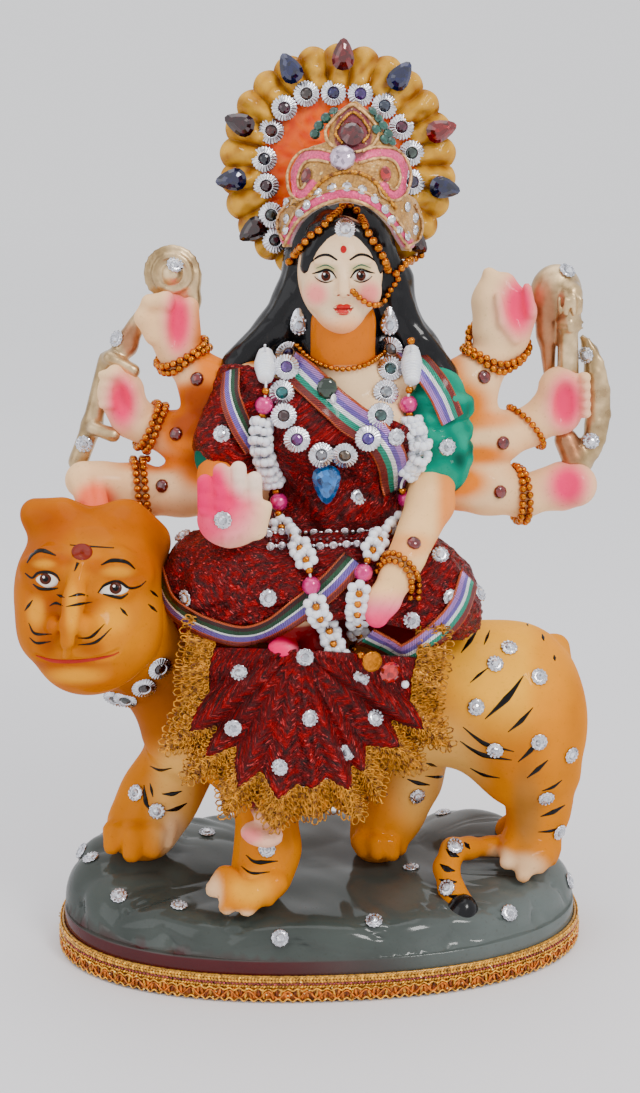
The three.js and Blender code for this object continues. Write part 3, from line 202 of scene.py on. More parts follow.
def net(forms, cell):
    """The forms' surface as quads, one vertex in each cell it crosses, moved onto the surface."""
    low = np.min([f.low for f in forms], 0) - 3 * cell
    high = np.max([f.high for f in forms], 0) + 3 * cell
    n = np.ceil((high - low) / cell).astype(int) + 1
    v = np.full(n, 1e3, np.float32)
    axes = [(low[i] + cell * np.arange(n[i])).astype(np.float32) for i in range(3)]
    for f in forms:
        a = np.maximum(0, np.floor((f.low - f.soft - 2 * cell - low) / cell).astype(int))
        b = np.minimum(n, np.ceil((f.high + f.soft + 2 * cell - low) / cell).astype(int) + 1)
        s = tuple(slice(a[i], b[i]) for i in range(3))
        x, y, z = axes[0][s[0]][:, None, None], axes[1][s[1]][None, :, None], axes[2][s[2]][None,
                None, :]
        v[s] = f.join(v[s], f.far(x, y, z))
    inside = v < 0
    count = np.zeros(n - 1, np.uint8)
    for i in (0, 1):
        for j in (0, 1):
            for k in (0, 1):
                count += inside[i:n[0] - 1 + i, j:n[1] - 1 + j, k:n[2] - 1 + k]
    on = (count > 0) & (count < 8)
    index = np.full(n - 1, -1, np.int32)
    cells = np.argwhere(on)
    index[on] = np.arange(len(cells))
    total, hits = np.zeros((len(cells), 3)), np.zeros(len(cells))
    for axis in range(3):
        unit = np.eye(3, dtype=int)[axis]
        for i in (0, 1):
            for j in (0, 1):
                corner = np.zeros(3, int)
                corner[(axis + 1) % 3], corner[(axis + 2) % 3] = i, j
                start = cells + corner
                p, q = v[tuple(start.T)], v[tuple((start + unit).T)]
                m = (p < 0) != (q < 0)
                where = start[m].astype(float)
                where[:, axis] += p[m] / (p[m] - q[m])
                total[m] += where
                hits[m] += 1
    grid = total / hits[:, None]

    def sample(g):
        g = np.clip(g, 0, np.array(n) - 1.001)
        b = g.astype(int)
        t = g - b
        out = np.zeros(len(g))
        for i in (0, 1):
            for j in (0, 1):
                for k in (0, 1):
                    w = (t[:, 0] if i else 1 - t[:, 0]) * (t[:, 1] if j else 1 - t[:, 1])
                    w = w * (t[:, 2] if k else 1 - t[:, 2])
                    out += w * v[b[:, 0] + i, b[:, 1] + j, b[:, 2] + k]
        return out

    rise = np.stack([sample(grid + e) - sample(grid - e) for e in np.eye(3)], -1) / (2 * cell)
    size = np.maximum((rise ** 2).sum(-1), 0.2)
    push = -(sample(grid) / size / cell)[:, None] * rise
    grid += np.clip(push, -0.45, 0.45)
    faces = []
    for axis in range(3):
        b, c = (axis + 1) % 3, (axis + 2) % 3
        cut = [slice(1, -1)] * 3
        cut[axis] = slice(0, -1)
        ahead = list(cut)
        ahead[axis] = slice(1, None)
        first, second = inside[tuple(cut)], inside[tuple(ahead)]
        for want in (True, False):
            e = np.argwhere((first != second) & (first == want))
            e[:, b] += 1
            e[:, c] += 1

            def around(db, dc):
                j = e.copy()
                j[:, b] -= db
                j[:, c] -= dc
                return index[tuple(j.T)]

            quad = np.stack([around(1, 1), around(0, 1), around(0, 0), around(1, 0)], -1)
            faces.append(quad if want else quad[:, ::-1])
    return low + cell * grid, np.concatenate(faces)


# Meshes
def lin(*c):
    """A colour as seen on screen, made linear and deepened for the view's soft shoulder."""
    c = np.array(c, float)
    c = np.where(c <= 0.04045, c / 12.92, ((c + 0.055) / 1.055) ** 2.4)
    return np.minimum(1, 1.1 * c ** 1.3)


class Body:
    """Parts gathered into one mesh, each with its colour, material and place on its cloth."""

    def __init__(self):
        self.v, self.f, self.c, self.m, self.s, self.t, self.n = [], [], [], [], [], [], 0

    def add(self, verts, faces, colour=(1, 1, 1), mat=0, smooth=True, cloth=None):
        verts = np.asarray(verts, float).reshape(-1, 3)
        for f in faces if isinstance(faces, (list, tuple)) else [faces]:
            f = np.asarray(f)
            if len(f):
                self.f.append(f + self.n)
                self.m.append(np.full(len(f), mat))
                self.s.append(np.full(len(f), smooth))
        self.v.append(verts)
        self.c.append(np.broadcast_to(np.asarray(colour, float), verts.shape))
        self.t.append(np.zeros_like(verts) if cloth is None
                      else np.asarray(cloth, float).reshape(-1, 3))
        self.n += len(verts)
        return self


MADE = []


def piece(name, body, mats, nodes=()):
    me = bpy.data.meshes.new(name)
    co = np.concatenate(body.v) * MM
    me.vertices.add(len(co))
    me.vertices.foreach_set("co", co.astype(np.float32).ravel())
    loops = np.concatenate([f.ravel() for f in body.f])
    sizes = np.concatenate([np.full(len(f), f.shape[1]) for f in body.f])
    me.loops.add(len(loops))
    me.loops.foreach_set("vertex_index", loops.astype(np.int32))
    me.polygons.add(len(sizes))
    me.polygons.foreach_set("loop_start",
                            np.concatenate([[0], np.cumsum(sizes)[:-1]]).astype(np.int32))
    me.polygons.foreach_set("material_index", np.concatenate(body.m).astype(np.int32))
    me.update(calc_edges=True)
    me.polygons.foreach_set("use_smooth", np.concatenate(body.s))
    paint = me.color_attributes.new("paint", "FLOAT_COLOR", "POINT")
    rgba = np.ones((len(co), 4), np.float32)
    rgba[:, :3] = np.concatenate(body.c)
    paint.data.foreach_set("color", rgba.ravel())
    cloth = me.attributes.new("cloth", "FLOAT_VECTOR", "POINT")
    cloth.data.foreach_set("vector", np.concatenate(body.t).astype(np.float32).ravel())
    for m in mats:
        me.materials.append(m)
    me.validate()
    ob = bpy.data.objects.new(name, me)
    bpy.context.scene.collection.objects.link(ob)
    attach(ob, "root")
    if nodes:
        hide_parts(*nodes)
    MADE.append(ob)
    return ob


def unit(a):
    return a / (np.linalg.norm(a, axis=-1, keepdims=True) + 1e-12)


def lathe(profile, sides, swell=None):
    """A closed turned solid about +Z from the bottom middle to the top middle."""
    turn = np.arange(sides) * 2 * math.pi / sides
    rows = []
    for i, (r, h) in enumerate(profile):
        k = np.ones(sides) if swell is None else swell(turn, i)
        rows.append(np.stack([r * k * np.cos(turn), r * k * np.sin(turn), np.full(sides, h)], -1))
    v = np.concatenate(rows)
    s = np.arange(sides)
    t = (s + 1) % sides
    quads = [np.stack([a * sides + s, a * sides + t, (a + 1) * sides + t, (a + 1) * sides + s], -1)
             for a in range(len(profile) - 1)]
    n = len(v)
    v = np.concatenate([v, [[0, 0, profile[0][1]], [0, 0, profile[-1][1]]]])
    last = (len(profile) - 1) * sides
    tris = np.concatenate([np.stack([np.full(sides, n), t, s], -1),
                           np.stack([np.full(sides, n + 1), last + s, last + t], -1)])
    return v, [np.concatenate(quads), tris]


def bead(sides=8, rings=5):
    a = np.linspace(0, math.pi, rings + 1)[1:-1]
    return lathe([(math.sin(t), -math.cos(t)) for t in a], sides)


def frames(out, up=(0, 0, 1)):
    """Turns whose local Z is out and whose local Y leans to up."""
    out = unit(np.asarray(out, float).reshape(-1, 3))
    side = unit(np.cross(np.broadcast_to(up, out.shape), out))
    return np.stack([side, np.cross(out, side), out], -1)


def stamp(body, shape, places, turns=None, sizes=1.0, colour=(1, 1, 1), mat=0, smooth=True):
    """Copies of one shape at many places."""
    v, faces = shape
    places = np.asarray(places, float).reshape(-1, 3)
    k = len(places)
    turns = np.broadcast_to(np.eye(3), (k, 3, 3)) if turns is None else np.broadcast_to(turns,
            (k, 3, 3))
    sizes = np.asarray(sizes, float)
    sizes = np.broadcast_to(sizes[:, None] if sizes.ndim == 1 and len(sizes) == k and k != 3
                            else sizes, (k, 3))
    moved = np.einsum("kij,knj->kni", turns, v[None] * sizes[:, None, :]) + places[:, None, :]
    colour = np.broadcast_to(np.asarray(colour, float), (k, 3))
    out = [(f[None] + (np.arange(k) * len(v))[:, None, None]).reshape(-1, f.shape[1])
           for f in faces]
    body.add(moved.reshape(-1, 3), out, np.repeat(colour, len(v), 0), mat, smooth)


def slab(body, outer, inner, colour=(1, 1, 1), mat=0, cloth=None, ring=False, smooth=True):
    """A closed sheet between two grids of points."""
    r, c = outer.shape[:2]
    k = np.arange(r * c).reshape(r, c)
    if ring:
        k = np.concatenate([k, k[:, :1]], 1)
    a, b, d, e = k[:-1, :-1].ravel(), k[1:, :-1].ravel(), k[1:, 1:].ravel(), k[:-1, 1:].ravel()
    n = r * c
    faces = [np.stack([a, b, d, e], -1), np.stack([a, e, d, b], -1) + n]
    top, low = k[0], k[-1]
    faces.append(np.stack([top[:-1], top[1:], top[1:] + n, top[:-1] + n], -1))
    faces.append(np.stack([low[:-1], low[:-1] + n, low[1:] + n, low[1:]], -1))
    if not ring:
        one, two = k[:, 0], k[:, -1]
        faces.append(np.stack([one[:-1], one[:-1] + n, one[1:] + n, one[1:]], -1))
        faces.append(np.stack([two[:-1], two[1:], two[1:] + n, two[:-1] + n], -1))
    v = np.concatenate([outer.reshape(-1, 3), inner.reshape(-1, 3)])
    if np.ndim(colour) == 3:
        colour = np.concatenate([np.reshape(colour, (-1, 3))] * 2)
    if cloth is not None:
        cloth = np.concatenate([np.reshape(cloth, (-1, 3))] * 2)
    p = outer
    normal = np.cross(p[1:, :-1] - p[:-1, :-1], p[:-1, 1:] - p[:-1, :-1]).reshape(-1, 3)
    away = (outer - inner)[:-1, :-1].reshape(-1, 3)
    if (normal * away).sum() < 0:
        faces = [f[:, ::-1] for f in faces]
    body.add(v, faces, colour, mat, smooth, cloth)


def curve(points, count, closed=False):
    """A smooth line through points, at evenly spaced places."""
    p = np.array(points, float)
    if closed:
        p = np.concatenate([p[-1:], p, p[:2]])
    else:
        p = np.concatenate([2 * p[:1] - p[1:2], p, 2 * p[-1:] - p[-2:-1]])
    out = []
    for i in range(1, len(p) - 2):
        t = np.linspace(0, 1, 24, endpoint=False)[:, None]
        a, b, c, d = p[i - 1:i + 3]
        out.append(0.5 * (2 * b + (c - a) * t + (2 * a - 5 * b + 4 * c - d) * t ** 2
                          + (3 * b - a - 3 * c + d) * t ** 3))
    out = np.concatenate(out + [p[-2:-1]])
    return spread(out, count)


def spread(p, count):
    far = np.concatenate([[0], np.cumsum(np.linalg.norm(np.diff(p, axis=0), axis=1))])
    s = np.linspace(0, far[-1], count)
    return np.stack([np.interp(s, far, p[:, i]) for i in range(p.shape[1])], -1)


def length(p):
    return float(np.linalg.norm(np.diff(p, axis=0), axis=1).sum())


def softened(p, rounds=2):
    for _ in range(rounds):
        p[1:-1] = (p[:-2] + 2 * p[1:-1] + p[2:]) / 4
    return p


def ropes(body, path, radius, sides=5, colour=(1, 1, 1), mat=0, closed=False, out=(0, -1, 0)):
    """A round thread along a path."""
    p = np.asarray(path, float)
    k = len(p)
    t = unit(np.roll(p, -1, 0) - np.roll(p, 1, 0)) if closed else unit(np.gradient(p, axis=0))
    a = unit(np.cross(t, np.broadcast_to(out, t.shape)) + 1e-9)
    b = np.cross(t, a)
    turn = np.arange(sides) * 2 * math.pi / sides
    r = np.broadcast_to(radius, k)[:, None, None]
    v = p[:, None] + r * (a[:, None] * np.cos(turn)[None, :, None]
                          + b[:, None] * np.sin(turn)[None, :, None])
    i = np.arange(k if closed else k - 1)
    j = (i + 1) % k
    s = np.arange(sides)
    w = (s + 1) % sides
    quad = np.stack([i[:, None] * sides + s, j[:, None] * sides + s, j[:, None] * sides + w,
                     i[:, None] * sides + w], -1).reshape(-1, 4)[:, ::-1]
    faces = [quad]
    if not closed:
        end = (k - 1) * sides
        caps = [[0, q, q + 1] for q in range(1, sides - 1)] + [[end, end + q + 1, end + q]
                for q in range(1, sides - 1)]
        faces.append(np.array(caps))
    body.add(v.reshape(-1, 3), faces, colour, mat)


def wobble(p, scale, seed, terms=7):
    """Smooth noise of about -1 to 1 with a given wavelength."""
    rng = np.random.RandomState(seed)
    k = unit(rng.normal(size=(terms, 3))) * (2 * math.pi / scale) * rng.uniform(0.6, 1.5,
            (terms, 1))
    return np.sin(p @ k.T + rng.uniform(0, 6.3, terms)).sum(-1) / math.sqrt(terms)


def mixed(a, b, t):
    t = np.clip(t, 0, 1)[..., None]
    return np.asarray(a) * (1 - t) + np.asarray(b) * t


def step(x, a, b):
    t = np.clip((x - a) / (b - a), 0, 1)
    return t * t * (3 - 2 * t)


def near(p, c, r, soft=1.0):
    """1 in an ellipsoid, fading to 0 outside it."""
    k = np.sqrt((((p - np.array(c)) / np.array(r)) ** 2).sum(-1))
    return 1 - step(k, 1 - soft / 2, 1 + soft / 2)


# Materials
class Finish:
    def __init__(self, name, **constants):
        self.mat = bpy.data.materials.new(name)
        self.mat.use_nodes = True
        self.nodes, self.links = self.mat.node_tree.nodes, self.mat.node_tree.links
        self.bsdf = self.nodes["Principled BSDF"]
        for key, v in constants.items():
            self.bsdf.inputs[key.replace("_", " ")].default_value = v

    def node(self, kind, settings=(), **inputs):
        n = self.nodes.new("ShaderNode" + kind)
        for key, v in dict(settings).items():
            setattr(n, key, v)
        for key, v in inputs.items():
            self.put(n.inputs[key.replace("_", " ")], v)
        return n

    def put(self, socket, v):
        if isinstance(v, bpy.types.NodeSocket):
            self.links.new(v, socket)
        else:
            socket.default_value = v

    def attribute(self, name, output="Color"):
        return self.node("Attribute", {"attribute_name": name}).outputs[output]

    def place(self):
        return self.node("TexCoord").outputs["Object"]

    def noise(self, scale, detail=3, vector=None, rough=0.5):
        n = self.node("TexNoise", Scale=scale, Detail=detail, Roughness=rough)
        self.links.new(vector or self.place(), n.inputs["Vector"])
        return n.outputs["Fac"]

    def cells(self, scale, vector=None, feature="F1", output="Distance"):
        n = self.node("TexVoronoi", {"feature": feature}, Scale=scale)
        self.links.new(vector or self.place(), n.inputs["Vector"])
        return n.outputs[output]

    def ranged(self, v, a, b, low, high):
        n = self.node("MapRange")
        for i, x in enumerate((v, a, b, low, high)):
            self.put(n.inputs[i], x)
        return n.outputs[0]

    def mix(self, fac, a, b, blend="MIX"):
        n = self.node("Mix", {"data_type": "RGBA", "blend_type": blend})
        for socket, v in ((n.inputs[0], fac), (n.inputs[6], a), (n.inputs[7], b)):
            self.put(socket, (*v, 1) if isinstance(v, (tuple, np.ndarray)) and len(v) == 3 else v)
        return n.outputs[2]

    def maths(self, op, a, b=0.0):
        n = self.node("Math", {"operation": op})
        self.put(n.inputs[0], a)
        self.put(n.inputs[1], b)
        return n.outputs[0]

    def stretched(self, vector, scale):
        n = self.node("Mapping")
        self.links.new(vector, n.inputs["Vector"])
        n.inputs["Scale"].default_value = scale
        return n.outputs[0]

    def ramp(self, fac, stops, hard=False):
        n = self.node("ValToRGB")
        ramp = n.color_ramp
        ramp.interpolation = "CONSTANT" if hard else "LINEAR"
        while len(ramp.elements) < len(stops):
            ramp.elements.new(0.5)
        for e, (where, colour) in zip(ramp.elements, stops):
            e.position = where
            e.color = (*colour, 1)
        self.links.new(fac, n.inputs[0])
        return n.outputs[0]

    def bump(self, height, strength, distance=0.0004):
        n = self.node("Bump", Strength=strength, Distance=distance)
        self.links.new(height, n.inputs["Height"])
        old = self.bsdf.inputs["Normal"]
        if old.is_linked:
            self.links.new(old.links[0].from_socket, n.inputs["Normal"])
        self.links.new(n.outputs[0], old)

    def set(self, **inputs):
        for key, v in inputs.items():
            self.put(self.bsdf.inputs[key.replace("_", " ")], v)
        return self


def painted(name, coat=0.12, rough=(0.16, 0.34), wave=0.1, gloss=0.05):
    """Glossy hand-sprayed paint whose colour is in the mesh."""
    f = Finish(name, Coat_Weight=coat, Coat_Roughness=gloss, IOR=1.5, Specular_IOR_Level=0.0)
    cloud = f.noise(90, 4)
    speck = f.noise(900, 2)
    colour = f.mix(1.0, f.attribute("paint"),
                   f.ramp(cloud, [(0.3, (0.9, 0.88, 0.86)), (0.7, (1.04, 1.03, 1.02))]), "MULTIPLY")
    colour = f.mix(f.ranged(speck, 0.62, 0.75, 0.0, 0.3), colour, (0.6, 0.5, 0.4), "MULTIPLY")
    f.set(Base_Color=colour, Roughness=f.ranged(cloud, 0.3, 0.7, *rough))
    f.bump(f.noise(160, 3), wave, 0.0012)
    f.bump(speck, 0.05)
    return f.mat


def metal(name, colour, rough=0.25, dark=0.55):
    f = Finish(name, Metallic=1.0)
    cloud = f.noise(500, 3)
    f.set(Base_Color=f.mix(f.ranged(cloud, 0.35, 0.65, 0, 1), tuple(np.array(colour) * dark),
                           colour),
          Roughness=f.ranged(cloud, 0.3, 0.7, rough * 0.7, rough * 1.5))
    f.bump(f.noise(2200, 2), 0.12)
    return f.mat


def glassy(name, rough=0.04, clear=0.25):
    """Cut glass with a foiled back: its colour is in the mesh, with brighter and darker cells
    painted over it as reflections in its facets.
    """
    f = Finish(name, Metallic=0.35, Coat_Weight=1.0, Coat_Roughness=0.02, IOR=1.6,
               Transmission_Weight=clear)
    # painted reflections: random cells from 0.35 to 1.5 times the tint stand for lit and dark facets
    facet = f.cells(700, output="Color")
    tint = f.mix(1.0, f.attribute("paint"),
                 f.ramp(facet, [(0.1, (0.35, 0.35, 0.35)), (0.9, (1.5, 1.5, 1.5))]), "MULTIPLY")
    f.set(Base_Color=tint, Roughness=f.ranged(f.noise(600), 0.3, 0.7, rough, rough * 3))
    return f.mat


def lame():
    """Crinkled knitted metallic cloth, with painted glints and painted shade in its crinkles."""
    f = Finish("red_lame", Coat_Weight=0.04, Coat_Roughness=0.3)
    flow = f.stretched(f.attribute("cloth", "Vector"), (1.4, 2.8, 1.0))
    knit = f.cells(1.0, flow)
    spark = f.cells(1.0, flow, output="Color")
    crinkle = f.noise(0.45, 4, f.attribute("cloth", "Vector"))
    # painted shade: the colour darkens with the same crinkle noise that sinks the bump, so its
    # hollows are darker
    base = f.ramp(crinkle, [(0.34, (0.03, 0.0, 0.0005)), (0.52, (0.15, 0.001, 0.002)),
                            (0.72, (0.42, 0.003, 0.006))])
    # painted glints: a share of the knit's cells turn bright red in the base colour
    glint = f.ranged(spark, 0.8, 0.96, 0.0, 0.85)
    f.set(Base_Color=f.mix(glint, base, (1.0, 0.1, 0.1)),
          Metallic=f.ranged(crinkle, 0.3, 0.6, 0.45, 0.85),
          Roughness=f.ranged(spark, 0.1, 0.9, 0.22, 0.5))
    f.bump(knit, 0.9, 0.0005)
    f.bump(crinkle, 0.7, 0.0012)
    return f.mat


def striped(name, stripes):
    """Woven ribbon: its across share is the cloth's y and its length x."""
    f = Finish(name, Coat_Weight=0.3, Coat_Roughness=0.15)
    xyz = f.node("SeparateXYZ", Vector=f.attribute("cloth", "Vector"))
    along, across = xyz.outputs[0], xyz.outputs[1]
    wander = f.maths("MULTIPLY", f.maths("SUBTRACT",
                                         f.noise(0.5, 2, f.attribute("cloth", "Vector")), 0.5),
                     0.03)
    colour = f.ramp(f.maths("ADD", across, wander), stripes, True)
    twill = f.maths("SINE", f.maths("ADD", f.maths("MULTIPLY", along, 9.0),
                                    f.maths("MULTIPLY", across, 60.0)))
    shade = f.ramp(f.ranged(twill, -1, 1, 0, 1),
                   [(0.0, (0.45, 0.45, 0.45)), (1.0, (1.25, 1.25, 1.25))])
    f.set(Base_Color=f.mix(1.0, colour, shade, "MULTIPLY"),
          Metallic=f.ranged(twill, -1, 1, 0.4, 0.7),
          Roughness=f.ranged(f.noise(0.8, 3, f.attribute("cloth", "Vector")), 0.3, 0.7, 0.22, 0.4))
    f.bump(twill, 0.5, 0.0003)
    return f.mat


def threads(name, light, dark, scale=700):
    f = Finish(name, Metallic=0.55, Coat_Weight=0.2, Coat_Roughness=0.2)
    twist = f.noise(scale, 3)
    # painted shade and painted highlight: the colour runs from dark to 1.6 times light along the
    # same twist noise as the bump
    f.set(Base_Color=f.ramp(twist, [(0.35, dark), (0.55, light),
                                    (0.72, tuple(np.minimum(1, np.array(light) * 1.6)))]),
          Roughness=f.ranged(twist, 0.3, 0.7, 0.25, 0.5))
    f.bump(twist, 0.6, 0.0004)
    return f.mat


def milky():
    f = Finish("white_bead", Coat_Weight=0.6, Coat_Roughness=0.12, Subsurface_Weight=0.35)
    cloud = f.noise(300, 3)
    f.bsdf.inputs["Subsurface Radius"].default_value = (0.002, 0.002, 0.0025)
    f.set(Base_Color=f.mix(cloud, lin(0.86, 0.88, 0.92), lin(0.97, 0.97, 0.98)),
          Roughness=f.ranged(cloud, 0.3, 0.7, 0.25, 0.4))
    return f.mat


def pearly():
    f = Finish("pearl", Coat_Weight=0.8, Coat_Roughness=0.1, Metallic=0.35)
    cloud = f.noise(350, 2)
    f.set(Base_Color=f.mix(cloud, lin(0.72, 0.05, 0.42), lin(0.92, 0.2, 0.62)),
          Roughness=f.ranged(cloud, 0.3, 0.7, 0.22, 0.34))
    return f.mat


# The cast's forms
FORWARD = LOOK @ np.array([0, 0, -1.0])


def pixel_size(p):
    return float((p - EYE) @ FORWARD) / FOCAL


def blob(u, v, y, ru, ry, rv, soft=2.0, turn=0, cut=False):
    """An ellipsoid at a pixel and depth, its radii in pixels but for the depth."""
    p = at(u, v, y)
    k = pixel_size(p)
    return ball(*p, ru * k, ry, rv * k, soft, turn, cut)


def rods(points, soft=2.0, cut=False):
    """A limb through pixels, each with a depth and a radius in pixels."""
    out = []
    for u, v, y, r in points:
        p = at(u, v, y)
        out.append([*p, r * pixel_size(p)])
    return chain(out, soft, cut)


def seen(p):
    """The pixels of many points."""
    d = p - EYE
    w = d @ FORWARD
    return MIDDLE[0] + FOCAL * (d @ LOOK[:, 0]) / w, MIDDLE[1] - FOCAL * (d @ LOOK[:, 1]) / w


TIGER = [
    *chain([(-34, 0, 87, 21.5), (0, -2, 84, 23), (45, -2, 84, 24)], 8),
    ball(63, -2, 81, 24.5, 25, 27, 8),
    ball(-45, -4, 80, 15, 18, 22, 8),
    limb((-52, -4, 99, 18), (-66, -18, 116, 20), 8),
    *rods([(190, 730, 5, 38), (178, 765, 5, 33), (160, 795, 3, 36), (144, 824, 0, 37)], 6),
    *chain([(-32, -14, 74, 14), (-18, -23, 58, 10)], 6),
    *rods([(266, 815, -23, 31), (268, 848, -26, 30), (262, 872, -28, 31)], 5),
    *rods([(408, 735, 7, 46), (402, 775, 8, 38), (388, 810, 7, 34), (378, 836, 5, 28)], 5),
    ball(67, -12, 73, 20, 15, 26, 6),
    *rods([(543, 775, -9, 36), (539, 808, -9, 28.5), (532, 836, -10, 27.5)], 5),
    blob(528, 850, -14, 30, 11, 20, 4),
    *chain([(80, 8, 96, 5), (84, 10, 70, 5), (83, 12, 40, 5), (66, 8, 31, 5)], 3),
    *rods([(520, 848, -4, 11), (490, 846, -8, 8.5), (468, 848, -12, 10), (453, 850, -16, 12)], 3),
    *rods([(453, 850, -16, 12), (446, 868, -21, 12.5), (451, 888, -27, 12.5),
           (461, 908, -33, 15.5)], 2),
]
TOES = [
    [(116, 832, -8, 14), (112, 846, -11, 9)], [(135, 836, -12, 15), (132, 853, -15, 10)],
    [(153, 834, -12, 14), (152, 849, -14, 10)], [(168, 828, -9, 10), (167, 842, -11, 7)],
    [(226, 879, -37, 14), (214, 889, -41, 9)], [(236, 892, -40, 15), (227, 906, -44, 9)],
    [(254, 895, -41, 15), (247, 908, -44, 9)], [(273, 884, -38, 15), (268, 899, -40, 8)],
    [(361, 842, -3, 11), (364, 851, -5, 8)], [(376, 845, -6, 12), (377, 853, -8, 8)],
    [(390, 846, -5, 12), (392, 854, -7, 8)], [(401, 836, 0, 8), (400, 849, -1, 7)],
    [(512, 853, -18, 12), (507, 862, -21, 8)], [(526, 861, -21, 14), (523, 875, -24, 8)],
    [(541, 855, -20, 13), (539, 867, -22, 7)], [(552, 848, -15, 9), (552, 860, -16, 5)],
]
for _toe in TOES:
    TIGER += rods(_toe, 1.5)
TAIL_TIP = [blob(461, 918, -36, 17.5, 6, 25, 2, 12),
            *rods([(466, 930, -37, 9), (470, 945, -37, 2.5)], 3)]
TIGER_HEAD = [
    blob(92, 572, -20, 70, 24, 64, 6),
    blob(90, 628, -22, 62, 24, 60, 10),
    *rods([(36, 514, -16, 16), (60, 514, -18, 16)], 8),
    *rods([(128, 520, -16, 20), (150, 540, -12, 20)], 8),
    blob(34, 600, -26, 15, 12, 34, 8),
    blob(136, 625, -22, 30, 16, 40, 8),
    *rods([(28, 566, -35, 7), (46, 560, -38.5, 8), (62, 568, -41, 7)], 6),
    *rods([(98, 566, -42, 8), (118, 562, -40.5, 9), (142, 574, -34.5, 8)], 6),
    blob(46, 580, -37, 15, 5, 11, 2.5),
    blob(114, 589, -39.5, 20, 5.5, 12, 2.5),
    *rods([(79, 566, -44, 9), (74, 600, -49.5, 9), (70, 620, -53, 10)], 4),
    blob(54, 625, -49, 7.5, 5, 9, 2),
    blob(84, 625, -49.5, 8.5, 5, 10, 2),
    *rods([(68, 628, -55, 8.5), (67, 642, -54.5, 5), (66, 656, -50, 2)], 2.5),
    blob(44, 638, -37, 20, 11, 22, 8),
    blob(100, 636, -38, 30, 12, 24, 8),
    blob(89, 665, -32, 36, 13, 22, 8),
]
BODY = [
    ball(3, -2, 124, 38, 24, 19),
    ball(-24, -7, 123, 24, 18, 17),
    ball(27, -6, 119, 20, 18, 16),
    *chain([(-6, -8, 124, 14), (-36, -20, 122, 13), (-10, -30, 119, 7.5)]),
    *chain([(12, -6, 124, 14), (34, -18, 119, 12)]),
    *chain([(-2, -26, 108, 9), (-18, -35, 60, 7)]),
    blob(262, 834, -38.5, 22, 8, 10, 2, 8),
    ball(-14, -38, 112, 5, 3.5, 3.2, 2),
]
LEFT_SHOULDER = limb((-21, -1, 186, 9.5), (-29, -5, 170, 9), 4)
TORSO = [
    LEFT_SHOULDER,
    ball(5, -2, 146, 20, 14, 17),
    ball(6, -1, 172, 26, 15, 21),
    ball(-5, -11, 175, 10, 8, 10),
    ball(17, -11, 175, 10, 8, 10),
    limb((-20, 0, 186, 9.5), (33, 0, 186, 9.5)),
    limb((6.5, -2, 189, 10.5), (7, -3, 208, 10.5)),
]
SLEEVE = limb((36, -2, 184, 10.5), (38, -4, 162, 10), 3)
LAP_CLOTH = [
    ball(-29, -17, 125, 23, 23, 22, 8),
    ball(2, -11, 125, 38, 27, 22, 8),
    ball(30, -15, 119, 21, 21, 22, 8),
]
ARMS = [
    [(-22, 4, 182, 9), (-36, 8, 187, 8.5), (-44, 12, 197, 6), (-47, 13, 203, 6)],
    [(-22, 4, 170, 9), (-42, 9, 169, 9), (-55, 12, 173, 6), (-60, 13, 176, 6)],
    [(-20, 2, 156, 9), (-44, 8, 153, 9), (-58, 10, 150, 6.5), (-64, 10, 150, 6.5)],
    [(36, 4, 182, 9), (50, 9, 187, 8.5), (59, 12, 197, 6.5), (61, 13, 203, 7)],
    [(36, 4, 170, 9), (57, 9, 168, 9), (70, 12, 171, 6), (75, 13, 175, 6.5)],
    [(34, 2, 156, 9), (56, 8, 152, 9), (68, 10, 148, 6.5), (74, 10, 150, 7)],
]
BACK_ARMS = [f for points in ARMS for f in chain(points, 3)]
BACK_ARMS += [ball(-32, 6, 171, 13, 7, 23, 4), ball(46, 6, 171, 13, 7, 22, 4)]
HANDS = [
    # upper left, round the shell's stem
    *rods([(170, 318, 13, 25), (176, 340, 12, 21), (181, 356, 12, 19)], 3),
    *rods([(149, 303, 10, 8), (143, 318, 9, 8), (153, 336, 9, 9)], 2),
    *rods([(150, 302, 8, 8), (166, 300, 6, 8), (175, 311, 5, 6)], 1.5),
    *rods([(190, 306, 9, 9), (192, 332, 9, 9)], 2),
    blob(178, 326, 4, 9, 4, 24, 2.5, 8, True),
    # middle left, fingers curled from the side
    *rods([(121, 393, 13, 24), (129, 418, 12, 19)], 3),
    *[f for w in (375, 385, 394.5, 404) for f in rods([(103, w, 8, 5.2), (114, w + 1, 6, 5)], 1)],
    *rods([(115, 372, 8, 8), (130, 390, 7, 8), (139, 410, 8, 9)], 1.5),
    blob(122, 402, 4, 8, 4, 21, 2, -12, True),
    # lower left, over the tiger's head
    *rods([(140, 483, 11, 21), (100, 484, 9, 21), (84, 480, 6, 19)], 3),
    *rods([(76, 481, 2, 8), (82, 500, -3, 7)], 1.2),
    *rods([(87, 486, 0, 7), (92, 511, -7, 7)], 1.2),
    *rods([(99, 490, 1, 7), (104, 515, -8, 7)], 1.2),
    # upper right, raised flat
    *rods([(489, 274, 12, 7), (490, 300, 12, 17), (492, 330, 11, 20)], 3),
    *rods([(504, 285, 12, 13), (515, 312, 11, 20), (510, 335, 11, 20)], 3),
    blob(519, 306, 3, 12, 4, 25, 2, -12, True),
    *rods([(498, 296, 5, 4), (503, 322, 4, 5), (515, 339, 4.5, 6)], 1.2),
    *rods([(527, 288, 6, 5), (531, 312, 5.5, 6)], 1.5),
    # middle right, open with curled fingertips
    *rods([(560, 388, 12, 22), (559, 412, 12, 23)], 3),
    blob(565, 405, 4.5, 12, 4, 24, 2, 4, True),
    *[blob(584.5, w, 7.5, 6.5, 4, 5, 1) for w in (377, 386, 395, 404, 413)],
    # lower right, closed round the bow's end
    *rods([(563, 486, 10, 25), (575, 485, 8, 22)], 3),
    blob(568, 484, -1.5, 14, 4, 17, 3, 0, True),
]
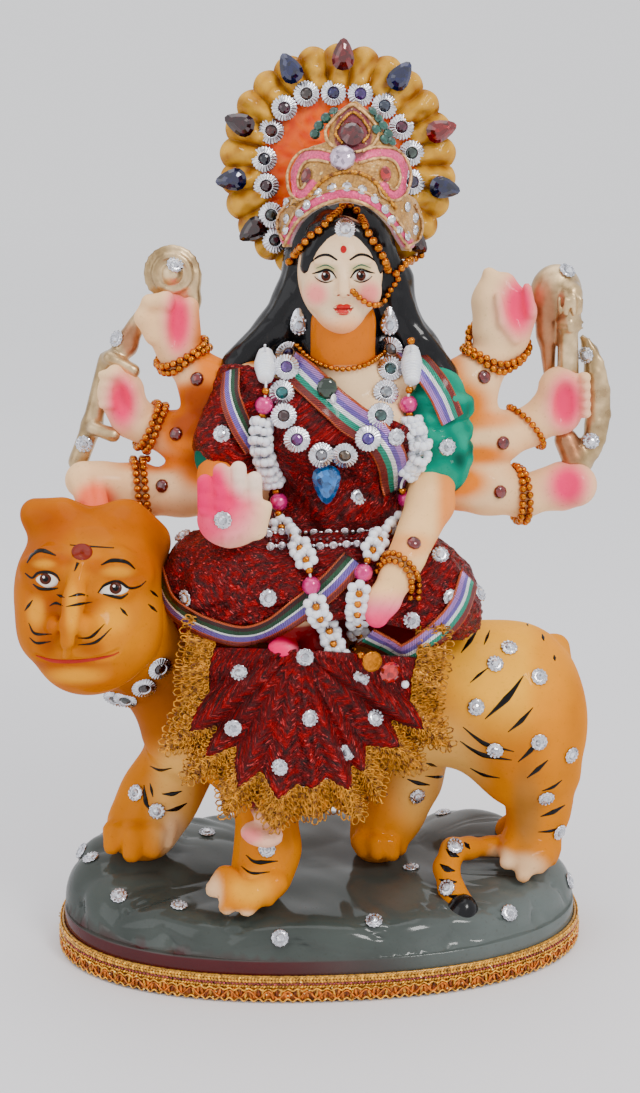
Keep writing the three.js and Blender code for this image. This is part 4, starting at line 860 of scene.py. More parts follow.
WEAPONS = [
    blob(172, 273, 16, 27.5, 4.5, 27.5, 1.5),
    blob(172, 273, 12.5, 11, 3.4, 11, 0.8),
    *rods([(172 + 18 * math.sin(a), 273 + 18 * math.cos(a), 12.2, 3)
           for a in np.linspace(0, 2 * math.pi, 17)], 0.8),
    *rods([(172 + 26 * math.sin(a), 273 + 26 * math.cos(a), 13.6, 2.6)
           for a in np.linspace(0, 2 * math.pi, 21)], 0.8),
    *rods([(194, 276, 15, 7), (194, 300, 14, 6.5), (192, 334, 13, 5)], 2),
    *rods([(141, 313, 16, 5.5), (126, 338, 16, 7), (112, 362, 16, 7)], 1.5),
    *rods([(137, 326, 16.5, 8), (127, 346, 16.5, 10), (116, 360, 16.5, 8)], 2),
    *rods([(107, 360, 16, 9), (92, 425, 16, 10), (78, 462, 15, 10)], 2),
    *rods([(110, 358, 13, 7.5), (133, 371, 12, 7.5)], 1.5),
    *rods([(94, 428, 12, 7), (113, 435, 10, 7.5)], 1.5),
    blob(556, 292, 17, 26, 6, 28, 2),
    *rods([(545, 306, 17, 14), (547, 335, 17, 9), (549, 372, 17, 6)], 3),
    *rods([(570, 294, 12.5, 13), (570, 317, 12.5, 11)], 1.5),
    *rods([(559, 299, 8.6, 2.6), (560, 313, 8.8, 2.4)], 0.8),
    *rods([(566, 299, 7.6, 2.8), (566, 314, 8, 2.6)], 0.8),
    *rods([(574, 299, 7.6, 2.8), (574, 314, 8, 2.6)], 0.8),
    *rods([(581, 299, 8.6, 2.6), (580, 313, 8.8, 2.4)], 0.8),
    *rods([(559, 322, 11.5, 3), (570, 323.5, 9, 3), (581, 322, 11.5, 3)], 0.8),
    *rods([(559, 328, 11.5, 2.4), (570, 329.5, 9, 2.4), (581, 328, 11.5, 2.4)], 0.8),
    *rods([(568, 330, 13, 10), (568, 376, 13, 11)], 1.5),
    *rods([(583, 338, 16, 3.5), (590, 352, 16, 7.5), (595, 374, 15, 10), (597, 400, 15, 10.5),
           (596, 425, 14, 10.5),
           (591, 447, 13, 9.5), (585, 464, 12, 8)], 2),
    *rods([(588, 340, 14.5, 2.5), (600, 362, 13.5, 4), (606.5, 390, 13, 4), (607, 415, 12.5, 4),
           (602, 440, 12, 4),
           (595, 456, 11.5, 3.5)], 0.8),
    *rods([(566, 440, 13, 12), (574, 460, 11, 12)], 3),
]
FRONT_ARM = [
    *chain([(36, -5, 160, 7.5), (34, -15, 152, 7.5), (24, -33, 138, 5.7)], 2),
    *rods([(408, 556, -32, 17), (396, 578, -36, 16), (384, 600, -39, 16), (377, 616, -41, 12)], 2),
]
PALM_ARM = [
    *chain([(-29, -5, 170, 8.5), (-31, -9, 160, 8), (-32, -16, 151, 7), (-30, -33, 149, 6)], 3),
    blob(231, 519, -37.5, 34, 7.5, 29, 2),
    blob(231, 494, -38.5, 30, 3.4, 24, 1.5),
    *rods([(206, 508, -41, 8.6), (205, 482, -41.5, 8)], 0.6),
    *rods([(221.5, 506, -41.5, 8.8), (221, 471, -42, 8.2)], 0.6),
    *rods([(238, 506, -41.5, 8.8), (238.5, 469, -42, 8.2)], 0.6),
    *rods([(254, 508, -41, 8.4), (254.5, 479, -41.5, 7.8)], 0.6),
    *rods([(257, 530, -40, 10), (266, 507, -41.5, 6.5)], 1.6),
]
_palm = PALM_ARM[3:]
for _u, _v in ((206, 493), (221.5, 485), (238.5, 483), (254, 491)):
    for _down in (0, 15):
        PALM_ARM += scored(_palm, [(_u - 6, _v + _down + 1), (_u, _v + _down),
                                   (_u + 6, _v + _down + 1)], 0.8, 0.3)
PALM_ARM += scored(_palm, [(213, 519), (228, 523), (243, 520), (252, 514)], 0.9, 0.3)
PALM_ARM += scored(_palm, [(222, 534), (236, 531), (246, 522)], 0.9, 0.3)
for _u in (222, 231, 240):
    PALM_ARM += scored(_palm, [(_u, 536), (_u - 2, 546)], 0.8, 0.3)
_lap_hand = FRONT_ARM[2:]
for _a, _b in (((390, 598), (373, 622)), ((398, 600), (384, 622))):
    FRONT_ARM += scored(_lap_hand, [_a, _b], 0.9, 0.3)
TIGER_HEAD += scored(TIGER_HEAD, [(34, 655), (46, 659), (66, 661), (92, 660), (118, 652)], 1.1, 0.7)

# The head and its calm, regular face, drawn from its own middle
FACE = (6.0, -4.0, 224.0)


def on_face(x, y, z):
    return FACE[0] + x, FACE[1] + y, FACE[2] + z


HEAD = [
    ball(*FACE, 13.3, 13.5, 17.5, 2),
    ball(*on_face(0, -5, -13), 7, 7, 6, 3),
    *[ball(*on_face(s * 8.2, -7.6, -5.5), 4, 3.6, 4.8, 3) for s in (-1, 1)],
    *[ball(*on_face(s * 5.3, -13.2, 0.2), 3.6, 1.8, 2.3, 1, 0, True) for s in (-1, 1)],
    *[ball(*on_face(s * 5.3, -10.6, 0.1), 3.3, 2.6, 1.9, 0.4) for s in (-1, 1)],
    limb((*on_face(0, -12.6, 3), 1.3), (*on_face(0, -15.2, -4.4), 1.9), 1.2),
    *[ball(*on_face(s * 1.7, -13.6, -5.0), 1.3, 1.3, 1.1, 0.6) for s in (-1, 1)],
    *[limb((*on_face(s * 2, -12.9, 4.4), 0.7), (*on_face(s * 8.4, -10.6, 4.3), 0.6), 1.4)
      for s in (-1, 1)],
    *[ball(*on_face(s * 1.3, -12.2, -9.2), 1.9, 1.5, 0.8, 0.5) for s in (-1, 1)],
    ball(*on_face(0, -12.0, -10.9), 2.5, 1.6, 0.9, 0.4),
    ball(*on_face(0, -9.2, -14.8), 3.4, 3, 2.6, 2),
]
HAIR = [
    ball(7, 7, 227, 18, 14, 20, 2),
    limb((6, 6, 224, 14), (6, 5, 197, 14), 3),
    *chain([(-4, 5, 224, 7), (-7.5, 5, 215, 6.5), (-14, 4, 205, 6), (-26, 2, 194, 5.5)], 3),
    *chain([(23, 5, 220, 7.5), (24.5, 5, 210, 6.5), (32, 2, 199, 6), (38.5, 0, 190, 6)], 3),
]
for _side, _line in ((-1, [(303, 245), (296, 268), (291, 292), (276, 318), (248, 344)]),
                     (1, [(386, 245), (396, 272), (402, 300), (414, 326), (438, 352)])):
    for _n, _shift in enumerate((-8, -3, 3, 8)):
        _p = curve([(a + _side * (_shift + 2 * math.sin(b / 13 + _n)), b + _shift * 0.3) for a,
                    b in _line], 9)
        HAIR += raised(HAIR[:8], _p, 1.4, 0.6, 0.7)


for _side in (-1, 1):
    HAIR += raised(HEAD, [(342.5 + _side * a, b) for a,
                          b in ((0, 222), (14, 229), (26, 240), (34, 253), (38, 266))], 3.0, 1.2, 2)
    HAIR += raised(HEAD, [(342.5 + _side * a, b) for a,
                          b in ((0, 212), (16, 218), (29, 229), (36, 243))], 3.6, 1.3, 2)


# Paint
CREAM, ORANGE = (0.98, 0.68, 0.38), (0.82, 0.2, 0.006)
PINK, HOT = (1.0, 0.2, 0.3), (0.95, 0.0, 0.13)
AMBER, DARK_AMBER, PALE_AMBER = (0.68, 0.22, 0.0), (0.42, 0.1, 0.0), (0.85, 0.48, 0.12)
GREEN, DARK_GREEN = (0.005, 0.3, 0.19), (0.002, 0.07, 0.045)


def cloud(u, v, cu, cv, ru, rv, soft=1.0):
    """1 in an oval of the picture, fading to 0 outside it."""
    return 1 - step(np.hypot((u - cu) / ru, (v - cv) / rv), 1 - soft / 2, 1 + soft / 2)


def tiger_paint(p):
    u, v = seen(p)
    c = mixed(AMBER, DARK_AMBER, 0.5 + 0.5 * wobble(p, 60, 3, 5))
    c = mixed(AMBER, c, 0.45)
    # painted shade: darker amber under the belly, growing from 92 mm down to 60 mm
    c = mixed(c, DARK_AMBER, 0.75 * step(-p[:, 2], -92, -60) * near(p, (5, -10, 70), (50, 60, 24)))
    c = mixed(c, PALE_AMBER, 0.8 * cloud(u, v, 437, 775, 42, 60)
              + 0.8 * cloud(u, v, 175, 800, 22, 60))
    for a in ((212, 893, 10, 20), (174, 838, 12, 24), (238, 917, 28, 6), (521, 868, 24, 14),
              (500, 858, 12, 10)):
        c = mixed(c, lin(0.93, 0.82, 0.68), 0.75 * cloud(u, v, *a))
    # painted shade: grey-brown down the left side of the right hind leg
    c = mixed(c, lin(0.62, 0.5, 0.33), 0.6 * cloud(u, v, 527, 805, 14, 45)
              * near(p, (60, -10, 50), (20, 20, 30)))
    # painted highlight: bright yellow on the rump and on the top of the front paw
    c = mixed(c, (1.0, 0.48, 0.03), 0.85 * cloud(u, v, 500, 655, 60, 70)
              + 0.6 * cloud(u, v, 250, 888, 20, 16))
    # painted shadow: dark brown on the chest under the head
    c = mixed(c, (0.26, 0.055, 0.0), 0.8 * cloud(u, v, 150, 712, 60, 36))
    return mixed(c, (0.8, 0.26, 0.0), 0.6 * cloud(u, v, 550, 690, 20, 90))


def tiger_head_paint(p):
    u, v = seen(p)
    c = mixed((0.56, 0.165, 0.0), (0.44, 0.09, 0.0), 0.4 + 0.35 * wobble(p, 26, 4, 5))
    c = mixed(c, (0.38, 0.07, 0.0), 0.6 * cloud(u, v, 40, 540, 26, 50)
              + 0.5 * cloud(u, v, 100, 520, 60, 18))
    # painted light: lighter amber on the nose bridge and on the right of the muzzle
    c = mixed(c, (0.72, 0.24, 0.0), 0.7 * cloud(u, v, 110, 630, 45, 40)
              + 0.5 * cloud(u, v, 90, 585, 18, 30))
    # painted shade beside the nose, round the mouth, under it and by the inner corners of the eyes
    for a in ((52, 606, 9, 12), (93, 606, 12, 10), (46, 642, 8, 12), (92, 648, 12, 8),
              (67, 664, 40, 4), (60, 560, 16, 6), (95, 566, 12, 8)):
        c = mixed(c, (0.36, 0.055, 0.0), 0.6 * cloud(u, v, *a, 1.2))
    # painted highlights on the nose bridge, cheeks, brows and chin
    for a in ((72, 610, 6, 24), (36, 612, 8, 14), (112, 618, 16, 14), (118, 572, 14, 5),
              (44, 564, 10, 4), (76, 676, 26, 7)):
        c = mixed(c, (0.95, 0.42, 0.01), 0.6 * cloud(u, v, *a, 1.2))
    return c


def arms_paint(p):
    u, v = seen(p)
    c = mixed(CREAM, (0.95, 0.52, 0.22), 0.35 + 0.3 * wobble(p, 40, 5, 5))
    for a in ((190, 425, 34, 36, 1.0), (212, 350, 22, 60, 0.8), (160, 462, 40, 10, 0.8),
              (195, 398, 34, 13, 0.9),
              (205, 470, 26, 18, 0.9), (462, 405, 26, 22, 0.9), (455, 482, 30, 16, 1.0),
              (475, 420, 40, 9, 0.6),
              (452, 530, 22, 26, 0.9), (478, 455, 30, 10, 0.8), (445, 380, 20, 40, 0.8)):
        c = mixed(c, ORANGE, np.minimum(1, 1.25 * a[4] * cloud(u, v, *a[:4], 1.2)))
    # painted shade: dark brown between the left arms where they meet the body
    c = mixed(c, (0.32, 0.045, 0.004), 0.9 * cloud(u, v, 203, 398, 24, 15)
              + 0.9 * cloud(u, v, 192, 425, 26, 14) + 0.8 * cloud(u, v, 208, 462, 24, 16))
    front = step(-p[:, 1], -16, -11)
    for a in ((178, 322, 11, 28), (122, 402, 13, 24), (519, 306, 15, 27), (566, 403, 15, 25),
              (568, 485, 17, 20)):
        c = mixed(c, PINK, 0.5 * cloud(u, v, a[0], a[1], a[2] * 1.5, a[3] * 1.2, 0.9) * front)
        c = mixed(c, HOT, 0.95 * cloud(u, v, *a, 1.1) * front)
    c = mixed(c, lin(0.97, 0.45, 0.3), 0.9 * cloud(u, v, 95, 502, 20, 20, 0.9))
    c = mixed(c, lin(0.93, 0.6, 0.1), cloud(u, v, 85, 528, 60, 16, 0.8))
    return mixed(c, ORANGE, 0.5 * step(p[:, 1], 6, 14) * near(p, (6, 10, 170), (40, 30, 40)))


def palm_paint(p):
    u, v = seen(p)
    front = step(-p[:, 1], 30, 33)
    c = mixed(ORANGE, CREAM, front)
    c = mixed(c, PINK, 0.8 * front * cloud(u, v, 218, 512, 40, 40, 0.8))
    c = mixed(c, HOT, front * np.maximum(cloud(u, v, 213, 495, 34, 32, 1.0),
                                         0.8 * cloud(u, v, 207, 518, 22, 24)))
    return mixed(c, (0.98, 0.76, 0.6), front * cloud(u, v, 252, 470, 24, 26, 0.9))


def front_arm_paint(p):
    u, v = seen(p)
    c = mixed((1.0, 0.6, 0.26), ORANGE, 0.8 * step(u, 430, 446)
              + 0.5 * cloud(u, v, 408, 545, 26, 12))
    c = mixed(c, PINK, step(v, 585, 612))
    return mixed(c, HOT, 0.8 * step(v, 603, 622))


def body_paint(p):
    c = np.tile(CREAM, (len(p), 1))
    u, v = seen(p)
    c = mixed(c, (0.6, 0.15, 0.004), step(p[:, 2], 194.5, 196))
    c = mixed(c, (0.16, 0.001, 0.003), step(-p[:, 2], -121, -118))
    c = mixed(c, PINK, cloud(u, v, 276, 655, 24, 12, 0.4))
    c = mixed(c, (0.9, 0.5, 0.34), cloud(u, v, 262, 838, 34, 26, 0.5))
    return mixed(c, HOT, cloud(u, v, 276, 653, 16, 12) + 0.5 * cloud(u, v, 250, 836, 12, 8))


def head_paint(p):
    x, z = p[:, 0] - FACE[0], p[:, 2] - FACE[2]
    c = mixed((0.95, 0.72, 0.46), (0.92, 0.6, 0.34), 0.5 + 0.3 * wobble(p, 9, 6, 5))
    for s in (-1, 1):
        c = mixed(c, lin(0.96, 0.5, 0.55),
                  0.75 * (1 - step(np.hypot((x - s * 8.2) / 4.4, (z + 5.5) / 4.6), 0.3, 1.2)))
        c = mixed(c, lin(0.62, 0.68, 0.42),
                  0.6 * (1 - step(np.hypot((x - s * 5.3) / 3.9, (z - 2.3) / 1.7), 0.4, 1.2)))
    c = mixed(c, lin(0.95, 0.6, 0.3), 0.6 * step(-z, 11, 16.5))
    return c


def gold_paint(p):
    u, v = seen(p)
    c = mixed((0.42, 0.3, 0.15), (0.8, 0.62, 0.38), 0.5 + 0.5 * wobble(p, 14, 7, 6))
    web = cloud(u, v, 546, 335, 11, 52) + cloud(u, v, 541, 305, 10, 24) + cloud(u, v, 131, 340, 10,
            17, 0.7)
    return mixed(c, (0.42, 0.16, 0.07), 0.85 * np.minimum(1, web + cloud(u, v, 568, 443, 14, 26)))


# The cell, in mm, that each part of the cast is meshed in
CELL = {"tiger_body": 1.35, "tiger_head": 0.78, "goddess_body": 1.5, "back_arms": 0.95,
        "raised_arm": 0.7, "resting_arm": 0.7, "goddess_head": 0.46, "weapons": 0.95,
        "hair": 1.0, "tail_tip": 0.6, "sleeve_right": 0.85, "sleeve_left": 0.8}


def cast(name, forms, paint, mats):
    v, f = net(forms, CELL[name])
    return piece(name, Body().add(v, f, paint(v)), mats, ["plaster_idol"])


ENAMEL = painted("painted_plaster")
SKIN = painted("painted_skin", 0.16, (0.22, 0.42), 0.07)
cast("tiger_body", TIGER, tiger_paint, [ENAMEL])
cast("tiger_head", TIGER_HEAD, tiger_head_paint, [ENAMEL])
cast("goddess_body", [*BODY, *TORSO], body_paint, [SKIN])
cast("back_arms", [*BACK_ARMS, *HANDS], arms_paint, [SKIN])
cast("raised_arm", PALM_ARM, palm_paint, [SKIN])
cast("resting_arm", FRONT_ARM, front_arm_paint, [SKIN])
cast("goddess_head", HEAD, head_paint, [SKIN])


def dull_gold():
    f = Finish("dull_gold_paint", Metallic=0.8, Coat_Weight=0.3, Coat_Roughness=0.12)
    cloudy = f.noise(220, 4)
    f.set(Base_Color=f.mix(1.0, f.attribute("paint"),
                           f.ramp(cloudy, [(0.3, (0.6, 0.52, 0.42)), (0.7, (1.15, 1.1, 1.0))]),
                           "MULTIPLY"),
          Roughness=f.ranged(cloudy, 0.3, 0.7, 0.25, 0.5))
    f.bump(f.noise(500, 3), 0.15)
    return f.mat


def black_gloss():
    f = Finish("black_gloss", Coat_Weight=0.35, Coat_Roughness=0.05, Specular_IOR_Level=0.1)
    strand = f.noise(70, 4, f.stretched(f.place(), (3.0, 3.0, 0.8)))
    f.set(Base_Color=f.mix(strand, (0.002, 0.002, 0.003), (0.008, 0.008, 0.009)),
          Roughness=f.ranged(strand, 0.3, 0.7, 0.15, 0.35))
    f.bump(strand, 0.35, 0.0012)
    return f.mat


def black_paint(p):
    return np.tile(lin(0.08, 0.08, 0.09), (len(p), 1))


BLACK = black_gloss()
cast("weapons", WEAPONS, gold_paint, [dull_gold()])
cast("hair", HAIR, black_paint, [BLACK])
cast("tail_tip", TAIL_TIP[:1], black_paint, [BLACK])
_folds = []
for _z, _sway in ((184, 1.5), (179, -1), (173.5, 2), (169, -1.5), (163, 1)):
    _turn = np.radians(np.arange(-110, 111, 22))
    _folds += chain([[37.2 + 10.1 * math.sin(a), -3 - 10.1 * math.cos(a),
                      _z + _sway * math.sin(1.7 * a + _z), 1.3]
                     for a in _turn], 2.4)
cast("sleeve_right", [SLEEVE, *_folds],
     lambda p: mixed(DARK_GREEN, GREEN, 0.75 + 0.35 * wobble(p, 9, 8)), [ENAMEL])
_left = [limb((-24, -2, 178, 9.6), (-31, -5, 166, 9.4), 3)]
# painted shade: the left sleeve is the same green as the right one, kept mostly to its dark tone
cast("sleeve_left", _left, lambda p: mixed(DARK_GREEN, GREEN, 0.15 + 0.1 * wobble(p, 12, 9)),
     [ENAMEL])

# Rock, plinth and halo
BASE_HALF = (86.0, 52.5)
PLINTH = 13.5
BOULDERS = [
    (-0.84, 0.22, 0.34, 8), (-0.8, -0.28, 0.3, 2.5), (-0.6, -0.6, 0.3, -0.5),
        (-0.38, -0.5, 0.32, -2),
    (-0.06, -0.66, 0.34, -2.5), (0.22, -0.5, 0.3, -1.5), (0.5, -0.62, 0.3, -2),
        (0.62, -0.15, 0.28, -1.5),
    (0.92, -0.1, 0.26, 2.5), (0.72, 0.42, 0.32, 6.5), (0.3, 0.5, 0.36, 1), (-0.1, 0.6, 0.4, 1.5),
    (-0.55, 0.55, 0.38, 3), (0.25, 0.05, 0.36, -1.5), (-0.15, 0, 0.4, -1), (-0.55, 0.1, 0.34, 3),
]


def oval(turn, out=0.0):
    power = 2 / 2.25
    c, s = np.cos(turn), np.sin(turn)
    return ((BASE_HALF[0] + out) * np.sign(c) * np.abs(c) ** power,
            (BASE_HALF[1] + out) * np.sign(s) * np.abs(s) ** power)


def rock_height(x, y):
    sx, sy = x / BASE_HALF[0], y / BASE_HALF[1]
    edge = 1 - np.minimum(1, np.hypot(sx, sy)) ** 16
    lumps = np.max([rise + 9 * (np.sqrt(np.maximum(0,
            1 - (np.hypot(sx - bx, (sy - by) * 0.7) / reach) ** 2)) - 1)
                    for bx, by, reach, rise in BOULDERS], 0)
    return PLINTH + np.sqrt(edge) * np.maximum(0.5, 12 + lumps)


# Where its boulders part, in degrees round the middle
CREASES = np.array([4, 24, 47, 72, 98, 123, 146, 171, 196, 214, 232, 249, 264, 279, 297, 312, 327,
                    343])


def make_rock():
    sides, rings = 240, 56
    turn = np.arange(sides) * 2 * math.pi / sides
    share = np.sin(np.linspace(0.02, 1, rings) * math.pi / 2)[:, None] ** 0.8
    ox, oy = oval(turn)
    x, y = ox * share, oy * share
    z = rock_height(x, y)
    p = np.stack([x, y, z], -1)
    rim = 1 - share ** 14
    p[..., 2] += (0.12 * wobble(p, 14, 11) + 0.5 * wobble(p, 34, 14)) * rim
    # creases cut into the rock's wall and fade toward its middle
    seams = np.radians(CREASES)
    where = np.searchsorted(seams, turn % (2 * math.pi)) % len(seams)
    lean = np.radians(7) * np.sin(3 * where) * (p[..., 2] - 20) / 8
    angle = (turn[None] + lean) % (2 * math.pi)
    after = np.searchsorted(seams, angle) % len(seams)
    gap = (seams[after] - seams[after - 1]) % (2 * math.pi)
    s = ((angle - seams[after - 1]) % (2 * math.pi)) / gap
    pillow = 1 - np.clip(4 * s * (1 - s), 0, 1) ** 0.3
    wall_cut = 3.4 * pillow * step(p[..., 2], PLINTH + 0.3, PLINTH + 3) * step(share, 0.86, 0.99)
    p[..., :2] *= (1 - wall_cut / np.hypot(x, y))[..., None]
    p[..., 2] -= 2.4 * pillow * step(share, 0.45, 0.9) * (1 - share ** 20)
    wall = []
    for z0, out in ((PLINTH - 0.6, 0.15), (9.5, 0.3), (4, 0.3), (0.6, 0.2), (0, -0.4)):
        wx, wy = oval(turn, out)
        wall.append(np.stack([wx, wy, np.full(sides, z0)], -1))
    grid = np.concatenate([p, np.array(wall)])
    k = np.arange(grid.shape[0] * sides).reshape(-1, sides)
    k2 = np.roll(k, -1, 1)
    quads = np.stack([k[:-1], k[1:], k2[1:], k2[:-1]], -1).reshape(-1, 4)
    v = np.concatenate([grid.reshape(-1, 3), [[0, 0, rock_height(0.0, 0.0)], [0, 0, 0]]])
    n = grid.shape[0] * sides
    s, t = np.arange(sides), (np.arange(sides) + 1) % sides
    tris = np.concatenate([np.stack([np.full(sides, n), s, t], -1),
                           np.stack([np.full(sides, n + 1), n - sides + t, n - sides + s], -1)])
    c = mixed((0.036, 0.045, 0.04), (0.062, 0.076, 0.068), 0.5 + 0.4 * wobble(v, 26, 12))
    # painted light: lighter grey towards the right end
    c = mixed(c, (0.13, 0.155, 0.15), 0.7 * step(v[:, 0], 0, 75))
    c = mixed(c, (0.07, 0.052, 0.04), 0.5 * near(v, (30, 18, 26), (48, 24, 20)))
    c = mixed(c, (0.06, 0.004, 0.006), step(-v[:, 2], -PLINTH - 0.2, -PLINTH + 0.6)
              * step(34 - v[:, 0], 0, 60))
    piece("rock_base", Body().add(v, [quads, tris], c),
          [painted("rock_paint", 0.6, (0.3, 0.5), 0.08, 0.12)], ["plaster_idol"])


make_rock()
HALO = np.array([7.0, 19.0, 255.5])
HALO_R = 38.0


def make_halo():
    sides, rings = 416, 33
    turn = np.arange(sides) * 2 * math.pi / sides
    scallop = np.abs(np.cos(turn * 13))
    rim = HALO_R * (0.945 + 0.055 * scallop ** 0.8)
    share = np.linspace(0.01, 1, rings)[:, None]
    x, z = rim * share * np.sin(turn), rim * share * np.cos(turn)
    flute = 0.42 + 0.58 * scallop ** 0.8
    flat = 0.55 + 0 * share
    up = np.where(share > 0.64, flat + (flute - flat) * step(share, 0.64, 0.68)
                  * (1 - step(share, 0.93, 1.0) ** 2), flat)
    p = np.stack([x, -5.0 * up, z], -1)
    p[..., 1] -= 0.6 * wobble(p, 5, 21, 14) * step(share, 0.66, 0.7) * (1 - step(share, 0.95, 1))
    p[..., 1] -= 0.3 * np.maximum(0, wobble(p, 4.2, 22)) * (1 - step(share, 0.6, 0.64))
    p[-1, :, 1] = np.minimum(p[-1, :, 1], -2.4)
    edge = p[-1].copy()
    edge[:, 1] = -0.8
    back = p[-1] * np.array([0.97, 0, 0.97])
    grid = np.concatenate([p, edge[None], back[None]])
    k = np.arange(grid.shape[0] * sides).reshape(-1, sides)
    k2 = np.roll(k, -1, 1)
    quads = np.stack([k[:-1], k2[:-1], k2[1:], k[1:]], -1).reshape(-1, 4)[:, ::-1]
    n = grid.shape[0] * sides
    v = np.concatenate([grid.reshape(-1, 3), [[0, -2.75, 0], [0, 0, 0]]])
    s, t = np.arange(sides), (np.arange(sides) + 1) % sides
    tris = np.concatenate([np.stack([np.full(sides, n), s, t], -1),
                           np.stack([np.full(sides, n + 1), n - sides + t, n - sides + s], -1)])
    r = np.hypot(v[:, 0], v[:, 2]) / HALO_R
    lobe = np.abs(np.cos(np.arctan2(v[:, 0], v[:, 2]) * 13))
    # painted shade: the gold darkens in the grooves between the flutes and is lightest on their
    # crests
    gold = mixed((0.3, 0.1, 0.005), (0.66, 0.34, 0.03), 0.2 + 0.75 * lobe + 0.4 * wobble(v, 5, 23))
    red = mixed((0.8, 0.06, 0.005), (1.0, 0.16, 0.015), 0.5 + 0.5 * wobble(v, 5, 24))
    c = mixed(red, gold, step(r, 0.63, 0.66))
    mat = painted("halo_paint", 0.4, (0.2, 0.4), 0.3)
    normal = np.cross(v[quads[0, 1]] - v[quads[0, 0]], v[quads[0, 2]] - v[quads[0, 0]])
    faces = [quads, tris] if normal[1] < 0 else [quads[:, ::-1], tris[:, ::-1]]
    piece("halo", Body().add(v + HALO, faces, c), [mat], ["plaster_idol"])


make_halo()


# What lies on the cast is placed by rays through pixels onto the pieces made so far
class Ground:
    def __init__(self, *objects):
        self.trees = []
        self.put(*objects)

    def put(self, *objects):
        bpy.context.view_layer.update()
        dg = bpy.context.evaluated_depsgraph_get()
        self.trees += [BVHTree.FromObject(o, dg) for o in objects]
        return self

    def cast(self, start, way):
        found = None
        for tree in self.trees:
            p, n, _, far = tree.ray_cast(Vector(start * MM), Vector(way))
            if p is not None and (found is None or far < found[2]):
                found = (np.array(p) / MM, np.array(n), far)
        return found

    def hits(self, pixels, y=-10.0):
        """Points and outward normals under pixels, each normal taken from a small patch around."""
        spots, normals, last = [], [], None
        for u, v in np.asarray(pixels, float).reshape(-1, 2):
            got = [self.cast(EYE, ray(u + a, v + b)) for a,
                   b in ((0, 0), (4, 0), (-4, 0), (0, 4), (0, -4))]
            landed = [g for g in got if g]
            if got[0]:
                middle = got[0][0]
            else:
                middle = at(u, v, landed[0][0][1] if landed else y if last is None else last)
            last = middle[1]
            close = [g[1] for g in landed if np.linalg.norm(g[0] - middle) < 5]
            n = unit(np.sum(close, 0)) if close else -ray(u, v)
            spots.append(middle)
            normals.append(unit(n if n @ ray(u, v) < 0 else -n))
        return np.array(spots), np.array(normals)


def laid(ground, pixels, lift, count=60, rounds=3):
    """A smooth path over the ground through pixels, with its outward normals."""
    line = curve(pixels, count)
    p, n = ground.hits(line)
    n = unit(softened(np.array(n), 6))
    return softened(p + n * lift, rounds), n


def near_line(u, v, line):
    """Distance in pixels from a line through pixels."""
    line = curve(line, 60)
    best = np.full(u.shape, 1e9)
    for a, b in zip(line, line[1:]):
        d = b - a
        t = np.clip(((u - a[0]) * d[0] + (v - a[1]) * d[1]) / (d @ d + 1e-9), 0, 1)
        best = np.minimum(best, np.hypot(u - a[0] - d[0] * t, v - a[1] - d[1] * t))
    return best


def named(*names):
    return [bpy.data.objects[n] for n in names]


GOLD_METAL = metal("gold_bead", tuple(lin(0.86, 0.58, 0.2)), 0.22, 0.5)
SILVER_METAL = metal("silver_setting", tuple(lin(0.9, 0.9, 0.92)), 0.16, 0.6)
GLASS = glassy("coloured_glass")
CLEAR = glassy("clear_glass", 0.03, 0.35)
LAME = lame()

# Crown: a thick plaque bent round the brow
CROWN_LOW = [(284, 247), (289, 236), (298, 222), (312, 211), (328, 204), (344, 201), (362, 204),
             (378, 213),
             (392, 226), (402, 240), (410, 251)]
CROWN_TOP = [(278, 232), (279, 216), (287, 198), (297, 195), (292, 174), (299, 158), (308, 148),
             (327, 140),
             (331, 118), (344, 107), (355, 101), (365, 108), (379, 119), (387, 138), (400, 151),
             (407, 166), (405, 190), (416, 200),
             (423, 218), (419, 238)]
CROWN_ARMS = ([(331, 158), (317, 155), (303, 158), (295, 170), (293, 184), (298, 194), (307, 192),
               (312, 184)],
              [(357, 158), (378, 153), (395, 156), (404, 169), (404, 185), (396, 195), (386, 192),
               (384, 186)])
CROWN_SIDES = np.array([[0, 23], [0.32, 22.5], [0.6, 19], [0.7, 16], [0.92, 9], [1, 5]])


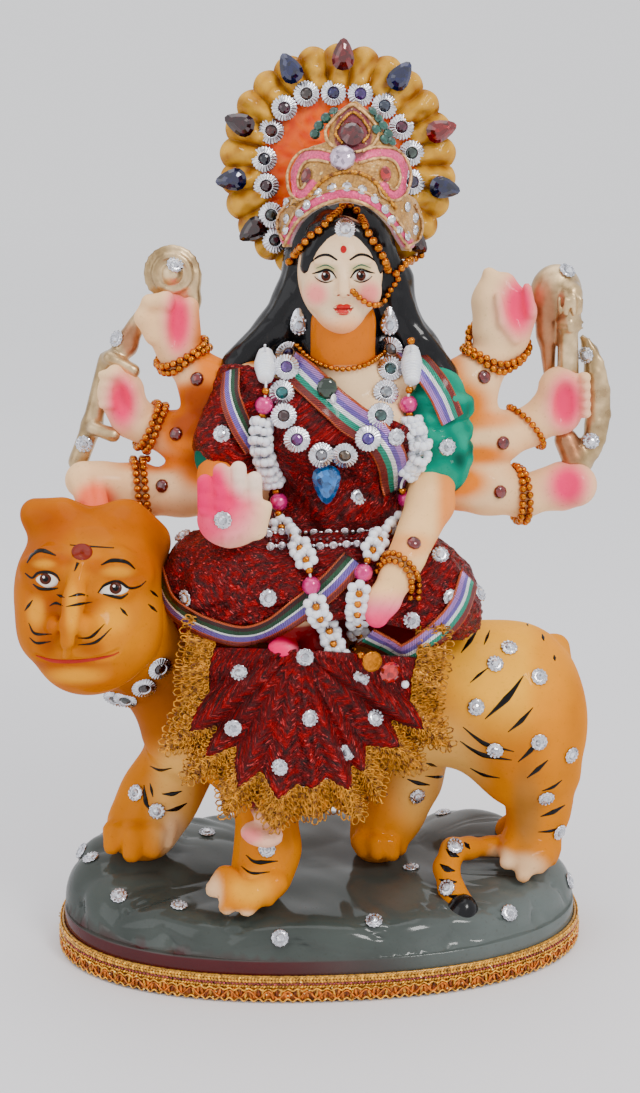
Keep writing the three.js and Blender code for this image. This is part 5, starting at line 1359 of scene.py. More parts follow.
def make_crown():
    rows, cols = 76, 128
    low, top = curve(CROWN_LOW, cols), curve(CROWN_TOP, cols)
    t = np.linspace(0, 1, rows)[:, None, None]
    grid = low[None] * (1 - t) + top[None] * t
    u, v = grid[..., 0], grid[..., 1]
    y = np.full(u.shape, -8.0)
    for _ in range(5):
        p = at(u, v, y)
        share = np.clip((p[..., 2] - 232) / 43, 0, 1)
        r = np.interp(share, CROWN_SIDES[:, 0], CROWN_SIDES[:, 1])
        dx = p[..., 0] - 8 - 3 * share
        y = 3 - 0.86 * np.sqrt(np.maximum(r * r - dx * dx, (0.3 * r) ** 2)) - 1.2
    dx_u, dx_v = np.gradient(p, axis=1), np.gradient(p, axis=0)
    n = unit(np.cross(dx_u, dx_v))
    n = n if n[..., 1].mean() < 0 else -n
    field = mixed((0.42, 0.2, 0.025), (0.6, 0.32, 0.06), 0.5 + 0.5 * wobble(p, 4, 31))
    pink, maroon = (0.78, 0.045, 0.2), (0.16, 0.004, 0.018)
    band = np.minimum(near_line(u, v, [(a, b - 7) for a, b in CROWN_LOW]), 99)
    left, right = near_line(u, v, CROWN_ARMS[0]), near_line(u, v, CROWN_ARMS[1])
    c = mixed(field, pink, 1 - step(np.minimum(band, np.minimum(left, right)), 4.2, 4.8))
    c = mixed(c, maroon, cloud(u, v, 353, 134, 19, 27, 0.1))
    p = p + n * (0.5 * np.exp(-(np.minimum(band, np.minimum(left, right)) / 4.5) ** 4))[..., None]
    p = p + n * (0.06 * wobble(p, 1.3, 32))[..., None]
    inner = p - n * 3.0 * (1 - 0.55 * t)
    body = Body()
    slab(body, p, inner, c)
    felt = Finish("crown_felt", Sheen_Weight=0.4, Metallic=0.25, Coat_Weight=0.1)
    grain = felt.noise(1500, 3)
    spark = felt.cells(1800, output="Color")
    colour = felt.mix(1.0, felt.attribute("paint"),
                      felt.ramp(grain, [(0.3, (0.55, 0.5, 0.45)), (0.7, (1.2, 1.15, 1.1))]),
                      "MULTIPLY")
    felt.set(Base_Color=felt.mix(felt.ranged(spark, 0.86, 0.97, 0, 0.8), colour, lin(1, 0.9, 0.7)),
             Roughness=felt.ranged(spark, 0.1, 0.9, 0.3, 0.6))
    felt.bump(grain, 0.5, 0.0004)
    return piece("crown_plaque", body, [felt.mat], ["crown"])


crown = make_crown()


def normals_of(forms, p):
    return slope(forms, p, 0.4)


# Red cloth over the torso and lap, each settled on its smooth form and then crinkled
CLOTH_THICK = 1.0


def cloth_sheet(forms, start, level, folds, seed, uv_scale):
    p = settle(forms, start, level, 14)
    n = normals_of(forms, p)
    rows, cols = p.shape[:2]
    crinkle = 0.22 * wobble(p, 3.2, seed) + 0.14 * wobble(p, 1.5, seed + 1)
    p = p + n * (folds(p) + crinkle)[..., None]
    inner = p - n * CLOTH_THICK
    g = np.linalg.norm(np.diff(p, axis=1), axis=-1)
    a = np.concatenate([np.zeros((rows, 1)), np.cumsum(g, 1)], 1)
    h = np.linalg.norm(np.diff(p, axis=0), axis=-1)
    b = np.concatenate([np.zeros((1, cols)), np.cumsum(h, 0)], 0)
    cloth = np.stack([a * uv_scale[0], b * uv_scale[1], np.full(a.shape, seed * 7.0)], -1)
    return p, inner, cloth


def make_wrap():
    u, v = np.meshgrid(np.linspace(0, 1, 118), np.linspace(0, 1, 86))
    z = 203 - 62 * v
    slant = np.minimum(72, -44 + ((203 - z) / 35) * 114)
    turn = np.radians(-105 + (slant + 105) * u)
    start = np.stack([4 + 36 * np.sin(turn), -1 - 24 * np.cos(turn), z - 9 * (1 - u) * (1 - v)], -1)

    def folds(p):
        s = p[..., 0] * 0.75 + p[..., 2] * 0.55
        deep = 0.8 * np.sin(s / 2.6 + 0.8 * wobble(p, 22, 41)) + 0.4 * np.sin(s / 1.3 + 2)
        return deep * step(-p[..., 1], 2, 10) * (0.5 + 0.5 * step(-p[..., 2], -185, -160))

    p, inner, cloth = cloth_sheet(TORSO, start, 2.9, folds, 42, (1, 1))
    body = Body()
    slab(body, p, inner, cloth=cloth)
    return piece("wrap_cloth", body, [LAME], ["sari_wrap"])


HEM = np.array([[-104, 125], [-80, 118], [-48, 112], [-18, 116], [8, 118], [28, 113], [50, 107],
                [80, 112], [100, 122]])


def make_lap():
    u, v = np.meshgrid(np.linspace(0, 1, 180), np.linspace(0, 1, 62))
    deg = -104 + 204 * u
    turn = np.radians(deg)
    low = np.interp(deg, HEM[:, 0], HEM[:, 1])
    reach = 0.45 + 0.65 * np.minimum(1, v * 1.6)
    start = np.stack([58 * reach * np.sin(turn), -8 - 36 * reach * np.cos(turn),
                      146 - (146 - low) * v], -1)

    def folds(p):
        x, z = p[..., 0], p[..., 2]
        left = np.sin((np.hypot(x + 20, z - 118) - 0.25 * x) / 2.3 + 0.9 * wobble(p, 18, 51))
        right = np.sin((x * 0.9 + z * 0.5) / 2.2 + wobble(p, 16, 52))
        deep = np.where(x < 5, left, right) * 0.75
        swirl = -1.3 * np.exp(-((z - 127 - 0.35 * (x + 30)) / 1.6) ** 2) * near(p, (-33, -30, 128),
                (16, 20, 12))
        return deep + swirl

    p, inner, cloth = cloth_sheet(LAP_CLOTH, start, -0.1, folds, 53, (1, 1))
    body = Body()
    slab(body, p, inner, cloth=cloth)
    return piece("lap_cloth", body, [LAME], ["sari_lap"])


make_wrap()
make_lap()

# Pleated fan: each tip and valley of its hem is an angle from straight down and a reach, in pixels
GATHER = (299, 650)
FAN = [(-92, 84, 0.2), (-78, 92, 0.9), (-66, 98, 0.1), (-53, 140, 1), (-47, 112, 0),
       (-41, 146, 0.8), (-33, 116, 0),
       (-24, 154, 1), (-17, 128, 0), (-8, 154, 0.9), (-1, 136, 0.1), (6, 141, 0.7), (12, 132, 0.1),
       (20, 153, 1), (24, 128, 0),
       (28, 141, 0.7), (35, 118, 0), (46, 143, 1), (52, 116, 0), (57, 152, 0.9), (66, 122, 0.1),
       (76, 116, 0.7), (86, 118, 0.2)]
FAN = np.array(FAN, float)


def fan_point(turn, share, lift=0.0):
    """A place on the fan: an angle, a share of the way to the hem (past 1 is lace), a lift in mm."""
    reach = np.interp(turn, FAN[:, 0], FAN[:, 1])
    ridge = np.interp(turn, FAN[:, 0], FAN[:, 2])
    ridge = 0.5 - 0.5 * np.cos(math.pi * ridge)
    r = np.where(share <= 1, reach * share, reach + (share - 1) * 100)
    a = np.radians(turn)
    side = np.sin(a)
    y = -41.5 + 6.5 * np.abs(side) ** 2 * np.minimum(share,
            1) - (0.5 + 3.4 * ridge) * np.minimum(share, 1.15) - lift
    return at(GATHER[0] + r * np.sin(a), GATHER[1] + r * np.cos(a) * 0.99, y)


def make_skirt():
    turn, share = np.meshgrid(np.linspace(-92, 86, 230), np.linspace(0.03, 1, 66))
    p = fan_point(turn, share)
    p[..., 1] -= 0.14 * wobble(p, 2.2, 61) + 0.16 * wobble(p, 5, 62)
    inner = p.copy()
    inner[..., 1] += CLOTH_THICK
    cloth = np.stack([np.radians(turn) * share * 40, share * 45, np.full(share.shape, 5.0)], -1)
    body = Body()
    slab(body, p, inner, cloth=cloth)
    return piece("skirt_cloth", body, [LAME], ["pleated_skirt"])


make_skirt()
LACE_GOLD = threads("lace_gold", (0.6, 0.25, 0.008), (0.15, 0.04, 0.002))


def make_lace():
    body = Body()
    turn, share = np.meshgrid(np.linspace(-108, 100, 320), np.linspace(1.01, 1.3, 14))
    ruffle = 1.3 * np.sin(np.radians(turn) * 26) * (share - 1) * 3.4
    p = fan_point(turn, share, ruffle)
    inner = p.copy()
    inner[..., 1] += 0.7
    slab(body, p, inner)
    for row, (s, pitch, size) in enumerate(((1.03, 1.5, 0.9), (1.09, 1.6, 1.3), (1.16, 1.8, 1.5),
                                            (1.23, 1.9, 1.6), (1.31, 2.2, 1.8))):
        a = np.linspace(-108, 100, 400)
        line = fan_point(a, np.full(400, s),
                         1.3 * np.sin(np.radians(a) * 26) * (s - 1) * 3.4 + 0.45)
        total = length(line)
        turns = int(total / pitch)
        k = turns * 8
        line = spread(line, k)
        along = unit(np.gradient(line, axis=0))
        across = unit(np.cross(along, (0, -1, 0)))
        phase = np.arange(k) * 2 * math.pi / 8
        wide = size * (1 + 0.25 * np.sin(np.arange(k) * 0.37 + row))
        loop = line + across * (np.sin(phase) * wide)[:,
                None] * 0.9 + along * (np.cos(phase) * wide)[:, None] * 0.75
        loop[:, 1] -= 0.3 * np.sin(phase + 0.8)
        ropes(body, loop, 0.27, 4)
    return piece("lace", body, [LACE_GOLD], ["skirt_lace"])


make_lace()

# Striped ribbons
COPPER, RED_BROWN = tuple(lin(0.75, 0.38, 0.15)), tuple(lin(0.3, 0.06, 0.05))
BOTTLE, WHITE_SILVER = (0.004, 0.06, 0.02), (0.95, 1.0, 1.0)
VIOLET, MAGENTA, FILM = (0.16, 0.1, 0.42), (0.42, 0.2, 0.55), (0.2, 0.015, 0.01)
DARK_RIBBON = striped("ribbon_dark", [(0.0, COPPER), (0.07, RED_BROWN), (0.24, BOTTLE),
                                      (0.42, WHITE_SILVER), (0.5, VIOLET),
                                      (0.74, COPPER), (0.8, FILM), (0.96, COPPER)])
LIGHT_RIBBON = striped("ribbon_light", [(0.0, COPPER), (0.08, MAGENTA), (0.26, VIOLET),
                                        (0.42, WHITE_SILVER), (0.56, tuple(GREEN)),
                                        (0.74, FILM), (0.95, COPPER)])


def ribbon(name, forms, level, pixels, width, mat, node, flip=False, thick=0.7):
    line = curve(pixels, 90)
    mid = softened(meet(forms, line[:, 0], line[:, 1], level), 3)
    n = slope(forms, mid, 0.4)
    t = unit(np.gradient(mid, axis=0))
    side = unit(np.cross(t, n)) * (-1 if flip else 1)
    across = np.linspace(-0.5, 0.5, 15)
    w = np.broadcast_to(width, len(mid))[:, None]
    p = mid[:, None] + side[:, None] * (across[None] * w)[..., None]
    p = settle(forms, p, level, 6)
    n = slope(forms, p, 0.4)
    far = np.concatenate([[0], np.cumsum(np.linalg.norm(np.diff(mid, axis=0), axis=1))])
    p = p + n * (0.12 * np.sin(far / 2.1)[:, None] * np.cos(across * 6)[None] + 0.1)[..., None]
    cloth = np.stack([np.broadcast_to(far[:, None], p.shape[:2]),
                      np.broadcast_to(across + 0.5, p.shape[:2]),
                      np.full(p.shape[:2], len(name))], -1)
    body = Body()
    slab(body, p, p - n * thick, cloth=cloth)
    return piece(name, body, [mat], [node])


for _row in (
        ("hem_ribbon_left", LAP_CLOTH, 1.2,
         [(157, 553), (160, 583), (171, 607), (198, 625), (237, 637), (268, 631), (300, 610),
          (330, 586), (354, 560)], 8.0, DARK_RIBBON, "ribbon_lap_left"),
        ("hem_ribbon_right", LAP_CLOTH, 1.2,
         [(366, 638), (385, 647), (406, 655), (440, 632), (461, 606), (470, 578)], 8.6,
         LIGHT_RIBBON, "ribbon_lap_right"),
        ("cross_ribbon", [*TORSO, SLEEVE], 4.2,
         [(288, 360), (322, 393), (346, 414), (378, 438), (393, 462), (396, 490)], 10.4,
         LIGHT_RIBBON, "ribbon_diagonal", False),
        ("shoulder_ribbon", [*TORSO, SLEEVE], 2.6, [(406, 350), (424, 368), (441, 392), (453, 420)],
         8.6, LIGHT_RIBBON, "ribbon_shoulder", True),
        ("side_ribbon", [*TORSO, SLEEVE], 4.2, [(230, 370), (230, 396), (240, 424), (254, 448)],
         7.0, DARK_RIBBON, "ribbon_side")):
    ribbon(*_row)

# Beads, discs and stones
BEAD = bead(8, 5)
FINE_BEAD = bead(10, 6)


def strung(body, path, radius, pitch=None, mat=0, colour=(1, 1, 1), shape=BEAD, squash=1.0):
    """Beads side by side along a path."""
    count = max(2, int(round(length(path) / (pitch or 1.96 * radius))) + 1)
    p = spread(path, count)
    if squash == 1.0:
        stamp(body, shape, p, None, radius, colour, mat)
    else:
        t = unit(np.gradient(p, axis=0))
        stamp(body, shape, p, frames(t, (0, -1, 0.01)), (radius, radius, radius * squash), colour,
              mat)
    return p


def ribbed_disc():
    """A silver cup with rays round its stone's seat, of radius 1."""
    ribs = 22

    def swell(turn, i):
        return 1 + (0.05 if i in (2, 3) else 0.0) * np.cos(turn * ribs)

    v, f = lathe([(0.9, 0), (1.0, 0.1), (1.0, 0.3), (0.93, 0.42), (0.56, 0.5), (0.5, 0.62),
                  (0.46, 0.4), (0.3, 0.38)], 66, swell)
    turn = np.arctan2(v[:, 1], v[:, 0])
    r = np.hypot(v[:, 0], v[:, 1])
    v[:, 2] += 0.1 * np.cos(turn * ribs) * ((r > 0.5) & (r < 1.06) & (v[:, 2] > 0.2))
    return v, f


def cut_stone(sides, table):
    """A faceted round stone of radius 1 and height 1."""
    return lathe([(0.8, 0), (1, 0.35), (0.78, 0.72), (table, 1)], sides)


def sticker_shape():
    """A clear stone ringed by twelve small ones, of radius 1: the setting, then the stones."""
    plate = lathe([(0.62, 0), (0.98, 0.06), (0.92, 0.2), (0.5, 0.26)], 24,
                  lambda turn, i: 1 + 0.06 * np.cos(turn * 12))
    centre = cut_stone(8, 0.3)
    centre = (centre[0] * [0.5, 0.5, 0.42] + [0, 0, 0.16], centre[1])
    small = bead(6, 4)
    turn = np.arange(12) * math.pi / 6
    body = Body()
    body.add(*centre, smooth=False)
    stamp(body, small, np.stack([0.78 * np.cos(turn), 0.78 * np.sin(turn), np.full(12, 0.2)], -1),
          None, (0.17, 0.17, 0.15))
    v = np.concatenate(body.v)
    tris = [f for f in body.f if f.shape[1] == 3]
    quads = [f for f in body.f if f.shape[1] == 4]
    return plate, (v, [np.concatenate(quads), np.concatenate(tris)])


DISC = ribbed_disc()
SETTING, STONES = sticker_shape()
ROUND_STONE = cut_stone(10, 0.5)
MILKY, PEARL = milky(), pearly()
everything = Ground(*MADE)


def discs(body, pixels, radius, tints, ground=everything, sink=0.1, lean=0.4):
    """Ribbed discs facing out, each with a stone."""
    p, n = ground.hits(pixels)
    n = unit(n * (1 - lean) + np.array([0, -1, 0.05]) * lean)
    p = p + n * sink
    stamp(body, DISC, p, frames(n), (radius, radius, radius * 0.5), mat=0)
    stamp(body, ROUND_STONE, p + n * radius * 0.18, frames(n),
          (radius * 0.44, radius * 0.44, radius * 0.22),
          np.array([lin(*t) for t in tints])[:len(p)], 1, False)
    return p, n


def pear_stone(body, middle, point, out, long, wide, tall, colour, mat=0):
    """A faceted drop whose point lies along a direction."""
    out, point = unit(np.array(out, float)), np.array(point, float)
    along = unit(point - out * (point @ out))
    side = np.cross(along, out)
    turn = np.arange(14) * 2 * math.pi / 14
    x = np.sin(turn) * (1 - 0.32 * np.cos(turn)) * wide / 2
    y = np.cos(turn) * np.where(np.cos(turn) > 0, 1, 0.78) * long / 1.78
    v = np.concatenate([middle + side * (x * k)[:, None] + along * (y * k)[:, None]
                        + out * (h * tall)
                        for k, h in ((1, 0), (1, 0.35), (0.72, 0.75), (0.42, 1))])
    s = np.arange(14)
    t = (s + 1) % 14
    quads = np.concatenate([np.stack([s, t, t + 14, s + 14], -1) + 14 * a for a in range(3)])
    faces = [quads, np.arange(42, 56)[None], np.arange(13, -1, -1)[None]]
    if np.cross(v[1] - v[0], v[14] - v[0]) @ (v[0] - middle) < 0:
        faces = [f[:, ::-1] for f in faces]
    body.add(v, faces, colour, mat, False)


def node_middle(name):
    a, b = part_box(name)
    return np.array((a + b) / 2) / MM


# Halo stones
HALO_DISCS = [(275, 240), (271, 215), (266, 186), (264, 159), (271, 131), (284, 108), (306, 94),
              (333, 93), (360, 94),
              (384, 106), (401, 127), (411, 153), (412, 182)]
HALO_TINTS = [(0.1, 0.1, 0.12), (0.12, 0.2, 0.18), (0.3, 0.05, 0.15), (0.06, 0.08, 0.2),
              (0.35, 0.12, 0.08), (0.35, 0.05, 0.22),
              (0.35, 0.3, 0.28), (0.15, 0.12, 0.4), (0.32, 0.15, 0.5), (0.25, 0.3, 0.38),
              (0.4, 0.08, 0.25), (0.3, 0.36, 0.32),
              (0.32, 0.28, 0.4)]
halo_ground = Ground(*named("halo"))
body = Body()
discs(body, HALO_DISCS, 4.1, HALO_TINTS, halo_ground, 0.9, 0.95)
piece("halo_discs", body, [SILVER_METAL, GLASS], ["halo_stone_chain"])
JEWEL_TINTS = [(0.24, 0.02, 0.04), (0.02, 0.06, 0.3), (0.26, 0.02, 0.1), (0.02, 0.12, 0.36),
               (0.5, 0.02, 0.04),
               (0.02, 0.12, 0.36), (0.58, 0.02, 0.03), (0.02, 0.1, 0.32), (0.26, 0.02, 0.04)]
for _i in range(9):
    _name = f"halo_jewel_{_i + 1}"
    _lo, _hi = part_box(_name)
    _c = node_middle(_name)
    _out = _c - HALO
    _out[1] = 0
    body = Body()
    _at = np.array([_c[0], float(_hi[1]) / MM - 0.1, _c[2]]) - unit(_out) * 0.3
    pear_stone(body, _at, _out, (0, -1, 0), 10, 6.8, 2.6, lin(*JEWEL_TINTS[_i]))
    piece(f"jewel_{_i + 1}", body, [GLASS], [_name])

# Crown trim
on_crown = Ground(crown)
def beside(line, off):
    """A line of pixels moved to one side."""
    p = curve(line, 50)
    t = unit(np.gradient(p, axis=0))
    return p + np.stack([t[:, 1], -t[:, 0]], -1) * off


PIPING = threads("crown_piping_thread", (0.62, 0.36, 0.14), (0.3, 0.14, 0.04))
BEIGE_LINES = [([(a, b - 1.5) for a, b in CROWN_LOW], 0.55),
               ([(a, b - 12.6) for a, b in CROWN_LOW], 0.5),
               *[(beside(_arm, _off), 0.5) for _arm in CROWN_ARMS for _off in (-5.4, 5.4)],
               ([(338, 150), (328, 142), (326, 131), (337, 117), (353, 104)], 0.6),
               ([(353, 104), (369, 118), (378, 133), (373, 145), (362, 152)], 0.6),
               ([(284, 240), (278, 228), (280, 214), (290, 203)], 0.5),
               ([(406, 247), (419, 238), (422, 222), (414, 205)], 0.5)]
ROPE_LINES = [([(307, 199), (325, 179), (348, 172), (371, 179), (396, 209)], 0.6),
              ([(343, 144), (336, 134), (343, 121), (353, 113), (364, 122), (369, 134), (362, 143)],
               0.5)]
body = Body()
for _line, _r in BEIGE_LINES:
    _p, _n = laid(on_crown, _line, 0.3, 80, 2)
    ropes(body, _p, _r, 7)
for _line, _r in ROPE_LINES:
    _p, _n = laid(on_crown, _line, 0.35, 90, 2)
    ropes(body, _p, _r * (1 + 0.35 * np.sin(np.arange(90) * 2.1)), 6, mat=1)
piece("crown_piping", body, [PIPING, LACE_GOLD])
CROWN_STONES = [(286, 230), (287, 219), (300, 214), (307, 205), (318, 193), (332, 188), (347, 187),
                (362, 190), (375, 199), (385, 209),
                (391, 220), (398, 230), (407, 236), (415, 230), (415, 218), (407, 207), (287, 203)]
TEAL_STONES = [(372, 112), (378, 119), (383, 126), (388, 134), (391, 142), (376, 130), (384, 140),
               (334, 112), (326, 118), (319, 126), (315, 134)]
body = Body()
_p, _n = on_crown.hits(CROWN_STONES)
stamp(body, DISC, _p + _n * 0.1, frames(_n), (1.5, 1.5, 0.9), mat=0)
stamp(body, ROUND_STONE, _p + _n * 0.3, frames(_n), (0.95, 0.95, 0.75), lin(0.9, 0.9, 0.92), 1,
      False)
_p, _n = on_crown.hits(TEAL_STONES)
stamp(body, ROUND_STONE, _p + _n * 0.1, frames(_n), (1.7, 1.7, 1.1), lin(0.05, 0.42, 0.36), 1,
      False)
_p, _n = on_crown.hits([(352, 135), (307, 176), (385, 174)])
stamp(body, cut_stone(12, 0.45), _p + _n * 0.2, frames(_n),
      [(3.6, 4.4, 2.0), (1.9, 2.6, 1.2), (2.0, 2.4, 1.2)],
      [lin(0.45, 0.02, 0.08), lin(0.5, 0.03, 0.06), lin(0.75, 0.05, 0.08)], 1, False)
piece("crown_stones", body, [SILVER_METAL, CLEAR])
body = Body()
_p, _n = on_crown.hits([(342.5, 158)])
stamp(body, FINE_BEAD, _p + _n * 0.3, frames(_n), (4.2, 4.2, 2.6), lin(0.85, 0.78, 0.86))
piece("crown_pearl", body, [CLEAR])

# Face strings
body = Body()
_p, _n = laid(everything, [(300, 345), (308, 355), (318, 362), (335, 368), (350, 368), (365, 364),
                           (377, 356), (385, 348)], 0.9, 80)
strung(body, _p, 0.95)
piece("choker_beads", body, [GOLD_METAL], ["choker"])
body = Body()
FOREHEAD = [(292, 262), (299, 253), (306, 246), (312, 238), (322, 231), (330, 222), (338, 215),
            (345, 206), (355, 212), (360, 221),
            (364, 230), (369, 239), (375, 247), (380, 256), (384, 265), (389, 272), (395, 274)]
_p, _n = laid(everything, FOREHEAD, 1.1, 110, 4)
strung(body, _p, 1.4)
_p, _n = laid(everything, [(395, 274), (404, 265), (411, 258), (418, 253)], 1.4, 40, 3)
strung(body, _p, 1.3)
_p, _n = everything.hits([(345, 229)])
_flat = unit(_n * 0.4 + np.array([0, -0.6, 0.1]))
stamp(body, DISC, _p + _flat * 0.2, frames(_flat), (3.2, 3.2, 1.5), mat=1)
stamp(body, ROUND_STONE, _p + _flat * 0.8, frames(_flat), (1.9, 1.9, 1.5), lin(0.92, 0.92, 0.95), 2,
      False)
piece("forehead_beads", body, [GOLD_METAL, SILVER_METAL, CLEAR], ["forehead_chain"])
body = Body()
_p, _n = laid(everything, [(351, 291), (358, 296), (370, 303), (383, 301), (390, 291), (397, 279)],
              1.1, 60, 4)
strung(body, _p, 1.05)
piece("nose_beads", body, [GOLD_METAL], ["nose_chain"])
for _name, _u in (("left", 299), ("right", 389)):
    body = Body()
    _p, _n = everything.hits([(_u, 322)])
    pear_stone(body, _p[0] + [0, -0.6, 0], (0, 0, 1), (0, -1, 0.1), 9, 5.6, 1.6,
               lin(0.9, 0.9, 0.92), 0)
    _t = np.arange(12) * math.pi / 6
    _ring = _p[0] + np.stack([2.4 * np.sin(_t), np.full(12, -1.6), -0.8 + 2.9 * np.cos(_t)], -1)
    stamp(body, BEAD, _ring, None, 0.55, mat=0)
    stamp(body, ROUND_STONE, _p + [0, -2.0, -0.9], frames([[0, -1, 0.1]]), (1.5, 1.7, 0.9),
          lin(0.8, 0.82, 0.86), 1, False)
    piece(f"earring_{_name}_drop", body, [SILVER_METAL, CLEAR],
          [f"earring_{_name}"])

# Necklace of discs, its pendant and the oval stone
NECKLACE = [(286, 350), (286, 368), (282, 393), (284, 417), (297, 439), (320, 454), (345, 454),
            (368, 438), (380, 416), (385, 393),
            (390, 370), (393, 347)]
NECK_TINTS = [(0.25, 0.15, 0.4), (0.4, 0.25, 0.55), (0.1, 0.5, 0.5), (0.3, 0.05, 0.08),
              (0.45, 0.12, 0.5), (0.5, 0.5, 0.52), (0.4, 0.32, 0.22),
              (0.35, 0.22, 0.6), (0.25, 0.4, 0.38), (0.6, 0.62, 0.64), (0.05, 0.35, 0.35),
              (0.6, 0.62, 0.64)]
body = Body()
discs(body, NECKLACE, 4.1, NECK_TINTS, everything, 0.9, 0.5)
piece("necklace_discs", body, [SILVER_METAL, GLASS], ["disc_necklace"])
body = Body()
_p, _n = everything.hits([(326, 481)])
pear_stone(body, _p[0] + [0, -0.9, 0], (0, 0, -1), (0, -1, 0.1), 12.5, 8.6, 3.2,
           lin(0.02, 0.5, 0.75))
piece("pendant_drop", body, [GLASS], ["pendant"])
body = Body()
_p, _n = everything.hits([(327, 388), (333, 398)])
stamp(body, FINE_BEAD, _p[:1] + [0, -1.0, 0], frames([[0, -1, 0]]), (3.4, 3.7, 1.6),
      lin(0.03, 0.25, 0.12))
stamp(body, ROUND_STONE, _p[1:] + [0, -1.8, 0], frames([[0.3, -1, 0]]), (1.0, 1.7, 1.0),
      lin(0.9, 0.9, 0.92), 0, False)
piece("green_stone", body, [GLASS], ["oval_stone"])

# Belt of two rows of small stones
body = Body()
for _line in ([(268, 535), (292, 532), (320, 532), (348, 531), (372, 532)],
              [(270, 547), (292, 546), (320, 547), (348, 545), (370, 545)]):
    _p, _n = laid(everything, _line, 0.5, 60, 4)
    _q = spread(_p, 9)
    stamp(body, lathe([(0.8, 0), (1, 0.3), (0.9, 0.8), (0.7, 0.9)], 12), _q,
          frames([[0, -1, 0]] * 9), (1.45, 1.45, 1.0), mat=0)
    stamp(body, ROUND_STONE, _q + [0, -0.5, 0], frames([[0, -1, 0]] * 9), (1.1, 1.1, 0.9),
          lin(0.85, 0.8, 0.82), 1, False)
    _q = (_q[1:] + _q[:-1]) / 2
    stamp(body, BEAD, _q, None, 0.75, mat=0)
_p, _n = laid(everything, [(270, 541), (320, 540), (370, 539)], 0.4, 60, 4)
stamp(body, ROUND_STONE, spread(_p, 17), frames([[0, -1, 0]] * 17), (0.65, 0.65, 0.8),
      lin(0.45, 0.05, 0.15), 2, False)
piece("belt_stones", body, [SILVER_METAL, CLEAR, GLASS], ["stone_belt"])


# Garlands: matte tube, pearls, lobed white clusters and flowers with gold middles
def cluster(body, p, t, radius, lobes, seed):
    """A ring of white lobes round the string."""
    side = unit(np.cross(t, (0, -1, 0.01)))
    up = np.cross(side, t)
    turn = np.arange(lobes) * 2 * math.pi / lobes + seed * 1.7
    c = p + radius * 0.66 * (side * np.cos(turn)[:, None]
                             + up * np.sin(turn)[:, None]) + t * (0.35 * np.cos(3 * turn))[:, None]
    stamp(body, BEAD, c, None, radius * (0.38 + 0.04 * np.sin(turn * 3 + seed))[:, None]
          * np.ones(3), mat=0)


def garland(name, node, stops):
    line = [s[:2] for s in stops]
    hung = Ground(*named("goddess_body", "goddess_head", "wrap_cloth", "lap_cloth", "sleeve_right",
                         "resting_arm", "cross_ribbon"))
    path, _ = laid(hung, line, 3.0, 400, 40)
    for _ in range(3):
        path = softened(path, 20)
    uv = np.stack(seen(path), -1)
    body = Body()
    for i, (u, v, kind) in enumerate(stops):
        j = int(np.argmin(((uv - (u, v)) ** 2).sum(-1)))
        p = path[j]
        t = unit(path[min(j + 3, 399)] - path[max(j - 3, 0)])
        if kind == "tube":
            for k in range(-6, 7):
                w = 3.65 * (1 - 0.03 * abs(k) ** 1.3)
                stamp(body, FINE_BEAD, p + t * k * 1.02, frames([t], (0, -1, 0)), (w, w, 1.0),
                      mat=0)
        elif kind == "gold":
            stamp(body, BEAD, p, None, 1.35, mat=1)
        elif kind == "pearl":
            stamp(body, FINE_BEAD, p, None, 2.95, mat=2)
        elif kind == "lobes":
            cluster(body, p, t, 4.0, 9, i)
        elif kind == "flower":
            side = unit(np.cross(t, (0, -1, 0)))
            turn = np.arange(6) * math.pi / 3 + i
            c = p + 2.5 * (t * np.cos(turn)[:, None] * 1.05 + side * np.sin(turn)[:, None])
            stamp(body, FINE_BEAD, c, None, (1.6, 1.5, 1.6), mat=0)
            stamp(body, BEAD, p + [0, -1.5, 0], None, 1.25, mat=1)
    ropes(body, path, 0.4, 5, mat=0)
    return piece(name, body, [MILKY, GOLD_METAL, PEARL], [node])


def between_stops(a, b, count, kind):
    return [(a[0] + (b[0] - a[0]) * k, a[1] + (b[1] - a[1]) * k, kind)
            for k in np.linspace(0, 1, count)]


garland("garland_left_beads", "garland_left",
        [(265, 345, "none"), (264, 366, "tube"), (263, 391, "gold"), (263, 405, "pearl"),
         (262, 415, "gold"),
         *between_stops((261, 422), (278, 481), 8, "lobes"), (278, 491, "gold"),
         (281, 502, "pearl"), (283, 513, "gold"),
         *between_stops((286, 524), (303, 560), 4, "flower"), (308, 571, "gold"),
         (308, 586, "pearl"), (310, 597, "gold"),
         *between_stops((314, 606), (334, 656), 5, "flower")])
garland("garland_right_beads", "garland_right",
        [(411, 341, "gold"), (411, 365, "tube"), (411, 390, "gold"), (413, 404, "pearl"),
         (414, 414, "gold"),
         *between_stops((415, 421), (413, 478), 8, "lobes"), (409, 488, "gold"),
         (404, 500, "pearl"), (400, 510, "gold"),
         *between_stops((395, 520), (374, 550), 4, "flower"), (366, 560, "gold"),
         (362, 572, "pearl"), (359, 583, "gold"),
         *between_stops((356, 592), (358, 634), 5, "flower")])
body = Body()
_p, _n = laid(everything, [(352, 652), (362, 657), (372, 662), (382, 667)], 1.8, 20, 3)
stamp(body, BEAD, _p[[0, 5]], None, 1.4)
stamp(body, BEAD, _p[[0]] + [1.5, 0, 2.5], None, 1.4)
_t = unit(_p[-1] - _p[0])
_v, _f = lathe([(0.25, 0), (0.45, 0.06), (0.5, 0.3), (0.75, 0.7), (1.0, 1.0), (0.7, 0.95)], 36,
               lambda turn, i: 1 + 0.12 * np.abs(np.cos(turn * 6)))
stamp(body, (_v, _f), _p[7:8], frames([_t], (0, -1, 0)), (3.0, 3.0, 6.0))
piece("tassel_cap", body, [GOLD_METAL], ["garland_tassel"])

# Bracelets: rings of beads settled round the wrists
WRISTS = [*BACK_ARMS, *HANDS]
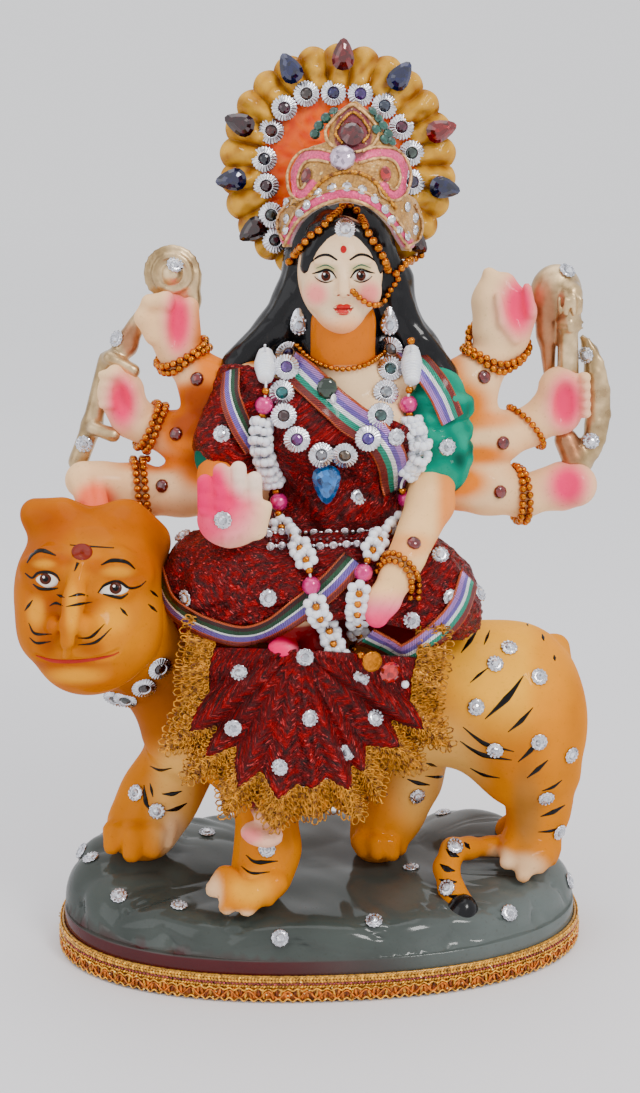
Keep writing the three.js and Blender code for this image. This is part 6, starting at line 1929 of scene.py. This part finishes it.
# Both ends in the picture, how far the front hangs, rows, depth of the middle, bead, half depth
BRACELETS = [
    ((154, 370), (206, 344), 4, 2, 12, 1.3, 8), ((162, 404), (138, 452), 3, 2, 12, 1.3, 8),
        ((138, 468), (144, 527), -3, 2, 10, 1.3, 8),
    ((463, 340), (528, 352), 18, 2, 12, 1.3, 9), ((511, 403), (543, 449), -6, 1, 11, 1.15, 8),
        ((517, 470), (519, 526), -4, 2, 10, 1.3, 8),
]
for _i, (_a, _b, _hang, _rows, _y, _size, _deep) in enumerate(BRACELETS):
    body = Body()
    _p, _q = at(*_a, _y), at(*_b, _y)
    _along = _q - _p
    _half = np.linalg.norm(_along) / 2
    _along = unit(_along)
    _axis = unit(np.cross(_along, (0, 1, 0)))
    _axis = _axis if _axis[2] < 0 else -_axis
    for _row in range(_rows):
        _turn = np.linspace(0, 2 * math.pi, 120)[:, None]
        _ring = (_p + _q) / 2 + _along * _half * np.cos(_turn) - np.array([0, 1,
                0]) * _deep * np.sin(_turn)
        _ring = _ring + _axis * (0.32 * _hang * np.sin(_turn)
                                 + (_row - (_rows - 1) / 2) * 2 * _size)
        _ring = settle(WRISTS, _ring, _size * 0.9, 6)
        strung(body, _ring[:-1], _size)
    piece(f"bracelet_{_i + 1}_beads", body, [GOLD_METAL], [f"bracelet_{_i + 1}"])
body = Body()
for _shift in (0, 7):
    _line = [(379 - _shift * 0.3, 566 + _shift), (388, 555 + _shift), (400, 556 + _shift * 1.2),
             (412 - _shift * 0.6, 568 + _shift), (417 - _shift, 584 + _shift), (417 - _shift, 598)]
    _p, _n = laid(Ground(*named("resting_arm", "lap_cloth")), _line, 1.0, 60, 3)
    strung(body, _p, 1.05)
piece("bracelet_front_beads", body, [GOLD_METAL], ["bracelet_front"])

# Tiger's collar
body = Body()
discs(body, [(159.5, 667.5), (144, 686.5), (126, 698), (116, 697)], 3.9,
      [(0.25, 0.02, 0.03), (0.2, 0.03, 0.03), (0.03, 0.15, 0.08), (0.2, 0.03, 0.03)], everything,
      0.2, 0.35)
piece("collar_discs", body, [SILVER_METAL, GLASS], ["tiger_collar"])

# Red cabochons and clear stickers
CABOCHONS = [(197, 379), (176, 434), (162, 486), (484, 377), (503, 443), (500, 492), (414, 543)]
_p, _n = everything.hits(CABOCHONS)
for _i in range(7):
    body = Body()
    stamp(body, FINE_BEAD, _p[_i:_i + 1] + _n[_i] * 0.1, frames(_n[_i:_i + 1]), (2.4, 2.4, 1.5),
          lin(0.5, 0.02, 0.04))
    piece(f"red_stone_{_i + 1}", body, [GLASS], [f"cabochon_{_i + 1}"])
CAD_STICKERS = [(175, 265), (115, 339), (84, 444), (567, 271), (223, 520), (509, 648), (539, 742),
                (546, 798)]
STICKERS = [(586, 355), (591, 441), (177, 536), (268, 598), (186, 598), (440, 555), (451, 598),
            (412, 620),
            (305, 657), (239, 672), (361, 678), (310, 718), (233, 728), (375, 718), (280, 767),
            (347, 752), (495, 664), (476, 707),
            (539, 677), (495, 750), (559, 832), (571, 755), (481, 593), (417, 796), (157, 811),
            (136, 793), (267, 849),
            (455, 846), (447, 888), (68, 851), (91, 858), (119, 896), (179, 906), (207, 833),
            (280, 938), (374, 921), (411, 868),
            (509, 913), (573, 881), (443, 813), (222, 434), (447, 447), (396, 437), (358, 497)]


def landed(u, v):
    """A pixel, moved inward until something is under it."""
    while everything.cast(EYE, ray(u, v)) is None and abs(u - MIDDLE[0]) > 100:
        u += 2 * np.sign(MIDDLE[0] - u)
    return u, v


def stickers(name, pixels, nodes=()):
    body = Body()
    p, n = everything.hits([landed(*q) for q in pixels])
    p = p + n * 0.05
    spin = frames(n)
    stamp(body, SETTING, p, spin, (2.9, 2.9, 2.6), mat=0)
    stamp(body, STONES, p, spin, (2.9, 2.9, 2.6), lin(0.86, 0.87, 0.9), 1, False)
    piece(name, body, [SILVER_METAL, CLEAR], nodes)


for _i, _uv in enumerate(CAD_STICKERS):
    stickers(f"clear_stone_{_i + 1}", [_uv], [f"sticker_{_i + 1}"])
stickers("clear_stones", STICKERS)
body = Body()
_p, _n = everything.hits([(389, 672)])
stamp(body, cut_stone(10, 0.55), _p + _n * 0.3, frames(_n), (3.7, 3.3, 2.2), lin(0.85, 0.06, 0.08),
      0, False)
piece("lap_red_stone", body, [GLASS])
body = Body()
_p, _n = everything.hits([(405, 683)])
stamp(body, FINE_BEAD, _p + _n * 0.8, None, 1.3, lin(0.9, 0.9, 0.92))
piece("lap_white_bead", body, [MILKY])

# Braid round the plinth's foot
def woven():
    """Gold and coloured braid threads: their colour is in the mesh, with painted shade and painted
    highlights along their twist.
    """
    f = Finish("braid_thread", Metallic=0.5, Coat_Weight=0.25, Coat_Roughness=0.2)
    twist = f.noise(900, 3)
    # painted shade in the twist's hollows and painted highlights up to 1.9 times the colour on its
    # tops
    shade = f.ramp(twist, [(0.32, (0.35, 0.28, 0.22)), (0.5, (1, 1, 1)), (0.72, (1.9, 1.8, 1.6))])
    f.set(Base_Color=f.mix(1.0, f.attribute("paint"), shade, "MULTIPLY"),
          Roughness=f.ranged(twist, 0.3, 0.7, 0.22, 0.5))
    f.bump(twist, 0.5, 0.0004)
    return f.mat


BRAID = woven()
BRAID_GOLD, BRAID_ORANGE, BRAID_DARK = (0.75, 0.36, 0.03), (0.62, 0.17, 0.008), (0.2, 0.04, 0.004)
BRAID_PINK = (0.42, 0.06, 0.09)


def round_foot(z, out, count, wave=0.0, beats=0):
    """Evenly spaced points round the foot, with their outward directions."""
    turn = np.linspace(0, 2 * math.pi, 1441)
    x, y = oval(turn, out)
    p = spread(np.stack([x, y, np.full(len(x), z)], -1), count + 1)[:-1]
    t = unit(np.roll(p, -1, 0) - np.roll(p, 1, 0))
    n = np.stack([t[:, 1], -t[:, 0], np.zeros(count)], -1)
    p[:, 2] += wave * np.cos(np.arange(count) * 2 * math.pi * beats / count)
    return p, n, t


def make_trim():
    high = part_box("base_trim")[1]
    top, out = float(high[2]) / MM, float(high[0]) / MM - BASE_HALF[0]
    body = Body()
    sides = 320
    p, n, _ = round_foot(0, 0.45, sides)
    heights = np.array([top - 0.2, top - 1.6, top - 2.6, top - 3.4, 3.5, 1.1, 0.35])
    grid = np.stack([p + [0, 0, h] for h in heights])
    swell = 0.35 * (out - 0.45) * np.ones((len(heights), 1, 1))
    outer = grid + n[None] * swell
    tint = [BRAID_GOLD, BRAID_GOLD, BRAID_PINK, BRAID_GOLD, BRAID_ORANGE, BRAID_ORANGE, BRAID_DARK]
    slab(body, outer, grid, np.repeat(np.array(tint)[:, None] * 0.6, sides, 1), ring=True)
    knot = bead(6, 3)
    for z, lean, size, pitch, tone in ((top - 0.75, 1, 0.62, 1.05, BRAID_GOLD),
                                       (top - 1.7, -1, 0.62, 1.05, BRAID_GOLD),
                                       (top - 2.65, 0, 0.36, 1.3, BRAID_PINK),
                                       (top - 3.5, 1, 0.5, 0.95, BRAID_GOLD)):
        count = int(450 / pitch)
        p, n, t = round_foot(z, 0.45 + 0.55 * (out - 0.45), count)
        lie = unit(t + np.array([0, 0, 0.75 * lean]))
        turns = np.stack([lie, np.cross(n, lie), n], -1)
        tones = np.array(tone) * (0.75 + 0.5 * (np.arange(count) % 3 == 0))[:, None]
        stamp(body, knot, p, turns, (size * (1.25 if lean else 1), size * (0.75 if lean else 1),
                                     0.5), tones)
    count = 330
    p, n, t = round_foot(3.0, 0.45 + 0.5 * (out - 0.45), count)
    sway = 0.25 * np.sin(np.arange(count) * 2.3)[:, None]
    up = unit(np.array([0, 0, 1.0]) + t * sway)
    turns = np.stack([np.cross(up, n), up, n], -1)
    tones = np.array([BRAID_GOLD, BRAID_ORANGE, BRAID_ORANGE, BRAID_DARK])[np.arange(count) % 4]
    stamp(body, bead(6, 4), p, turns, (0.5, 2.35, 0.45), tones)
    for z, wave, beats, tone in ((1.1, 0.55, 150, BRAID_GOLD), (4.6, 0.4, 150, BRAID_GOLD),
                                 (2.9, 1.2, 75, BRAID_ORANGE)):
        p, n, t = round_foot(z, 0.45 + 0.72 * (out - 0.45), 900, wave, beats)
        ropes(body, p, 0.3, 4, tone, closed=True, out=(0, 0, 1))
    rng = np.random.RandomState(5)
    p, n, t = round_foot(0, 0.45 + 0.8 * (out - 0.45), 900)
    pick = rng.choice(900, 150, replace=False)
    sparks = p[pick] + np.array([0, 0, 1])[None] * rng.uniform(1, top - 0.6, (150, 1))
    stamp(body, bead(6, 4), sparks, None, 0.28, (1.0, 0.72, 0.3))
    return piece("braid_trim", body, [BRAID], ["base_trim"])


make_trim()


# Painted lines and spots: thin skins of paint on what carries them
def skin(body, ground, grid, colour, ring=False, lift=0.1):
    """Paint on the ground under a grid of pixels, less the columns that miss it."""
    found = [ground.cast(EYE, ray(u, v)) for u, v in grid.reshape(-1, 2)]
    keep = np.array([f is not None for f in found]).reshape(grid.shape[:2]).all(0)
    if ring and not keep.all() or keep.sum() < 2:
        return
    p = np.array([f[0] if f else EYE for f in found]).reshape(*grid.shape[:2], 3)[:, keep]
    n = np.array([f[1] if f else EYE for f in found]).reshape(*grid.shape[:2], 3)[:, keep]
    slab(body, p + n * lift, p - n * 0.25, colour, ring=ring)


def stroke(body, ground, pixels, widths, colour=(0.004, 0.003, 0.003)):
    """A tapered brush line, its widths in pixels from one end to the other."""
    count = max(5, int(length(np.array(pixels, float)) / 1.6))
    line = curve(pixels, count)
    wide = np.interp(np.linspace(0, 1, count), np.linspace(0, 1, len(widths)), widths)
    t = unit(np.gradient(line, axis=0))
    side = np.stack([-t[:, 1], t[:, 0]], -1) * wide[:, None]
    skin(body, ground, np.stack([line + side * k for k in (-0.5, -0.2, 0.2, 0.5)]), colour)


def patch(body, ground, outline, colour, lift=0.1):
    """A filled spot of paint inside an outline of pixels."""
    edge = curve(outline, 33, True)[:-1]
    middle = edge.mean(0)
    skin(body, ground, np.stack([middle + (edge - middle) * k for k in (0.04, 0.35, 0.7, 1)]),
         colour, True, lift)


def oval_outline(u, v, ru, rv, turn=0.0):
    a = np.arange(10) * 2 * math.pi / 10
    c, s = math.cos(math.radians(turn)), math.sin(math.radians(turn))
    x, y = ru * np.cos(a), rv * np.sin(a)
    return np.stack([u + x * c - y * s, v + x * s + y * c], -1)


BRUSH = painted("brush_paint", 0.35, (0.2, 0.36), 0.05)
WHITE_PAINT, BROWN_PAINT, RED_PAINT = (0.85, 0.8, 0.7), (0.07, 0.012, 0.004), (0.5, 0.012, 0.01)
T1, T2, T3 = [0.5, 3.0, 0.5], [0.6, 4.6, 0.6], [0.6, 6.8, 0.8]

# Tiger's stripes
STRIPES = [
    ([(478, 629), (470, 641), (461, 653)], T2), ([(488, 668), (479, 675), (470, 683)], T1),
        ([(524, 675), (508, 697), (485, 719)], T3),
    ([(533, 707.5), (521, 721), (508, 732)], T2), ([(541, 737), (530, 751), (518, 762)], T2),
        ([(548, 760), (538, 769), (527, 778)], T2),
    ([(562, 780), (553, 787), (542, 791)], T1), ([(565, 805), (553, 812), (540.5, 816.5)], T2),
        ([(562, 827), (550, 831), (538, 832)], T1),
    ([(463, 727), (475, 737), (488, 745), (514, 751.5)], T2),
        ([(460, 741), (473, 750), (487, 756), (512, 760)], T2),
    ([(479, 602), (481, 611.5)], T3), ([(504.5, 603), (509, 616)], T2),
        ([(525, 617), (528, 626)], T2), ([(542, 634), (544, 641)], T1),
    ([(554, 655), (555, 661)], T1), ([(426, 763), (437, 766.5)], T1),
        ([(407, 779), (418, 783), (430, 785)], T2),
    ([(425, 776), (438, 777), (450, 774.5)], T1), ([(470, 768), (484, 775), (500, 778)], T1),
        ([(490, 630), (484, 645)], T1),
    ([(144, 785), (145, 796), (147, 805), (155, 813)], T2), ([(150, 783), (153, 797)], T1),
        ([(162, 794), (172, 794), (182, 791)], T2),
    ([(165, 811), (176, 809), (187, 803)], T2), ([(150, 766), (160, 770), (172, 768)], T1),
    ([(246, 855), (256, 862), (278, 861)], T2), ([(241, 866), (252, 873), (270, 872)], T1),
    ([(446, 849), (452, 854), (459, 857)], T3), ([(440, 864), (447, 869), (455, 871)], T3),
        ([(439, 879), (447, 882), (457, 882)], T3),
    ([(464, 842), (470, 849)], T2), ([(446, 895), (455, 897), (464, 894)], T2),
        ([(120, 716), (132, 722)], T1),
]
on_body = Ground(*named("tiger_body"))
body = Body()
for _line, _wide in STRIPES:
    stroke(body, on_body, _line, _wide)
_edges = [on_body.cast(np.array([x, -200, z]), (0, 1, 0)) for x,
          z in ((-10, 84), (8, 82), (26, 84))]
for _hit, _tip in zip([e for e in _edges if e], (10, 11, 10)):
    _line = [_hit[0] + [0, 0, 0], _hit[0] + [2, 0, -_tip]]
    stroke(body, on_body, np.stack(seen(np.array(_line)), -1), T2)
piece("tiger_stripes", body, [BRUSH])

# Tiger's painted face
on_tiger = Ground(*named("tiger_head"))
body = Body()
for _line, _wide in (
        ([(27, 563), (33, 554), (42, 550.5), (56, 555.5)], [1, 3.4, 4.2, 1]),
        ([(101, 565), (112, 560.5), (126, 562), (135, 569)], [1, 4.2, 3.6, 1]),
        ([(70, 545), (92.5, 546.6), (114, 548)], [0.8, 1.6, 0.8]),
        ([(78, 562.5), (74.6, 571)], [3, 1])):
    stroke(body, on_tiger, _line, _wide, (0.006, 0.004, 0.003))
for _edge in ([(36, 580), (41, 575), (50, 574), (58, 580), (55, 586), (45, 587)],
              [(99, 592.5), (106, 586), (118, 583), (128.5, 589), (122, 594), (110, 595)]):
    patch(body, on_tiger, _edge, WHITE_PAINT, 0.08)
for _u, _v, _r in ((45.5, 578.8, 5.8), (115.6, 588, 6.2)):
    patch(body, on_tiger, oval_outline(_u, _v, _r, _r * 0.96), BROWN_PAINT, 0.14)
    patch(body, on_tiger, oval_outline(_u, _v, _r * 0.5, _r * 0.5), (0.002, 0.002, 0.002), 0.18)
    # painted highlight: a white catchlight spot in each eye
    patch(body, on_tiger, oval_outline(_u - 1.6, _v - 1.8, 1.3, 1.3), (0.9, 0.9, 0.9), 0.22)
for _line, _wide in (
        ([(25, 573), (32, 578), (38, 573), (48, 572), (56, 575), (60, 581)],
         [1, 2.2, 2.8, 3, 2.4, 0.8]),
        ([(33, 584), (40, 588.6), (50, 589), (58, 588)], [1, 3, 3, 1]),
        ([(98, 593), (105, 585), (118, 581.6), (129, 588), (139, 586.5), (146, 581)],
         [1, 3, 3.4, 2.8, 2, 0.6]),
        ([(103, 594), (112, 596), (121, 597.6), (128, 593.5)], [1, 3, 3, 1]),
        ([(56.6, 594.4), (64.6, 597.6)], T1), ([(68.6, 597), (79.7, 594.4), (88.5, 596)], T1),
        ([(49.4, 606), (55.8, 603), (63, 606)], T1), ([(66, 606.7), (79.7, 604), (92.5, 602)], T1),
        ([(24.7, 611), (32.7, 600)], T1), ([(120, 607.5), (127.6, 616)], T1),
        ([(28.7, 623), (35, 633.5), (51.8, 634)], T1),
        ([(29.5, 637.5), (36.7, 643), (51, 641.5)], T1),
        ([(78, 638), (91, 636.7), (104.5, 624)], T1), ([(78, 645), (95.7, 642), (111.6, 628)], T1),
        ([(150, 590), (158, 597)], T1), ([(148, 604), (157, 612)], T1)):
    stroke(body, on_tiger, _line, _wide, (0.006, 0.004, 0.003))
stroke(body, on_tiger, [(36, 655.5), (52.6, 660.6), (72, 661.5), (92.5, 659.5), (111.6, 655.5),
                        (119, 652)], [1, 3.4, 3.8, 3.4, 2.6, 0.8], (0.42, 0.015, 0.008))
patch(body, on_tiger, oval_outline(82, 552, 10.6, 8.4), (0.2, 0.02, 0.01), 0.12)
piece("tiger_face_lines", body, [BRUSH])

# The goddess's painted face, even and calm, drawn from the middle of her head
on_head = Ground(*named("goddess_head"))


def face_pixels(points):
    return np.stack(seen(np.array([on_face(x, -13.2, z) for x, z in points])), -1)


body = Body()
for _s in (-1, 1):
    def _side(points):
        return face_pixels([(_s * x, z) for x, z in points])

    patch(body, on_head, _side([(2.5, -0.2), (3.6, 1.3), (5.3, 1.9), (7.2, 1.3), (8.6, 0.2),
                                (7.0, -1.0), (5.2, -1.4), (3.6, -1.0)]), WHITE_PAINT, 0.06)
    patch(body, on_head, _side([(5.4 + 1.45 * math.cos(a), 0.25 + 1.5 * math.sin(a))
                                for a in np.arange(10) * 0.628]), BROWN_PAINT, 0.1)
    patch(body, on_head, _side([(5.4 + 0.7 * math.cos(a), 0.25 + 0.7 * math.sin(a))
                                for a in np.arange(10) * 0.628]), (0.002, 0.002, 0.002), 0.13)
    # painted highlight: a small white catchlight in each eye
    patch(body, on_head, face_pixels([(_s * 5.4 - 0.5 + 0.3 * math.cos(a), 0.8 + 0.3 * math.sin(a))
                                      for a in np.arange(10) * 0.628]), (0.95, 0.95, 0.95), 0.16)
    stroke(body, on_head, _side([(2.1, -0.5), (3.6, 1.5), (5.3, 2.15), (7.4, 1.5), (9.6, 1.0)]),
           [0.8, 2.2, 2.8, 2.4, 0.6])
    stroke(body, on_head, _side([(3.2, -1.2), (5.3, -1.75), (7.4, -1.1), (8.8, 0.1)]),
           [0.5, 1.3, 1.3, 0.6], (0.02, 0.006, 0.004))
    stroke(body, on_head, _side([(2.8, 2.4), (5.4, 3.6), (8.4, 2.6)]), [0.4, 1.4, 0.4],
           (0.02, 0.12, 0.08))
    stroke(body, on_head, _side([(1.9, 5.0), (4.6, 6.6), (7.4, 6.3), (10, 4.4)]),
           [1.6, 2.8, 2.4, 0.6], (0.008, 0.005, 0.004))
    stroke(body, on_head, _side([(1.0, -5.5), (1.9, -5.7)]), [0.6, 1.4, 0.6], (0.3, 0.03, 0.02))
patch(body, on_head, face_pixels([(-3.1, -9.4), (-1.4, -8.5), (-0.5, -8.5), (0, -8.75), (0.5, -8.5),
                                  (1.4, -8.5), (3.1, -9.4), (1.5, -9.75), (0, -9.85),
                                  (-1.5, -9.75)]), RED_PAINT, 0.08)
patch(body, on_head, face_pixels([(-2.9, -9.75), (-1.4, -10.0), (0, -10.1), (1.4, -10.0),
                                  (2.9, -9.75), (1.6, -11.4), (0, -11.8), (-1.6, -11.4)]),
      (0.62, 0.03, 0.03), 0.08)
stroke(body, on_head, face_pixels([(-3.2, -9.6), (0, -9.95), (3.2, -9.6)]), [0.4, 1.2, 0.4],
       (0.12, 0.006, 0.006))
patch(body, on_head, face_pixels([(0.95 * math.cos(a), 8.3 + 1.15 * math.sin(a))
                                  for a in np.arange(10) * 0.628]), (0.45, 0.006, 0.01), 0.12)
piece("painted_face", body, [BRUSH])


# Stage
WORLD_TONE, WORLD_POWER = (0.97, 0.97, 1.0, 1), 1.2
FLOOR_NEAR, FLOOR_FAR = ((0.78, 0.78, 0.8), (0.84, 0.84, 0.86)), (0.985, 0.985, 0.99)
FADE = (0.3, 2.6)  # metres from the middle, where the floor's tone turns into the far one
AIM = (0, 0, 0.15)
LAMPS = (("key", (0.55, -0.75, 0.95), 0.32, 7.5, (1, 0.98, 0.95)),
         ("fill", (-0.9, -0.5, 0.6), 0.8, 2.5, (0.95, 0.97, 1)),
         ("top", (0, 0.1, 1.3), 0.9, 4, (1, 1, 1)))


def make_stage():
    me = bpy.data.meshes.new("floor")
    me.from_pydata([(-3, -2, 0), (3, -2, 0), (3, 3, 0), (-3, 3, 0)], [], [(0, 1, 2, 3)])
    floor = bpy.data.objects.new("floor", me)
    f = Finish("floor", Roughness=0.55)
    xyz = f.node("SeparateXYZ", Vector=f.place())
    across, along = (f.maths("MULTIPLY", xyz.outputs[i], xyz.outputs[i]) for i in (0, 1))
    far = f.maths("SQRT", f.maths("ADD", across, along))
    near_tone = f.mix(f.noise(3), *FLOOR_NEAR)
    f.set(Base_Color=f.mix(f.ranged(far, *FADE, 0.0, 1.0), near_tone, FLOOR_FAR))
    me.materials.append(f.mat)
    bpy.context.scene.collection.objects.link(floor)
    world = bpy.data.worlds.new("studio")
    world.use_nodes = True
    world.node_tree.nodes["Background"].inputs[0].default_value = WORLD_TONE
    world.node_tree.nodes["Background"].inputs[1].default_value = WORLD_POWER
    bpy.context.scene.world = world
    for name, place, size, power, colour in LAMPS:
        data = bpy.data.lights.new(name, "AREA")
        data.size, data.energy, data.color = size, power, colour
        lamp = bpy.data.objects.new(name, data)
        lamp.location = place
        lamp.rotation_euler = (Vector(AIM) - Vector(place)).to_track_quat("-Z", "Y").to_euler()
        bpy.context.scene.collection.objects.link(lamp)


make_stage()
